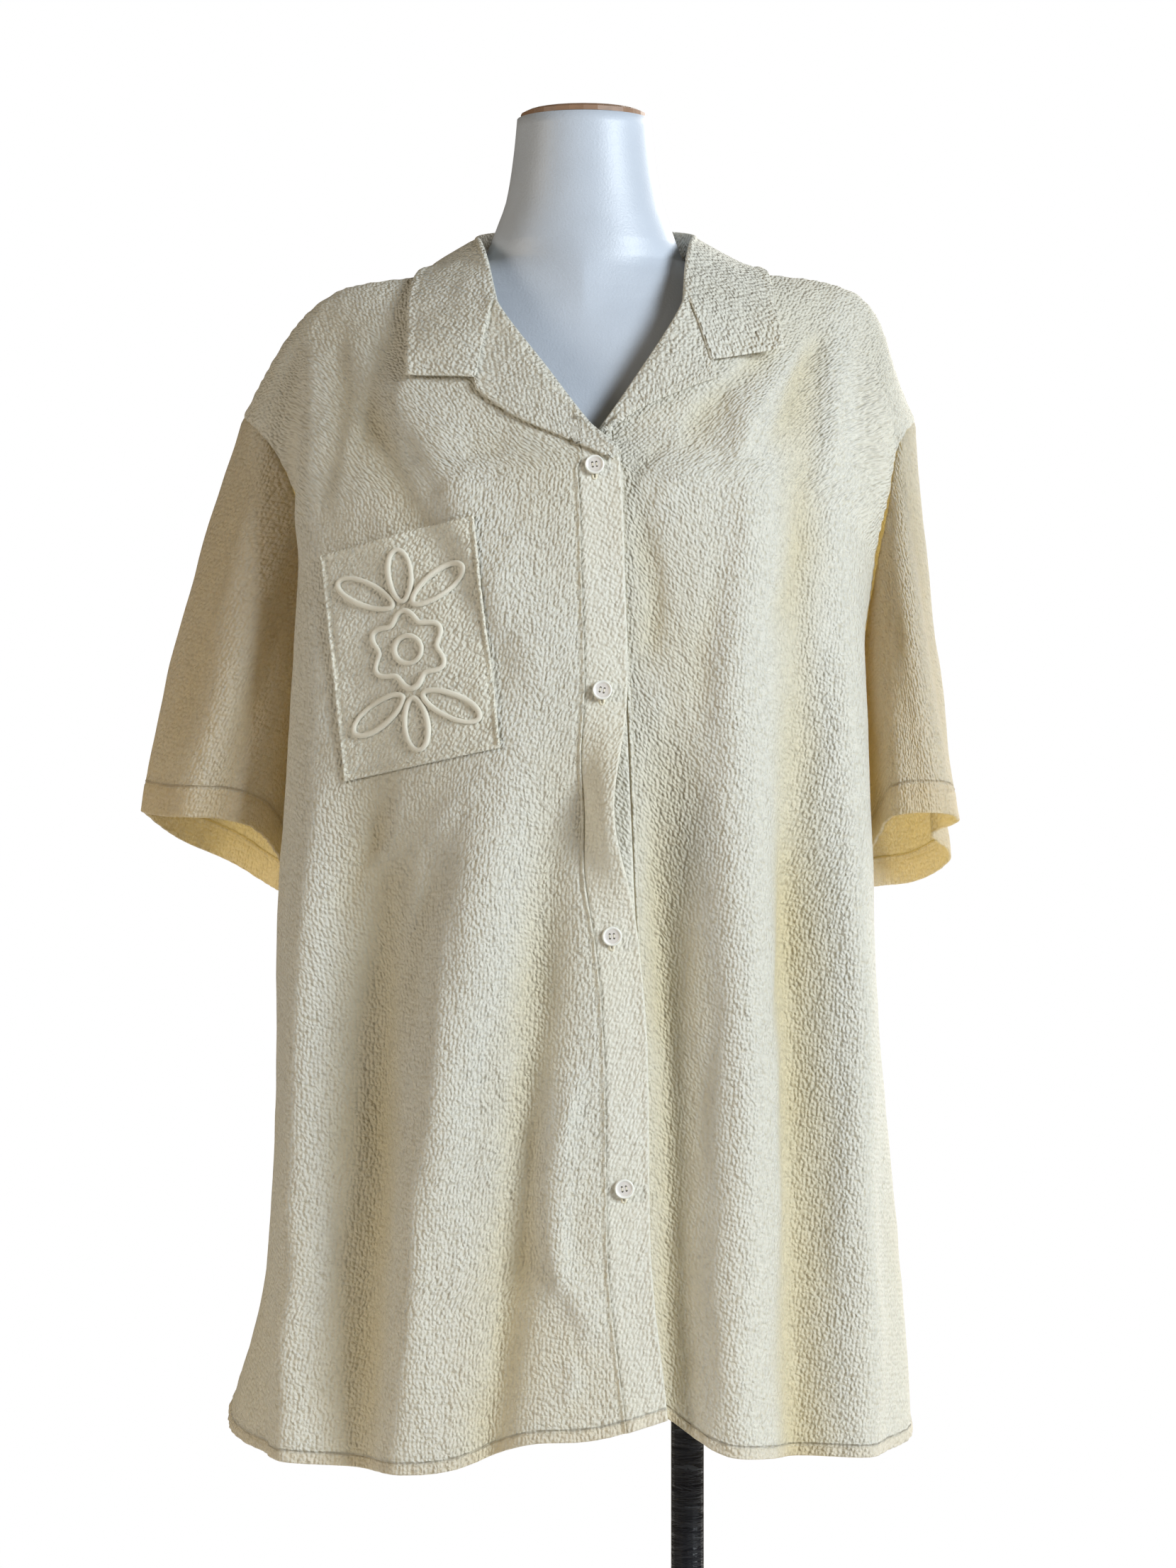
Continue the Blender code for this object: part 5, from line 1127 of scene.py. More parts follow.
def lapel_surface(front, table, first, tree, collar_end):
    """The front's edge turned out above the break, lying on the front; its top joins the collar."""
    inside = (front.levels > first + 0.002) & (front.levels < GORGE_LEVEL - 0.002)
    levels = np.concatenate([[first], front.levels[inside], [GORGE_LEVEL - 0.0004]])
    rows = front.at_levels(levels)[..., :6]
    found = read_rows(rows, np.tile((0.0, 0.004), (len(levels), 1)))
    edge, away = found[:, 0, :3], unit_rows(found[:, 0, 3:])
    tangent = unit_rows(np.gradient(edge, axis=0))
    rise = unit_rows(edge - found[:, 1, :3])
    rise = unit_rows(rise - tangent * (rise * tangent).sum(axis=1, keepdims=True))
    away = unit_rows(away - rise * (away * rise).sum(axis=1, keepdims=True))
    shares = (levels - BREAK_LEVEL) / (GORGE_LEVEL - BREAK_LEVEL)
    outer = spline_weights([r.share for r in table], shares) @ np.array([r[1:] for r in table])
    outer = np.stack([front.side * outer[:, 0], np.zeros(len(outer)), outer[:, 1]], axis=1)
    steps = LAPEL_STEPS[:, None, None]
    thickness = settings().cloth.one_layer + 0.0004
    flat = edge[None] * (1 - steps) + outer[None] * steps
    reach = ease((shares - 0.72) / 0.28)[None, :, None]
    corner = collar_end[-1]
    seam = np.array([
        [np.interp(r / LAPEL_CORNER, np.linspace(0, 1, len(collar_end)), collar_end[:, c]) for c in range(3)]
        if r < LAPEL_CORNER
        else corner + (outer[-1] - corner) * (r - LAPEL_CORNER) / (1 - LAPEL_CORNER)
        for r in LAPEL_STEPS
    ])
    flat = flat + (seam[:, None] - flat[:, -1:]) * reach * (1, 0, 1)
    fall = smoothed(forward_onto(flat, tree, LAPEL_LIFT), 8)
    stand = np.full(len(levels), LAPEL_STAND)
    seen, hidden = turned_over(edge, rise, away, stand, fall, thickness)
    count = len(seen) - len(fall)
    normals = grid_normals(seen, (0, -1, 0))
    if (normals[count:] * away).sum() < 0:
        normals = -normals
    down, along = lengths(seen), arc_lengths(seen)
    on_fall = ease((np.arange(len(seen))[:, None] - count) / 3.0)
    from_edge, from_top = down[-1:] - down, along[:, -1:] - along
    height = 0.8 * rumple(seen) * on_fall + on_fall * 0.0005 * bell(from_edge - 0.003, 0.002)
    height -= on_fall * 0.0003 * bell(from_edge - 0.006, 0.0016)
    height += on_fall * 0.0010 * bell(from_top - 0.0012, 0.0013) * ease((from_edge - 0.004) / 0.004)
    move = normals * height[..., None]
    return seen + move, hidden + move, laid_flat(seen)


def forward_onto(points, tree, lift):
    """Points given by x and z, put on the panels as seen from the front and moved out from them."""
    moved = np.array(points, float)
    for index in np.ndindex(moved.shape[:-1]):
        x, _, z = moved[index]
        place, normal = tree.ray_cast(Vector((x, -0.4, z)), Vector((0, 1, 0)))[:2]
        if place is None or place.y > 0:
            place, normal = tree.find_nearest(Vector((x, -0.12, z)))[:2]
        if normal.y > 0:
            normal = -normal
        moved[index] = place + normal * lift
    return moved


def point_on(tree, x, z, lift):
    """One point given by x and z, put on the panels in the same way."""
    return tuple(forward_onto(np.array([[x, 0.0, z]]), tree, lift)[0])


def wall(name, outer, inner, uv, painted_fold_shade, look, closed=False):
    """A closed wall between two grids with a rounded rim; closed joins the last column to the first."""
    rows, columns = outer.shape[:2]
    half = 0.5 * float(np.linalg.norm(outer - inner, axis=-1).mean())
    sides = (0, 0) if closed else (1, 1)

    def extended(grid):
        top = grid[:1] + unit_rows(grid[:1] - grid[1:2]) * half
        low = grid[-1:] + unit_rows(grid[-1:] - grid[-2:-1]) * half
        grid = np.concatenate([top, grid, low])
        if closed:
            return grid
        first = grid[:, :1] + unit_rows(grid[:, :1] - grid[:, 1:2]) * half
        last = grid[:, -1:] + unit_rows(grid[:, -1:] - grid[:, -2:-1]) * half
        return np.concatenate([first, grid, last], axis=1)

    rim = (extended(outer) + extended(inner)) / 2
    on_rim = np.ones(rim.shape[:2], bool)
    on_rim[1:-1, slice(sides[0], rim.shape[1] - sides[1])] = False
    index = np.full(rim.shape[:2], -1)
    index[on_rim] = np.arange(on_rim.sum()) + 2 * rows * columns
    vertices = np.concatenate([outer.reshape(-1, 3), inner.reshape(-1, 3), rim[on_rim]])
    grids = []
    for layer in (0, 1):
        placed = index.copy()
        placed[~on_rim] = np.arange(rows * columns) + layer * rows * columns
        if closed:
            placed[:, -1] = placed[:, 0]
        grids.append(placed)
    padding = ((1, 1), sides, (0, 0))
    flat_uv = np.pad(uv, padding, mode="edge").reshape(-1, 2)
    flat_painted_fold_shade = np.pad(painted_fold_shade, padding[:2], mode="edge").reshape(-1)
    cells = np.arange(rim.shape[0] * rim.shape[1]).reshape(rim.shape[:2])
    quads = np.stack([cells[:-1, :-1], cells[:-1, 1:], cells[1:, 1:], cells[1:, :-1]], axis=-1).reshape(-1, 4)
    a, b, c = (vertices[grids[0].reshape(-1)[quads[:, k]]] for k in range(3))
    facing = np.cross(b - a, c - a).reshape(rim.shape[0] - 1, rim.shape[1] - 1, 3)
    facing = facing[1:rows, sides[0] : sides[0] + columns - 1]
    if (facing * (outer - inner)[:-1, :-1]).sum() < 0:
        quads = quads[:, ::-1]
    faces = np.concatenate([grids[0].reshape(-1)[quads], grids[1].reshape(-1)[quads[:, ::-1]]])
    corners = np.concatenate([flat_uv[quads].reshape(-1, 2), flat_uv[quads[:, ::-1]].reshape(-1, 2)])
    mesh = bpy.data.meshes.new(name)
    mesh.from_pydata(vertices.tolist(), [], faces.tolist())
    mesh.uv_layers.new(name="cloth").data.foreach_set("uv", corners.astype(np.float32).reshape(-1))
    # The fold heights go into the fold attribute, which paints shade deep in the folds
    values = np.zeros(len(vertices), np.float32)
    for layer in (0, 1):
        values[grids[layer].reshape(-1)] = flat_painted_fold_shade
    mesh.attributes.new("fold", "FLOAT", "POINT").data.foreach_set("value", values)
    return placed_object(name, mesh, look)


def linked(name, data):
    """A new object at the origin, in the scene."""
    obj = bpy.data.objects.new(name, data)
    bpy.context.scene.collection.objects.link(obj)
    return obj


def placed_object(name, mesh, *looks):
    """An object at the origin, without loose points, riding on the part's one body."""
    work = bmesh.new()
    work.from_mesh(mesh)
    loose = [v for v in work.verts if not v.link_faces]
    bmesh.ops.delete(work, geom=loose, context="VERTS")
    work.to_mesh(mesh)
    work.free()
    mesh.shade_smooth()
    for look in looks:
        mesh.materials.append(look)
    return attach(linked(name, mesh), "root")


# Sizes and colours that a user may change

def length(name, text, default):
    return bpy.props.FloatProperty(
        name=name, description=text, default=default, min=0.0, precision=5, unit="LENGTH", subtype="DISTANCE"
    )


def colour(name, text, default):
    return bpy.props.FloatVectorProperty(
        name=name, description=text, default=default, size=4, min=0.0, max=1.0, subtype="COLOR"
    )


def amount(name, text, default):
    return bpy.props.FloatProperty(
        name=name, description=text, default=default, min=0.0, max=20.0, subtype="FACTOR"
    )


class ClothSizes(bpy.types.PropertyGroup):
    """Thicknesses, hems and crinkle of the cloth"""

    one_layer: length("One layer", "Thickness of one layer of crepe", 0.0012)
    two_layers: length("Two layers", "Thickness of the collar and the bands", 0.0018)
    hem: length("Bottom hem", "Depth of the narrow bottom hem", 0.0072)
    cuff_hem: length("Sleeve hem", "Depth of the sleeve hems", 0.0210)
    rumple: length("Rumple", "Height of the cloth's soft unevenness", 0.0010)
    cell_width: length("Crinkle width", "Width of one crinkle across the warp", 0.0026)
    cell_length: length("Crinkle length", "Length of one crinkle along the warp", 0.0032)
    cell_height: length("Crinkle height", "Height of one crinkle", 0.0023)


class StitchSizes(bpy.types.PropertyGroup):
    """Sizes of the sewing"""

    stitch: length("Stitch", "Length of one stitch", 0.0023)
    gap: length("Gap", "Gap between two stitches", 0.0009)
    thread: length("Thread", "Thickness of the sewing thread", 0.00042)
    cord: length("Cord", "Width of the cords on the pocket", 0.0036)
    cord_height: length("Cord height", "Height of the cords on the pocket", 0.0016)


class PartColours(bpy.types.PropertyGroup):
    """Colours of the cloth, the trim, the form and the stand"""

    cloth: colour("Cloth", "Cream crepe", (0.825, 0.825, 0.765, 1.0))
    # The cloth in folds is a painted shade colour: it is mixed in deep in the folds and between the puffs,
    # where the cloth lies in shade
    deep: colour("Cloth in folds", "Warmer crepe deep in the folds", (0.74, 0.65, 0.40, 1.0))
    glow: colour("Cloth against the light", "Light that comes through the crepe", (0.92, 0.78, 0.44, 1.0))
    thread: colour("Thread", "Sewing thread", (0.80, 0.76, 0.62, 1.0))
    cord: colour("Cord", "Satin cord of the pocket's design", (0.78, 0.75, 0.65, 1.0))
    button: colour("Button", "Pearly button", (0.74, 0.70, 0.66, 1.0))
    button_rim: colour("Button rim", "Pale rim of a button", (0.88, 0.87, 0.82, 1.0))
    form: colour("Form", "Smooth pale covering of the dress form", (0.49, 0.54, 0.62, 1.0))
    wood: colour("Cap", "Brown neck cap", (0.16, 0.095, 0.06, 1.0))
    metal: colour("Stand", "Black stand", (0.006, 0.007, 0.011, 1.0))


class StudioLight(bpy.types.PropertyGroup):
    """Strengths of the studio lights"""

    key: amount("Lamps", "Strength of the window, room and back lights", 1.0)
    fill: amount("Fill", "Strength of the even light from all round", 1.0)


class ShirtSettings(bpy.types.PropertyGroup):
    """Everything that a user of this part may change"""

    cloth: bpy.props.PointerProperty(type=ClothSizes)
    stitches: bpy.props.PointerProperty(type=StitchSizes)
    colours: bpy.props.PointerProperty(type=PartColours)
    light: bpy.props.PointerProperty(type=StudioLight)


def settings():
    return bpy.context.scene.crinkle_shirt


# Shader groups and materials

class Tree:
    """Short calls that add nodes and join them."""

    def __init__(self, tree):
        self.tree = tree

    def add(self, kind, links=(), **values):
        node = self.tree.nodes.new(kind)
        for key, value in values.items():
            setattr(node, key, value)
        for socket, value in links:
            target = node.inputs[socket]
            if isinstance(value, bpy.types.NodeSocket):
                self.tree.links.new(value, target)
            else:
                target.default_value = value
        return node

    def math(self, operation, *values, clamp=False):
        return self.add("ShaderNodeMath", enumerate(values), operation=operation, use_clamp=clamp).outputs[0]

    def vector(self, operation, *values):
        return self.add("ShaderNodeVectorMath", enumerate(values), operation=operation).outputs[0]

    def scaled(self, vector, factor):
        return self.add("ShaderNodeVectorMath", [(0, vector), (3, factor)], operation="SCALE").outputs[0]

    def mix(self, factor, first, second):
        return self.add("ShaderNodeMix", [(0, factor), (6, first), (7, second)], data_type="RGBA").outputs[2]

    def group(self, name, links):
        return self.add("ShaderNodeGroup", links, node_tree=GROUPS[name]()).outputs

    def noise(self, place, scale, detail=2.0, **more):
        """A noise; more may set its roughness or its distortion."""
        links = [("Vector", place), ("Scale", scale), ("Detail", detail)]
        links += [(name.title(), value) for name, value in more.items()]
        return self.add("ShaderNodeTexNoise", links).outputs

    def bump(self, height, strength, depth):
        links = [("Height", height), ("Strength", strength), ("Distance", depth)]
        return self.add("ShaderNodeBump", links).outputs[0]

    def place(self):
        return self.add("ShaderNodeTexCoord").outputs["Object"]

    def join(self, source, target):
        self.tree.links.new(source, target)


def new_group(name, inputs, outputs):
    """An empty shader group: its tree, what it is given and what it gives."""
    tree = bpy.data.node_groups.new(name, "ShaderNodeTree")
    for socket, kind, value in inputs:
        made = tree.interface.new_socket(socket, in_out="INPUT", socket_type=kind)
        if value is not None:
            made.default_value = value
    for socket, kind in outputs:
        tree.interface.new_socket(socket, in_out="OUTPUT", socket_type=kind)
    start, end = tree.nodes.new("NodeGroupInput"), tree.nodes.new("NodeGroupOutput")
    return Tree(tree), start.outputs, end.inputs


def once(function):
    """Builds a shader group the first time it is asked for."""
    made = {}

    def build():
        if "tree" not in made:
            made["tree"] = function()
        return made["tree"]

    return build


# The crinkle: how far its rows waver, how uneven and how rounded its puffs are, what the puffs,
# the loose and the broad unevenness add, and where a gap between two puffs starts
WAVER = 0.7
WAVER_SCALE = 0.55
UNEVENNESS = 0.62
ROUNDNESS = 0.45
PUFF_REACH = 0.62
PUFF_SHARE = 0.75
LOOSE_SHARE = 0.55
BROAD_SHARE = 0.9
GAP_BELOW = 0.40


@once
def crinkle_group():
    """Crepe: uneven rounded puffs on wavering rows, with broader puckers and a fine slanting grain."""
    t, given, out = new_group(
        "Crepe crinkle",
        (
            ("Vector", "NodeSocketVector", None),
            ("Cell Width", "NodeSocketFloat", 0.0036),
            ("Cell Length", "NodeSocketFloat", 0.0042),
            ("Grain", "NodeSocketFloat", 0.20),
        ),
        (("Height", "NodeSocketFloat"), ("Gap", "NodeSocketFloat")),
    )
    wide, tall = t.math("DIVIDE", 1.0, given["Cell Width"]), t.math("DIVIDE", 1.0, given["Cell Length"])
    scale = t.add("ShaderNodeCombineXYZ", [(0, wide), (1, tall), (2, 1.0)]).outputs[0]
    flat = t.vector("MULTIPLY", given["Vector"], scale)
    waver = t.vector("SUBTRACT", t.noise(flat, WAVER_SCALE)["Color"], (0.5, 0.5, 0.5))
    place = t.vector("ADD", flat, t.vector("MULTIPLY", waver, (WAVER, WAVER, WAVER)))
    links = [("Vector", place), ("Scale", 1.0), ("Smoothness", ROUNDNESS), ("Randomness", UNEVENNESS)]
    cells = t.add("ShaderNodeTexVoronoi", links, feature="SMOOTH_F1", voronoi_dimensions="2D")
    puffs = t.math("SUBTRACT", PUFF_REACH, cells.outputs["Distance"])
    loose = t.noise(place, 1.15, 1.0, roughness=0.4)["Fac"]
    broad = t.noise(flat, 0.33)["Fac"]
    turned = [("Vector", flat), ("Rotation", (0.0, 0.0, 0.7)), ("Scale", (1.0, 4.0, 1.0))]
    fine = t.noise(t.add("ShaderNodeMapping", turned).outputs[0], 1.6)["Fac"]
    puff = t.math("ADD", t.math("MULTIPLY", puffs, PUFF_SHARE), t.math("MULTIPLY", loose, LOOSE_SHARE))
    height = t.math("ADD", puff, t.math("MULTIPLY", broad, BROAD_SHARE))
    t.join(t.math("ADD", height, t.math("MULTIPLY", fine, given["Grain"])), out["Height"])
    # Gap marks the hollows between puffs, where the cloth's colour is painted darker as shade
    t.join(t.math("MULTIPLY", t.math("SUBTRACT", GAP_BELOW, puff), 2.0, clamp=True), out["Gap"])
    return t.tree


# The painted shade: how fast the hollow of a fold takes on the warm shade colour, how much of
# that colour lies everywhere, how dark and how warm the painted shade in a gap between two puffs
# gets, and how much the tone varies from patch to patch
HOLLOW_PAINTED_SHADE = 34.0
EVEN_PAINTED_SHADE = 0.10
GAP_SHADE = 0.24
GAP_PAINTED_WARMTH = 0.50
PATCHINESS = 0.5


@once
def fold_painted_shade_group():
    """Paints a warm shade deep in the folds and a darker, warmer shade between the puffs, and varies the tone
    over the surface.
    """
    t, given, out = new_group(
        "Fold painted shade",
        (
            ("Vector", "NodeSocketVector", None),
            ("Light", "NodeSocketColor", (0.86, 0.83, 0.7, 1.0)),
            ("Painted Shade", "NodeSocketColor", (0.74, 0.66, 0.44, 1.0)),
            ("Gap", "NodeSocketFloat", 0.5),
            ("Fold", "NodeSocketFloat", 0.0),
        ),
        (("Color", "NodeSocketColor"),),
    )
    patch = t.math("SUBTRACT", t.noise(given["Vector"], 9.0, 4.0)["Fac"], 0.5)
    # Painted shade: where a fold is hollow the colour turns to the warm shade colour, and a gap between puffs
    # is painted darker and warmer
    painted_fold_shade = t.math("MULTIPLY_ADD", given["Fold"], -HOLLOW_PAINTED_SHADE, EVEN_PAINTED_SHADE)
    depth = t.math("ADD", painted_fold_shade, t.math("MULTIPLY", patch, PATCHINESS), clamp=True)
    shade = t.math("SUBTRACT", 1.0, t.math("MULTIPLY", given["Gap"], GAP_SHADE))
    painted_warmth = t.math("MAXIMUM", depth, t.math("MULTIPLY", given["Gap"], GAP_PAINTED_WARMTH))
    t.join(t.scaled(t.mix(painted_warmth, given["Light"], given["Painted Shade"]), shade), out["Color"])
    return t.tree


@once
def speckle_group():
    """Small scattered marks and a slow change of tone, for smooth surfaces that have been handled."""
    t, given, out = new_group(
        "Handled surface",
        (
            ("Vector", "NodeSocketVector", None),
            ("Color", "NodeSocketColor", (0.8, 0.8, 0.8, 1.0)),
            ("Marks", "NodeSocketFloat", 0.3),
            ("Size", "NodeSocketFloat", 0.01),
        ),
        (("Color", "NodeSocketColor"), ("Height", "NodeSocketFloat"), ("Marks", "NodeSocketFloat")),
    )
    place = t.scaled(given["Vector"], t.math("DIVIDE", 1.0, given["Size"]))
    slow = t.noise(place, 0.12, 3.0)["Fac"]
    specks = t.add("ShaderNodeTexVoronoi", [("Vector", place), ("Scale", 0.55), ("Randomness", 1.0)])
    chance = t.add("ShaderNodeSeparateColor", [(0, specks.outputs["Color"])]).outputs[0]
    spot = t.math("LESS_THAN", specks.outputs["Distance"], 0.10)
    spot = t.math("MULTIPLY", spot, t.math("GREATER_THAN", chance, 0.72))
    mark = t.math("MULTIPLY", spot, given["Marks"], clamp=True)
    dim = t.scaled(given["Color"], t.math("MULTIPLY_ADD", slow, 0.22, 0.88))
    t.join(t.mix(mark, dim, (0.30, 0.27, 0.24, 1.0)), out["Color"])
    t.join(t.math("MULTIPLY_ADD", slow, 2.0, t.noise(place, 4.0, 4.0)["Fac"]), out["Height"])
    t.join(mark, out["Marks"])
    return t.tree


GROUPS = {"crinkle": crinkle_group, "fold_painted_shade": fold_painted_shade_group, "handled": speckle_group}


def new_material(name):
    """A material, its tree and its shader."""
    made = bpy.data.materials.new(name)
    made.use_nodes = True
    return made, Tree(made.node_tree), made.node_tree.nodes["Principled BSDF"]


def finish(t, shader, tint, bump, values):
    """Gives a shader its colour and its bump, then its other values by name."""
    t.join(tint, shader.inputs["Base Color"])
    t.join(bump, shader.inputs["Normal"])
    for name, value in values.items():
        shader.inputs[name].default_value = value


# The hem: the width of its stitched groove, the two layers' warmer tone, how dark the painted shade along the
# groove is and how deep the groove is
HEM_LINE_WIDTH = 0.0011
HEM_WARMTH = 0.20
HEM_LINE_SHADE = 0.16
HEM_LINE_DEPTH = 0.6


def hem_line(t, uv, depth, tone, height):
    """The stitched groove that holds a turned hem of that depth, painted darker as shade, and the warmer tone
    of its two layers.
    """
    from_edge = t.add("ShaderNodeSeparateXYZ", [(0, uv)]).outputs[1]
    aside = t.math("ABSOLUTE", t.math("SUBTRACT", from_edge, depth))
    line = t.math("SUBTRACT", 1.0, t.math("DIVIDE", aside, HEM_LINE_WIDTH), clamp=True)
    turned = t.math("LESS_THAN", from_edge, depth)
    tone = t.mix(t.math("MULTIPLY", turned, HEM_WARMTH), tone, (0.80, 0.62, 0.38, 1.0))
    # Painted shade along the stitched groove
    tone = t.scaled(tone, t.math("SUBTRACT", 1.0, t.math("MULTIPLY", line, HEM_LINE_SHADE)))
    return tone, t.math("SUBTRACT", height, t.math("MULTIPLY", line, HEM_LINE_DEPTH))


def crepe(name, turn, glow=0.30, height=1.0, warm=0.0, hem=0.0):
    """The shirt's crepe: turn is the way its warp runs, and glow how much light comes through it.

    Height scales the crinkle, warm spreads painted fold shade evenly over the whole piece, and hem is the
    depth of its hem.
    """
    made, t, shader = new_material(name)
    size, colours = settings().cloth, settings().colours
    uv = t.add("ShaderNodeUVMap", uv_map="cloth").outputs[0]
    warp = (0.0, 0.0, math.radians(turn))
    place = t.add("ShaderNodeMapping", [("Vector", uv), ("Rotation", warp)]).outputs[0]
    cell = [("Cell Width", size.cell_width), ("Cell Length", size.cell_length)]
    crinkle = t.group("crinkle", [("Vector", place)] + cell)
    # The fold attribute paints shade deep in the folds; warm lowers it, which spreads that painted shade over
    # the whole piece
    fold = t.add("ShaderNodeAttribute", attribute_name="fold").outputs["Fac"]
    if warm:
        fold = t.math("SUBTRACT", fold, warm)
    tones = [("Light", tuple(colours.cloth)), ("Painted Shade", tuple(colours.deep))]
    tint = t.group("fold_painted_shade", [("Vector", place), ("Gap", crinkle["Gap"]), ("Fold", fold)] + tones)
    tone, relief = tint["Color"], crinkle["Height"]
    if hem:
        tone, relief = hem_line(t, uv, hem, tone, relief)
    bump = t.bump(relief, 1.0, size.cell_height * height)
    finish(t, shader, tone, bump, {"Roughness": 0.72, "Specular IOR Level": 0.28, "Sheen Weight": 0.12})
    through = t.add("ShaderNodeBsdfTranslucent", [("Color", tuple(colours.glow)), ("Normal", bump)])
    mixed = t.add("ShaderNodeMixShader", [(0, glow), (1, shader.outputs[0]), (2, through.outputs[0])])
    t.join(mixed.outputs[0], made.node_tree.nodes["Material Output"].inputs["Surface"])
    return made


def satin_cord():
    """Satin cord: fine slanting stitches across its length."""
    made, t, shader = new_material("satin_cord")
    uv = t.add("ShaderNodeUVMap", uv_map="cloth").outputs[0]
    links = [("Vector", uv), ("Scale", 420.0), ("Distortion", 1.2), ("Detail", 2.0), ("Detail Scale", 2.0)]
    wave = t.add("ShaderNodeTexWave", links, wave_type="BANDS", bands_direction="Y").outputs["Fac"]
    shade = (0.62, 0.58, 0.47, 1.0)
    tint = t.mix(t.math("MULTIPLY", wave, 0.35), tuple(settings().colours.cord), shade)
    values = {"Roughness": 0.36, "Sheen Weight": 0.3, "Anisotropic": 0.4}
    finish(t, shader, tint, t.bump(wave, 0.7, 0.00022), values)
    return made


def thread_material():
    """Sewing thread with a fine twist."""
    made, t, shader = new_material("sewing_thread")
    twist = t.noise(t.place(), 2400.0)["Fac"]
    tint = t.mix(twist, tuple(settings().colours.thread), (0.66, 0.60, 0.45, 1.0))
    finish(t, shader, tint, t.bump(twist, 0.6, 0.0001), {"Roughness": 0.6})
    return made


def pearl(name, tone, roughness):
    """Polished resin with a soft cloudy figure."""
    made, t, shader = new_material(name)
    cloud = t.noise(t.place(), 260.0, 4.0, distortion=1.5)["Fac"]
    tint = t.mix(cloud, tone, tuple(0.8 * c for c in tone[:3]) + (1.0,))
    values = {"Roughness": roughness, "Coat Weight": 0.4, "Coat Roughness": 0.15}
    finish(t, shader, tint, t.bump(cloud, 0.3, 0.0001), values)
    return made


def handled(name, tone, roughness, marks, size, depth, coat=0.0):
    """A smooth surface that has been handled, such as the form's covering or painted metal."""
    made, t, shader = new_material(name)
    worn = t.group("handled", [("Vector", t.place()), ("Color", tone), ("Marks", marks), ("Size", size)])
    finish(t, shader, worn["Color"], t.bump(worn["Height"], 0.5, depth), {"Coat Weight": coat})
    t.join(t.math("MULTIPLY_ADD", worn["Marks"], 0.3, roughness), shader.inputs["Roughness"])
    return made


def wood():
    """Brown wood whose grain runs along X."""
    made, t, shader = new_material("brown_wood")
    stretched = t.add("ShaderNodeMapping", [("Vector", t.place()), ("Scale", (18.0, 160.0, 160.0))])
    grain = t.noise(stretched.outputs[0], 1.6, 6.0, distortion=0.8)["Fac"]
    tint = t.mix(grain, tuple(settings().colours.wood), (0.34, 0.20, 0.12, 1.0))
    finish(t, shader, tint, t.bump(grain, 0.4, 0.0003), {"Roughness": 0.5})
    return made


def wrapped_pole():
    """Black pole in shiny film: stretched wrinkles round it, with a faint painted glint on their crests."""
    made, t, shader = new_material("film_wrapped_pole")
    links = [("Vector", t.place()), ("Scale", (26.0, 26.0, 190.0)), ("Rotation", (0.08, 0.05, 0.0))]
    bands = t.add("ShaderNodeMapping", links).outputs[0]
    film = t.noise(bands, 1.0, 5.0, roughness=0.6, distortion=0.9)["Fac"]
    # A faint pale colour on the wrinkles' crests: a painted glint
    pale = t.math("MULTIPLY", t.math("GREATER_THAN", film, 0.64), 0.06)
    tint = t.mix(pale, tuple(settings().colours.metal), (0.55, 0.60, 0.66, 1.0))
    values = {"Roughness": 0.22, "Specular IOR Level": 0.25, "Coat Weight": 0.30, "Coat Roughness": 0.10}
    finish(t, shader, tint, t.bump(film, 1.0, 0.0016), values)
    return made


def plain(name, tone, roughness):
    """One even tone."""
    made, _, shader = new_material(name)
    shader.inputs["Base Color"].default_value = tone
    shader.inputs["Roughness"].default_value = roughness
    return made


# Stitches

def stitch_tree():
    """A row of stitches along each line: Geometry Nodes with the stitch's sizes as inputs."""
    tree = bpy.data.node_groups.new("Stitch rows", "GeometryNodeTree")
    tree.interface.new_socket("Geometry", in_out="INPUT", socket_type="NodeSocketGeometry")
    for name in ("Stitch Length", "Stitch Gap", "Thread Thickness"):
        tree.interface.new_socket(name, in_out="INPUT", socket_type="NodeSocketFloat")
    tree.interface.new_socket("Thread", in_out="INPUT", socket_type="NodeSocketMaterial")
    tree.interface.new_socket("Geometry", in_out="OUTPUT", socket_type="NodeSocketGeometry")
    given, end = tree.nodes.new("NodeGroupInput").outputs, tree.nodes.new("NodeGroupOutput")
    t = Tree(tree)
    line = t.add("GeometryNodeMeshToCurve", [(0, given["Geometry"])])
    pitch = t.math("ADD", given["Stitch Length"], given["Stitch Gap"])
    points = t.add("GeometryNodeCurveToPoints", [(0, line.outputs[0])], mode="LENGTH")
    t.join(pitch, points.inputs["Length"])
    ball = t.add("GeometryNodeMeshUVSphere", [("Segments", 6), ("Rings", 4), ("Radius", 0.5)])
    thick = given["Thread Thickness"]
    size = t.add("ShaderNodeCombineXYZ", [(0, thick), (1, thick), (2, given["Stitch Length"])])
    links = [("Points", points.outputs["Points"]), ("Instance", ball.outputs["Mesh"])]
    links += [("Rotation", points.outputs["Rotation"]), ("Scale", size.outputs[0])]
    placed = t.add("GeometryNodeInstanceOnPoints", links)
    real = t.add("GeometryNodeRealizeInstances", [(0, placed.outputs[0])])
    smooth = t.add("GeometryNodeSetShadeSmooth", [(0, real.outputs[0])])
    look = t.add("GeometryNodeSetMaterial", [(0, smooth.outputs[0]), ("Material", given["Thread"])])
    t.join(look.outputs[0], end.inputs[0])
    return tree


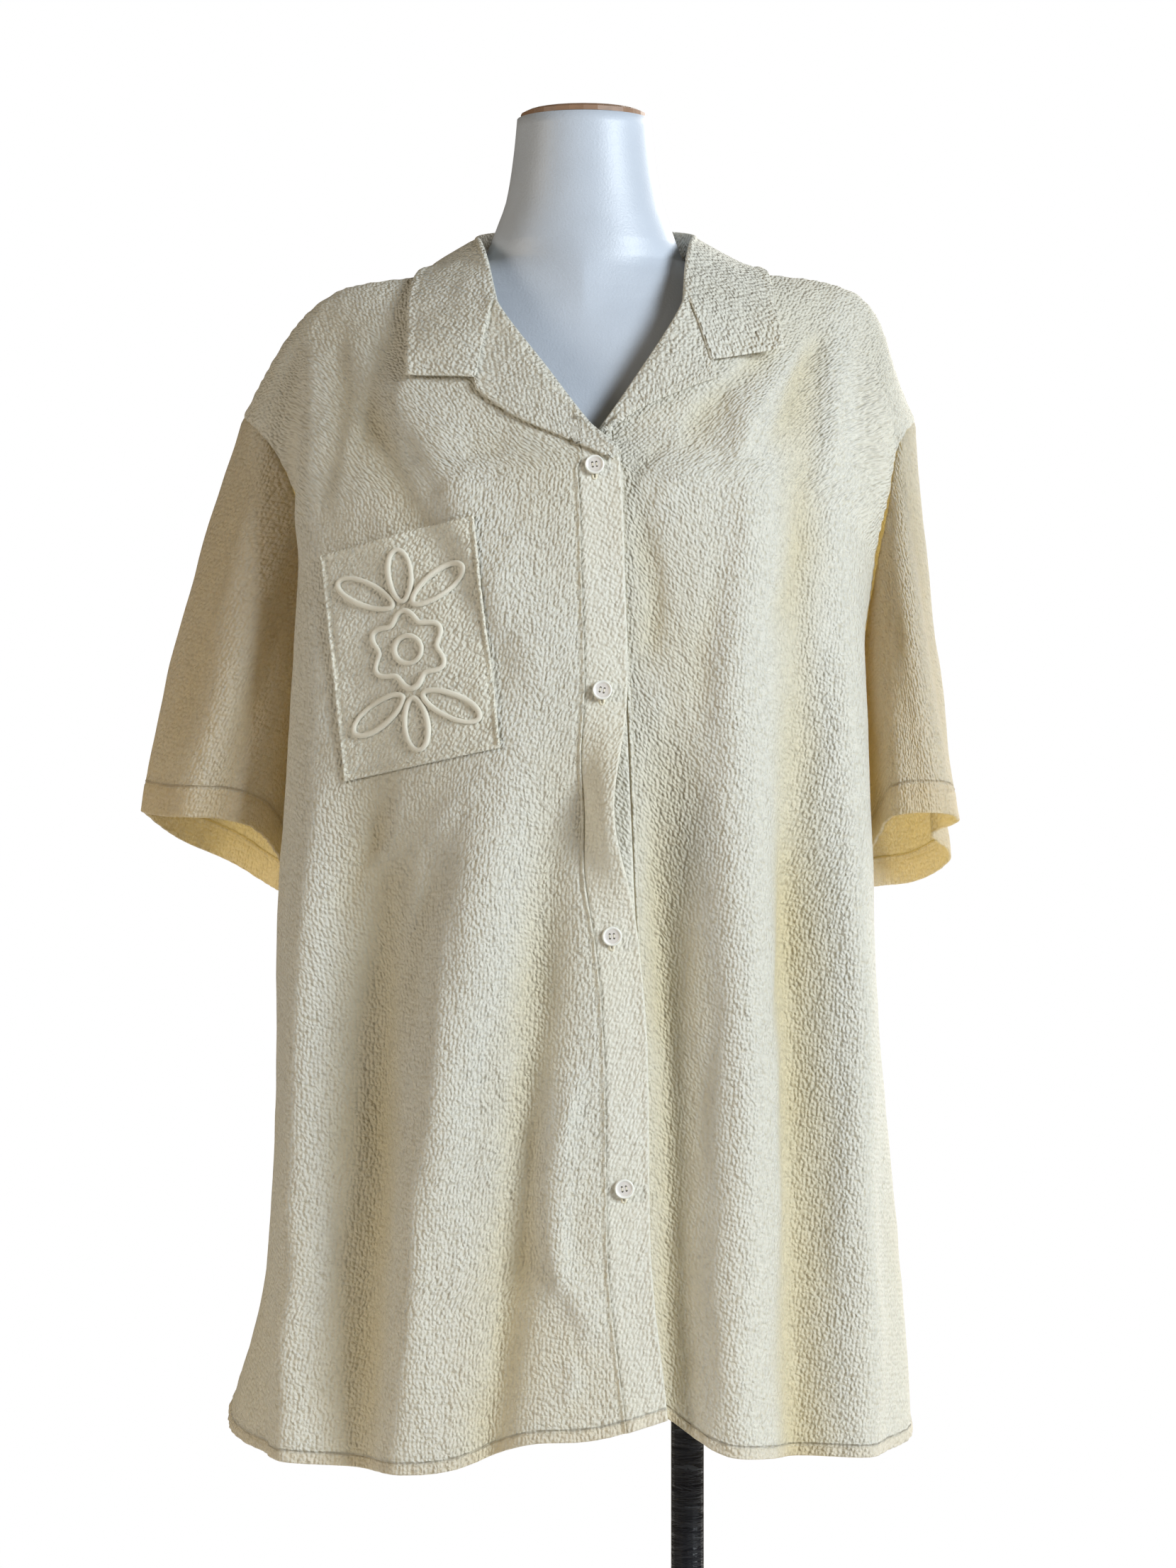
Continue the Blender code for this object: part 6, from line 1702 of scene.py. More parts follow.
def stitch_rows(name, lines, look):
    """Sews along lines of points: a plain mesh that rides on the part's body."""
    vertices, edges = [], []
    for line in lines:
        first = len(vertices)
        vertices += np.asarray(line).tolist()
        edges += [(first + i, first + i + 1) for i in range(len(line) - 1)]
    mesh = bpy.data.meshes.new(name + "_lines")
    mesh.from_pydata(vertices, edges, [])
    guide = linked(name + "_lines", mesh)
    sewn = guide.modifiers.new("stitches", "NODES")
    sewn.node_group = made_once("stitch_tree", stitch_tree)
    size = settings().stitches
    values = {"Stitch Length": size.stitch, "Stitch Gap": size.gap}
    values.update({"Thread Thickness": size.thread, "Thread": look})
    for item in sewn.node_group.interface.items_tree:
        if item.item_type == "SOCKET" and item.in_out == "INPUT" and item.name in values:
            sewn[item.identifier] = values[item.name]
    done = bpy.data.meshes.new_from_object(guide.evaluated_get(bpy.context.evaluated_depsgraph_get()))
    bpy.data.objects.remove(guide)
    done.name = name
    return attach(linked(name, done), "root")


MADE = {}


def made_once(name, function, *given):
    """Makes something the first time it is asked for."""
    if name not in MADE:
        MADE[name] = function(*given)
    return MADE[name]


# Surfaces that pieces share

def surfaces():
    """The fronts, their bands and the back, worked out once."""
    if "surfaces" not in MADE:
        right = FrontSurface(RIGHT_FRONT, RIGHT_FRONT_FOLDS, RIGHT_CREASES, RIGHT_HEM, -1, True)
        left = FrontSurface(LEFT_FRONT, LEFT_FRONT_FOLDS, LEFT_CREASES, LEFT_HEM, 1, False)
        MADE["surfaces"] = {
            "right": right,
            "left": left,
            "right_band": right.band(),
            "left_band": left.band(),
            "back": back_surface(right, left),
        }
    return MADE["surfaces"]


def tree_of(*names):
    """Search trees over the pieces that others lie on, built once."""
    key = "tree_" + "_".join(names)
    if key not in MADE:
        found = surfaces()
        grids = {name: found[name].points for name in ("right", "left")}
        grids.update({name: found[name][0] for name in ("right_band", "left_band", "back")})
        MADE[key] = surface_tree(*(grids[n][::2] for n in names))
    return MADE[key]


def crepes():
    """The crepe's materials: its warp runs down the body, aslant on the collar and the sleeves."""
    if "crepes" not in MADE:
        size = settings().cloth
        MADE["crepes"] = {
            "body": crepe("crepe_body", 8.0, hem=size.hem),
            "back": crepe("crepe_back", -6.0, hem=size.hem),
            "sleeve": crepe("crepe_sleeve", 4.0, glow=0.56, hem=size.cuff_hem),
            "collar": crepe("crepe_collar", 52.0, glow=0.22, height=1.5),
            "lapel": crepe("crepe_lapel", 34.0, glow=0.24, height=1.35),
            # The band and the pocket carry some painted fold shade all over
            "band": crepe("crepe_band", 20.0, glow=0.20, height=0.65, warm=0.001, hem=size.hem),
            "pocket": crepe("crepe_pocket", -38.0, glow=0.16, height=1.1, warm=0.003),
        }
    return MADE["crepes"]


def declared(obj, node, held, rests_on, flat, area):
    """Hides the CAD node that this cloth replaces; the object, how it is held, what it rests on and the size
    it was cut to are not used.
    """
    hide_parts(node)


def cloth_piece(name, surface, thickness, look, held, rests_on, cut, closed=False):
    """A wall of cloth from a surface's points, normals, fold heights and UVs."""
    points, normals, painted_fold_shade, uv = surface
    inner = points - normals * np.asarray(thickness)[..., None]
    obj = wall(f"shirt_{name}", points, inner, uv, painted_fold_shade, crepes()[look], closed)
    declared(obj, name, held, rests_on, *FLAT[cut])


class Step(bpy.types.Operator):
    """What the operators share"""

    bl_options = {"REGISTER", "UNDO"}


class SHIRT_OT_fronts(Step):
    """Build the two fronts and their button bands"""

    bl_idname = "shirt.fronts"
    bl_label = "Fronts and bands"

    def execute(self, context):
        size = settings().cloth
        for side in ("right", "left"):
            front = surfaces()[side]
            surface = (front.points, front.normals, front.height, front.uv)
            thick = size.one_layer * np.ones(front.points.shape[:2])
            thick += HEM_LAYER * (front.uv[..., 1] < size.hem)
            under = ["shirt_back", "dress_form"]
            cloth_piece(f"front_{side}", surface, thick, "body", "hung", under, f"front_{side}")
            surface = surfaces()[f"{side}_band"]
            thick = np.full(surface[0].shape[:2], size.two_layers)
            cloth_piece(f"band_{side}", surface, thick, "band", "hung", [f"shirt_front_{side}"], "band")
        return {"FINISHED"}


class SHIRT_OT_back(Step):
    """Build the back"""

    bl_idname = "shirt.back"
    bl_label = "Back"

    def execute(self, context):
        size = settings().cloth
        surface = surfaces()["back"][:4]
        thick = size.one_layer * np.ones(surface[0].shape[:2])
        thick += HEM_LAYER * (surface[3][..., 1] < size.hem)
        cloth_piece("back", surface, thick, "back", "hung", ["dress_form"], "back")
        return {"FINISHED"}


class SHIRT_OT_sleeves(Step):
    """Build the two sleeves"""

    bl_idname = "shirt.sleeves"
    bl_label = "Sleeves"

    def execute(self, context):
        size = settings().cloth
        edge = surfaces()["back"][4]
        for side, column, cuff, bow, pleat, creases in (
            ("right", 0, RIGHT_CUFF, RIGHT_SLEEVE_BOW, 0.0, RIGHT_SLEEVE_CREASES),
            ("left", -1, LEFT_CUFF, LEFT_SLEEVE_BOW, LEFT_SLEEVE_PLEAT, LEFT_SLEEVE_CREASES),
        ):
            *surface, up = sleeve_surface(surfaces()[side], edge[:, column], cuff, bow, pleat, creases)
            MADE[f"sleeve_{side}"] = surface[:2]
            thick = size.one_layer + CUFF_LAYER * (up < size.cuff_hem)
            under = [f"shirt_front_{side}", "shirt_back"]
            cloth_piece(f"sleeve_{side}", surface, thick, "sleeve", "hung", under, "sleeve", closed=True)
        return {"FINISHED"}


class SHIRT_OT_collar(Step):
    """Build the collar and the two lapels"""

    bl_idname = "shirt.collar"
    bl_label = "Collar and lapels"

    def execute(self, context):
        found = surfaces()
        tree = tree_of("right", "left", "back")
        *walls, uv, fall = collar_surface(found["right"], found["left"], found["back"][4], tree)
        under = ["shirt_front_right", "shirt_front_left", "shirt_back"]
        self.folded_piece("collar", walls, uv, "collar", under)
        notch = int(np.searchsorted(FALL_ROWS, NOTCH_ROW)) + 1
        for side, table, first, end in (
            ("right", RIGHT_LAPEL, RIGHT_LAPEL_START, 0),
            ("left", LEFT_LAPEL, LEFT_LAPEL_START, -1),
        ):
            tree = tree_of(side, f"{side}_band")
            *walls, uv = lapel_surface(found[side], table, first, tree, fall[:notch, end])
            self.folded_piece(f"lapel_{side}", walls, uv, "lapel", [f"shirt_front_{side}"])
        return {"FINISHED"}

    def folded_piece(self, name, walls, uv, look, rests_on):
        """Cloth folded over the neck, between its seen and its hidden face."""
        seen, hidden = walls
        obj = wall(f"shirt_{name}", seen, hidden, uv, np.zeros(seen.shape[:2]), crepes()[look])
        declared(obj, name, "folded", rests_on, *FLAT[look])


def pocket_surface():
    """The patch pocket on the right front: its points, normals and UVs."""
    if "pocket" not in MADE:
        edge = np.array(POCKET_EDGE) / POCKET_WIDTH
        ends = edge * POCKET_SHAPE
        u = np.concatenate([edge, np.linspace(edge[-1], 1 - edge[-1], 58)[1:-1], 1 - edge[::-1]])
        v = np.concatenate([ends, np.linspace(ends[-1], 1 - ends[-1], 84)[1:-1], 1 - ends[::-1]])
        uu, vv = u[None, :, None], v[:, None, None]
        places = (POCKET_TOP_OUTER, POCKET_TOP_INNER, POCKET_LOW_OUTER, POCKET_LOW_INNER)
        corners = [np.array((x, 0.0, z)) for x, z in places]
        top = corners[0] * (1 - uu) + corners[1] * uu
        flat = top * (1 - vv) + (corners[2] * (1 - uu) + corners[3] * uu) * vv
        sag = 0.0016 * np.sin(math.pi * uu[..., 0]) * ease((0.2 - vv[..., 0]) / 0.2)
        points = smoothed(forward_onto(flat, tree_of("right"), POCKET_LIFT + settings().cloth.one_layer), 10)
        normals = grid_normals(points, (-0.4, -1, 0))
        down, across = lengths(points), arc_lengths(points)
        from_side = np.minimum(across, across[:, -1:] - across)
        from_low = down[-1:] - down
        near = np.minimum(from_side, from_low)
        height = 0.0009 * bell(near - 0.0011, 0.0011) - 0.0006 * bell(near - 0.0034, 0.0012)
        height += 0.0004 * np.sin(down / 0.0017 + 2 * np.sin(down / 0.009)) * bell(from_side - 0.005, 0.005)
        height += 0.0006 * soft_noise(points, (0.016, 0.016, 0.012), 31) * ease(near / 0.01)
        height += 0.0010 * bell(down - 0.0014, 0.0012) + sag
        points = points + normals * height[..., None]
        MADE["pocket"] = (points, grid_normals(points, (-0.4, -1, 0)), np.stack([across, down], axis=-1))
    return MADE["pocket"]


class SHIRT_OT_pocket(Step):
    """Build the patch pocket and the cord design on it"""

    bl_idname = "shirt.pocket"
    bl_label = "Pocket and its cords"

    def execute(self, context):
        points, normals, uv = pocket_surface()
        thick = np.full(points.shape[:2], settings().cloth.one_layer)
        surface = (points, normals, np.zeros(thick.shape), uv)
        cloth_piece("pocket", surface, thick, "pocket", "laid", ["shirt_front_right"], "pocket")
        look = satin_cord()
        tree = surface_tree(points)
        middle = points.reshape(-1, 3).mean(axis=0)
        low, high = points[-1].mean(axis=0), points[0].mean(axis=0)
        lean = math.atan2(high[0] - low[0], high[2] - low[2])
        lines = {"flower": flower_line(FLOWERS[0]), "ring": flower_line(FLOWERS[1])}
        lines.update({f"leaf_{n + 1}": leaf_line(leaf) for n, leaf in enumerate(LEAVES)})
        for name, line in lines.items():
            obj = laid_cord(f"cord_{name}", line, tree, middle, lean, look)
            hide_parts(f"motif_{name}")
        return {"FINISHED"}


def flower_line(flower):
    """A flower's loop of points, by x and z."""
    turns = 2 * math.pi * np.arange(flower.points) / flower.points
    radius = flower.radius + flower.lobe * np.cos(flower.lobes * turns)
    return np.stack([flower.x + radius * np.sin(turns), flower.z + radius * np.cos(turns)], axis=1)


def leaf_line(leaf):
    """A leaf's loop of points, by x and z."""
    turns = 2 * math.pi * (np.arange(leaf.points) + 0.5) / leaf.points
    along = leaf.length * (1 - np.cos(turns)) / 2
    across = leaf.width / 2 * np.sin(turns) * (0.9 + 0.1 * (1 - np.cos(turns)))
    angle = math.radians(leaf.turn)
    x = leaf.x - along * math.sin(angle) + across * math.cos(angle)
    z = leaf.z + along * math.cos(angle) + across * math.sin(angle)
    return np.stack([x, z], axis=1)


def laid_cord(name, line, tree, middle, lean, look):
    """A closed loop of cord laid on the pocket, rounded above and sunk a little at its sides."""
    size = settings().stitches
    ahead = np.roll(line, -1, axis=0) - np.roll(line, 1, axis=0)
    side = unit_rows(np.stack([ahead[:, 1], -ahead[:, 0]], axis=1))
    run = np.concatenate([[0], np.cumsum(np.linalg.norm(np.diff(line, axis=0), axis=1))])
    count = len(line)
    thick = 1 + 0.16 * np.sin(run / 0.011 + count) * np.sin(math.pi * np.arange(count) / count)
    arc = np.linspace(0, math.pi, 9)
    profile = [(-0.5 * math.cos(a), math.sin(a) ** 0.8) for a in arc] + [(0.3, -0.25), (-0.3, -0.25)]
    vertices = []
    for point, out, wide in zip(line, side, thick):
        for place, height in profile:
            x, z = point + out * place * size.cord * wide
            turned_x = x * math.cos(lean) + z * math.sin(lean)
            turned_z = z * math.cos(lean) - x * math.sin(lean)
            lift = 0.0002 + height * size.cord_height * wide
            vertices.append(point_on(tree, middle[0] + turned_x, middle[2] + turned_z, lift))
    ring = len(profile)
    faces, corners = [], []
    ends = np.append(run, run[-1] + np.linalg.norm(line[0] - line[-1]))
    for i in range(count):
        k = (i + 1) % count
        for j in range(ring):
            m = (j + 1) % ring
            faces.append((i * ring + j, i * ring + m, k * ring + m, k * ring + j))
            a, b = j * 0.0004, (j + 1) * 0.0004
            corners += [(a, ends[i] + a), (b, ends[i] + b), (b, ends[i + 1] + b), (a, ends[i + 1] + a)]
    mesh = bpy.data.meshes.new(name)
    mesh.from_pydata(vertices, [], faces)
    mesh.uv_layers.new(name="cloth").data.foreach_set("uv", np.array(corners, np.float32).reshape(-1))
    outwards(mesh)
    return placed_object(name, mesh, look)


def outwards(mesh):
    """Points the faces of a closed mesh outwards."""
    work = bmesh.new()
    work.from_mesh(mesh)
    bmesh.ops.recalc_face_normals(work, faces=work.faces)
    work.to_mesh(mesh)
    work.free()


def turned_mesh(name, profile, count):
    """A closed mesh of revolution about +Z; profile is (radius, z) from the bottom's middle to the top's."""
    vertices, faces = [(0.0, 0.0, profile[0][1])], []
    for radius, z in profile[1:-1]:
        for j in range(count):
            a = 2 * math.pi * j / count
            vertices.append((radius * math.cos(a), radius * math.sin(a), z))
    vertices.append((0.0, 0.0, profile[-1][1]))
    last = len(vertices) - 1
    rings = len(profile) - 2
    for j in range(count):
        k = (j + 1) % count
        faces.append((0, 1 + k, 1 + j))
        for i in range(rings - 1):
            a = 1 + i * count
            faces.append((a + j, a + k, a + count + k, a + count + j))
        top = 1 + (rings - 1) * count
        faces.append((top + j, top + k, last))
    mesh = bpy.data.meshes.new(name)
    mesh.from_pydata(vertices, [], faces)
    return mesh


class SHIRT_OT_buttons(Step):
    """Build the four buttons, their thread and their buttonholes"""

    bl_idname = "shirt.buttons"
    bl_label = "Buttons and buttonholes"

    def execute(self, context):
        rim = pearl("button_rim", tuple(settings().colours.button_rim), 0.28)
        face = pearl("button_face", tuple(settings().colours.button), 0.34)
        dark = plain("button_hole_shade", (0.070, 0.050, 0.034, 1.0), 0.9)
        # The slit's dark colour is painted shade
        slit = plain("buttonhole_slit_shade", (0.30, 0.27, 0.20, 1.0), 0.9)
        thread = made_once("thread", thread_material)
        tree = tree_of("right_band")
        line = self.button_line()
        for number, height in enumerate(BUTTON_HEIGHTS):
            found = line[int(np.argmin(np.abs(line[:, 2] - height)))]
            normal = Vector(found[3:6]).normalized()
            low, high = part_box(f"button_{number + 1}")
            place = (low + high) / 2 - normal * 0.5 * BUTTON_THICKNESS
            up = Vector((0, 0, 1)) - normal * normal.z
            turn = Matrix((up.cross(normal).normalized(), up.normalized(), normal)).transposed().to_4x4()
            turned = Matrix.Rotation(math.radians(BUTTON_TURNS[number]), 4, "Z")
            pose = Matrix.Translation(place) @ turn @ turned
            obj = self.button(f"shirt_button_{number + 1}", pose, (rim, face, dark), thread)
            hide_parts(f"button_{number + 1}")
            self.buttonhole(f"shirt_buttonhole_{number + 1}", place, tree, slit, thread)
        return {"FINISHED"}

    def button_line(self):
        """The line that the buttons sit on, up the right front."""
        rows = surfaces()["right"].at_levels(np.linspace(0, BREAK_LEVEL, 200))
        return read_rows(rows, np.full((len(rows), 1), BUTTON_FROM_EDGE))[:, 0]

    def cut_button(self, name, looks):
        """A button's mesh with its four holes cut out; looks are its rim, its face and its holes."""
        radius = BUTTON_DIAMETER / 2
        mesh = turned_mesh(name, [(r * radius, z * BUTTON_THICKNESS) for r, z in BUTTON_PROFILE], BUTTON_SIDES)
        holes = bpy.data.meshes.new(name + "_holes")
        level = WELL_LEVEL * BUTTON_THICKNESS - 0.0003
        work = bmesh.new()
        for x, y in ((1, 1), (1, -1), (-1, 1), (-1, -1)):
            bmesh.ops.create_cone(
                work, cap_ends=True, segments=HOLE_SIDES, depth=HOLE_DEPTH, radius1=HOLE_RADIUS,
                radius2=HOLE_RADIUS, matrix=Matrix.Translation((x * HOLE_ASIDE, y * HOLE_ASIDE, level)),
            )
        work.to_mesh(holes)
        work.free()
        for look in looks:
            mesh.materials.append(look)
            holes.materials.append(looks[-1])
        holes.polygons.foreach_set("material_index", [2] * len(holes.polygons))
        body, cutter = linked(name, mesh), linked(name + "_holes", holes)
        cut = body.modifiers.new("holes", "BOOLEAN")
        cut.operation, cut.object, cut.solver = "DIFFERENCE", cutter, "EXACT"
        cut.material_mode = "INDEX"
        done = bpy.data.meshes.new_from_object(body.evaluated_get(bpy.context.evaluated_depsgraph_get()))
        for obj in (body, cutter):
            bpy.data.objects.remove(obj)
        return done

    def button(self, name, pose, looks, thread):
        """A sewn button, put in its place."""
        done = self.cut_button(name, looks)
        work = bmesh.new()
        work.from_mesh(done)
        for f in work.faces:
            middle = f.calc_center_median()
            in_well = math.hypot(middle.x, middle.y) < WELL_REACH * BUTTON_DIAMETER / 2
            if f.material_index != 2:
                f.material_index = int(in_well and middle.z > 0.3 * BUTTON_THICKNESS)
        for v in (-1, 1):
            self.thread_bar(work, v * HOLE_ASIDE, 3)
        work.to_mesh(done)
        work.free()
        done.transform(pose)
        done.name = name
        done.materials.append(thread)
        done.shade_smooth()
        done.set_sharp_from_angle(angle=math.radians(SHARP_FROM))
        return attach(linked(name, done), "root")

    def thread_bar(self, work, x, look):
        """Thread that crosses from one hole to the next and dips into both."""
        top = WELL_LEVEL * BUTTON_THICKNESS
        half = [(0.00140, -0.0007), (0.0011, -0.0001), (0.0, THREAD_HALF_HEIGHT)]
        path = [(-y, top + rise) for y, rise in half] + [(y, top + rise) for y, rise in half[1::-1]]
        turns = [2 * math.pi * k / THREAD_SIDES for k in range(THREAD_SIDES)]
        rings = []
        for y, z in path:
            ring = []
            for a in turns:
                place = (x + THREAD_HALF_WIDTH * math.cos(a), y, z + THREAD_HALF_HEIGHT * math.sin(a))
                ring.append(work.verts.new(place))
            rings.append(ring)
        faces = [work.faces.new(rings[0]), work.faces.new(rings[-1][::-1])]
        for a, b in zip(rings, rings[1:]):
            for j in range(THREAD_SIDES):
                k = (j + 1) % THREAD_SIDES
                faces.append(work.faces.new((a[j], b[j], b[k], a[k])))
        for f in faces:
            f.material_index = look
        bmesh.ops.recalc_face_normals(work, faces=faces)

    def buttonhole(self, name, place, tree, slit, thread):
        """An upright buttonhole: a slit with a ring of close stitches round it and a dark strip of painted
        shade in it.
        """
        centre = place.z - SLIT_DROP
        straight = SLIT_REACH - SLIT_HALF_WIDTH
        turns = np.linspace(0, 2 * math.pi, SLIT_STITCHES, endpoint=False)
        rise = np.sin(turns)
        along = np.sign(rise) * straight * np.clip(np.abs(rise) * 3, 0, 1) + SLIT_HALF_WIDTH * rise
        path = np.stack([place.x + SLIT_HALF_WIDTH * np.cos(turns), along + centre], axis=1)
        ahead = unit_rows(np.roll(path, -1, axis=0) - np.roll(path, 1, axis=0))
        side = np.stack([ahead[:, 1], -ahead[:, 0]], axis=1)
        vertices, faces = [], []
        ring = SLIT_BEAD_SIDES
        for i, (point, out) in enumerate(zip(path, side)):
            swell = 1 + 0.22 * math.sin(i * 1.9)
            for j in range(ring):
                a = 2 * math.pi * j / ring
                x, z = point + out * SLIT_BEAD * swell * math.cos(a)
                vertices.append(point_on(tree, x, z, 0.0001 + 0.0005 * swell * math.sin(a)))
        count = len(path)
        for i in range(count):
            a, b = i * ring, (i + 1) % count * ring
            for j in range(ring):
                m = (j + 1) % ring
                faces.append((a + j, a + m, b + m, b + j))
        looks = [0] * len(faces)
        # The dark strip of painted shade in the slit
        rows, sides = SLIT_ROWS, len(SLIT_SHADE_STRIP)
        first = len(vertices)
        for i in range(rows):
            z = centre - straight + 2 * straight * i / (rows - 1)
            for x, lift in SLIT_SHADE_STRIP:
                vertices.append(point_on(tree, place.x + x, z, lift))
        for i in range(rows - 1):
            for j in range(sides):
                a, b = first + i * sides + j, first + i * sides + (j + 1) % sides
                faces.append((a, b, b + sides, a + sides))
        for start in (first, first + (rows - 1) * sides):
            faces.append(tuple(start + j for j in range(sides)))
        looks += [1] * (len(faces) - len(looks))
        mesh = bpy.data.meshes.new(name)
        mesh.from_pydata(vertices, [], faces)
        mesh.polygons.foreach_set("material_index", looks)
        outwards(mesh)
        placed_object(name, mesh, thread, slit)


def inset_line(points, normals, distances, step=1, lift=0.0002):
    """A line on a surface: for each row, the point at that distance from the row's start."""
    rows = np.concatenate([points, normals], axis=-1)
    found = read_rows(rows, np.asarray(distances)[:, None])[:, 0]
    return (found[:, :3] + unit_rows(found[:, 3:]) * lift)[::step]


def hem_stitches(points, normals, distance):
    """A line along a piece at one distance up from its hem."""
    columns, ways = points.swapaxes(0, 1), normals.swapaxes(0, 1)
    return inset_line(columns, ways, np.full(len(columns), distance))


class SHIRT_OT_stitches(Step):
    """Sew the hems, the bands' seams and the pocket's edges"""

    bl_idname = "shirt.stitches"
    bl_label = "Stitches"

    def execute(self, context):
        look = made_once("thread", thread_material)
        size = settings().cloth
        lines = [hem_stitches(*panel, size.hem - HEM_STITCH) for panel in self.panels()]
        stitch_rows("stitches_bottom_hem", lines, look)
        lines = []
        for side in ("right", "left"):
            points, normals = MADE[f"sleeve_{side}"]
            lines.append(hem_stitches(points, normals, size.cuff_hem - HEM_STITCH))
            lines.append(hem_stitches(points - normals * 0.0022, -normals, size.cuff_hem - HEM_STITCH))
        stitch_rows("stitches_sleeve_hems", lines, look)
        lines = []
        for side in ("right", "left"):
            front = surfaces()[side]
            rows = front.levels < BREAK_LEVEL + 0.02
            away = np.full(rows.sum(), BAND_STITCH)
            lines.append(inset_line(front.points[rows], front.normals[rows], away, 3))
        stitch_rows("stitches_bands", lines, look)
        points, normals, _ = pocket_surface()
        left = inset_line(points, normals, np.full(len(points), POCKET_STITCH))
        right = inset_line(points, normals, arc_lengths(points)[:, -1] - POCKET_STITCH)
        columns, ways = points.swapaxes(0, 1), normals.swapaxes(0, 1)
        foot = inset_line(columns, ways, arc_lengths(columns)[:, -1] - POCKET_STITCH)
        stitch_rows("stitches_pocket", [left, right, foot], look)
        return {"FINISHED"}

    def panels(self):
        """Points and normals of every piece that the bottom hem runs through."""
        for side in ("right", "left"):
            front = surfaces()[side]
            yield front.points, front.normals
            yield surfaces()[f"{side}_band"][:2]
        yield surfaces()["back"][:2]


class FORM_OT_body(Step):
    """Build the limbless form and finish its cap"""

    bl_idname = "shirt.form"
    bl_label = "Dress form"

    def execute(self, context):
        rings = self.rings(FORM_COLUMNS)
        count, total = rings.shape[1], len(rings)
        points = rings.reshape(-1, 3).tolist()
        faces = []
        for i in range(total - 1):
            for j in range(count):
                k = (j + 1) % count
                faces.append((i * count + j, i * count + k, (i + 1) * count + k, (i + 1) * count + j))
        for ring, flip in ((0, True), (total - 1, False)):
            centre = rings[ring].mean(axis=0)
            points.append(centre.tolist())
            for j in range(count):
                a, b = ring * count + j, ring * count + (j + 1) % count
                faces.append((b, a, len(points) - 1) if flip else (a, b, len(points) - 1))
        mesh = bpy.data.meshes.new("dress_form")
        mesh.from_pydata(points, [], faces)
        outwards(mesh)
        look = handled("form_covering", tuple(settings().colours.form), 0.42, 0.04, 0.006, 0.0004)
        form = placed_object("dress_form", mesh, look)
        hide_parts("form")
        relook("form_cap", wood())
        return {"FINISHED"}

    def rings(self, count):
        """Rings of points from the bottom to the neck, with a small ring in each end."""
        heights = [t.z for t in TORSO]
        levels = np.unique(np.concatenate([np.linspace(heights[0], heights[-1], FORM_ROWS), heights]))
        found = through_rows(heights, np.array([t[1:] for t in TORSO]), levels, arrive_level=False)
        angles = 2 * math.pi * np.arange(count) / count
        c, s = np.cos(angles), np.sin(angles)
        rings = []
        for z, (half_width, front, back, squareness) in zip(levels, found):
            power = 2 / squareness
            x = half_width * np.sign(c) * np.abs(c) ** power
            y = np.where(s < 0, front, back) * np.sign(s) * np.abs(s) ** power
            rings.append(np.stack([x, y, np.full(count, z)], axis=1))
        low = rings[0] * (0.96, 0.96, 1) + (0, 0, -0.0015)
        high = rings[-1] * (0.97, 0.97, 1) + (0, 0, 0.0002)
        return np.array([low] + rings + [high])


def relook(node, look):
    """Gives a CAD node one material."""
    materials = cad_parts[node].data.materials
    materials.clear()
    materials.append(look)


class STAND_OT_finish(Step):
    """Finish the pole, its socket and the base"""

    bl_idname = "shirt.stand"
    bl_label = "Stand"

    def execute(self, context):
        metal = tuple(settings().colours.metal)
        painted = handled("painted_steel", metal, 0.34, 0.25, 0.010, 0.0004, coat=0.3)
        for node, look in (("pole", wrapped_pole()), ("socket", painted), ("base", painted)):
            relook(node, look)
        return {"FINISHED"}


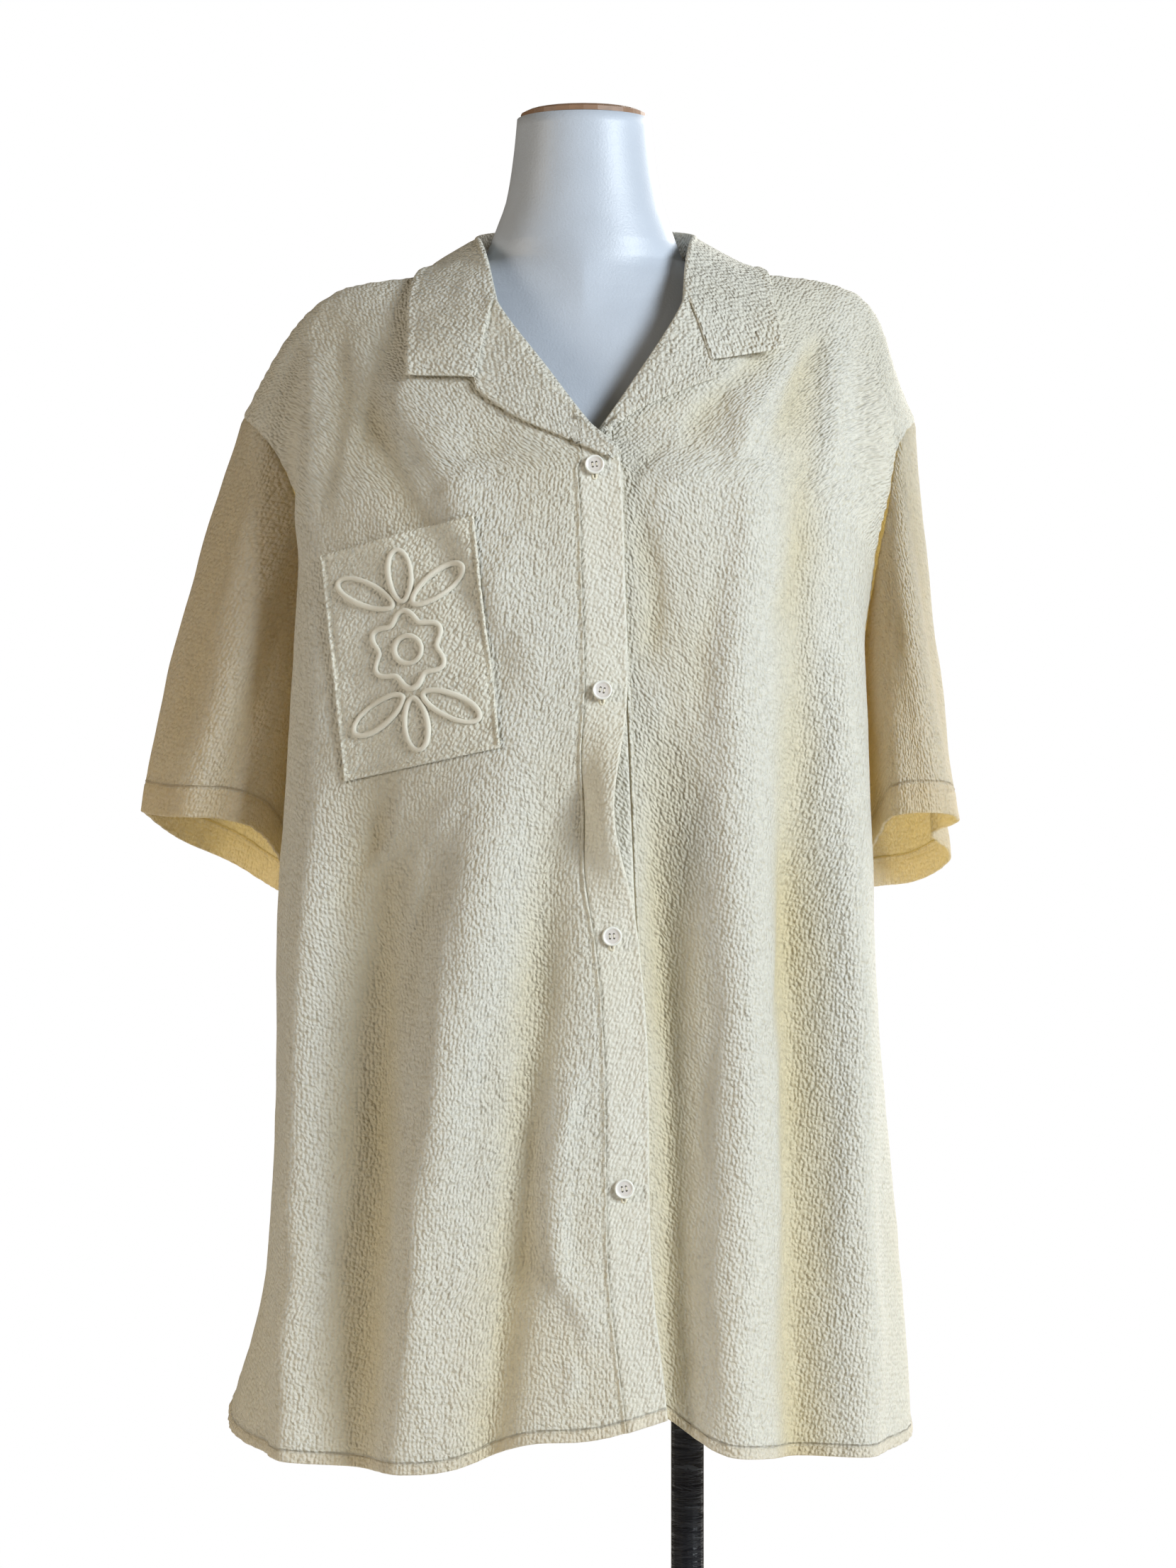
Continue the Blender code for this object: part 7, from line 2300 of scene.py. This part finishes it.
class STUDIO_OT_stage(Step):
    """Set the pale floor, the soft lights and the camera"""

    bl_idname = "shirt.stage"
    bl_label = "Stage"

    def execute(self, context):
        scene = context.scene
        scene.view_settings.view_transform = "Standard"
        self.surroundings(scene)
        mesh = bpy.data.meshes.new("floor")
        work = bmesh.new()
        bmesh.ops.create_circle(work, cap_ends=True, segments=64, radius=FLOOR_RADIUS)
        work.to_mesh(mesh)
        work.free()
        mesh.materials.append(plain("pale_floor", (0.86, 0.86, 0.85, 1.0), 0.7))
        floor = linked("floor", mesh)
        floor.location.z = -FLOOR_DROP
        for name, place, aim, size, power, tone in LIGHTS:
            lamp = bpy.data.lights.new(name, "AREA")
            lamp.shape, lamp.size, lamp.size_y = "RECTANGLE", size[0], size[1]
            lamp.energy, lamp.color = power * settings().light.key, tone
            obj = linked(name, lamp)
            obj.location = place
            obj.rotation_euler = (Vector(aim) - Vector(place)).to_track_quat("-Z", "Y").to_euler()
        camera = bpy.data.cameras.new("camera")
        camera.sensor_fit, camera.sensor_height, camera.lens = "VERTICAL", CAMERA_SENSOR, CAMERA_LENS
        camera.clip_start, camera.clip_end = 0.05, 60.0
        eye = linked("camera", camera)
        eye.location, eye.rotation_euler = CAMERA_PLACE, (math.radians(90), 0.0, 0.0)
        scene.camera = eye
        return {"FINISHED"}

    def surroundings(self, scene):
        """A weak warm light from all round, behind a backdrop that the camera sees as white."""
        world = bpy.data.worlds.new("studio")
        scene.world = world
        world.use_nodes = True
        t = Tree(world.node_tree)
        seen = t.add("ShaderNodeLightPath").outputs["Is Camera Ray"]
        even = t.add("ShaderNodeBackground", [(0, EVEN_LIGHT), (1, EVEN_STRENGTH * settings().light.fill)])
        white = t.add("ShaderNodeBackground", [(0, (1.0, 1.0, 1.0, 1.0)), (1, 1.0)])
        mixed = t.add("ShaderNodeMixShader", [(0, seen), (1, even.outputs[0]), (2, white.outputs[0])])
        t.join(mixed.outputs[0], world.node_tree.nodes["World Output"].inputs["Surface"])


OPERATORS = (
    SHIRT_OT_fronts, SHIRT_OT_back, SHIRT_OT_sleeves, SHIRT_OT_collar, SHIRT_OT_pocket, SHIRT_OT_buttons,
    SHIRT_OT_stitches, FORM_OT_body, STAND_OT_finish, STUDIO_OT_stage,
)


class SHIRT_PT_pieces(bpy.types.Panel):
    """Builds the shirt piece by piece"""

    bl_label = "Shirt"
    bl_space_type = "VIEW_3D"
    bl_region_type = "UI"
    bl_category = "Shirt"

    def draw(self, context):
        for group in ("cloth", "stitches", "colours", "light"):
            box = self.layout.box()
            for name in getattr(settings(), group).bl_rna.properties.keys():
                if name not in ("rna_type", "name"):
                    box.prop(getattr(settings(), group), name)
        for operator in OPERATORS:
            self.layout.operator(operator.bl_idname)


CLASSES = (ClothSizes, StitchSizes, PartColours, StudioLight, ShirtSettings) + OPERATORS + (SHIRT_PT_pieces,)


def register():
    for kind in CLASSES:
        bpy.utils.register_class(kind)
    bpy.types.Scene.crinkle_shirt = bpy.props.PointerProperty(type=ShirtSettings)


def unregister():
    del bpy.types.Scene.crinkle_shirt
    for kind in reversed(CLASSES):
        bpy.utils.unregister_class(kind)


def main():
    register()
    for operator in OPERATORS:
        group, name = operator.bl_idname.split(".")
        getattr(getattr(bpy.ops, group), name)()


if __name__ == "__main__":
    main()
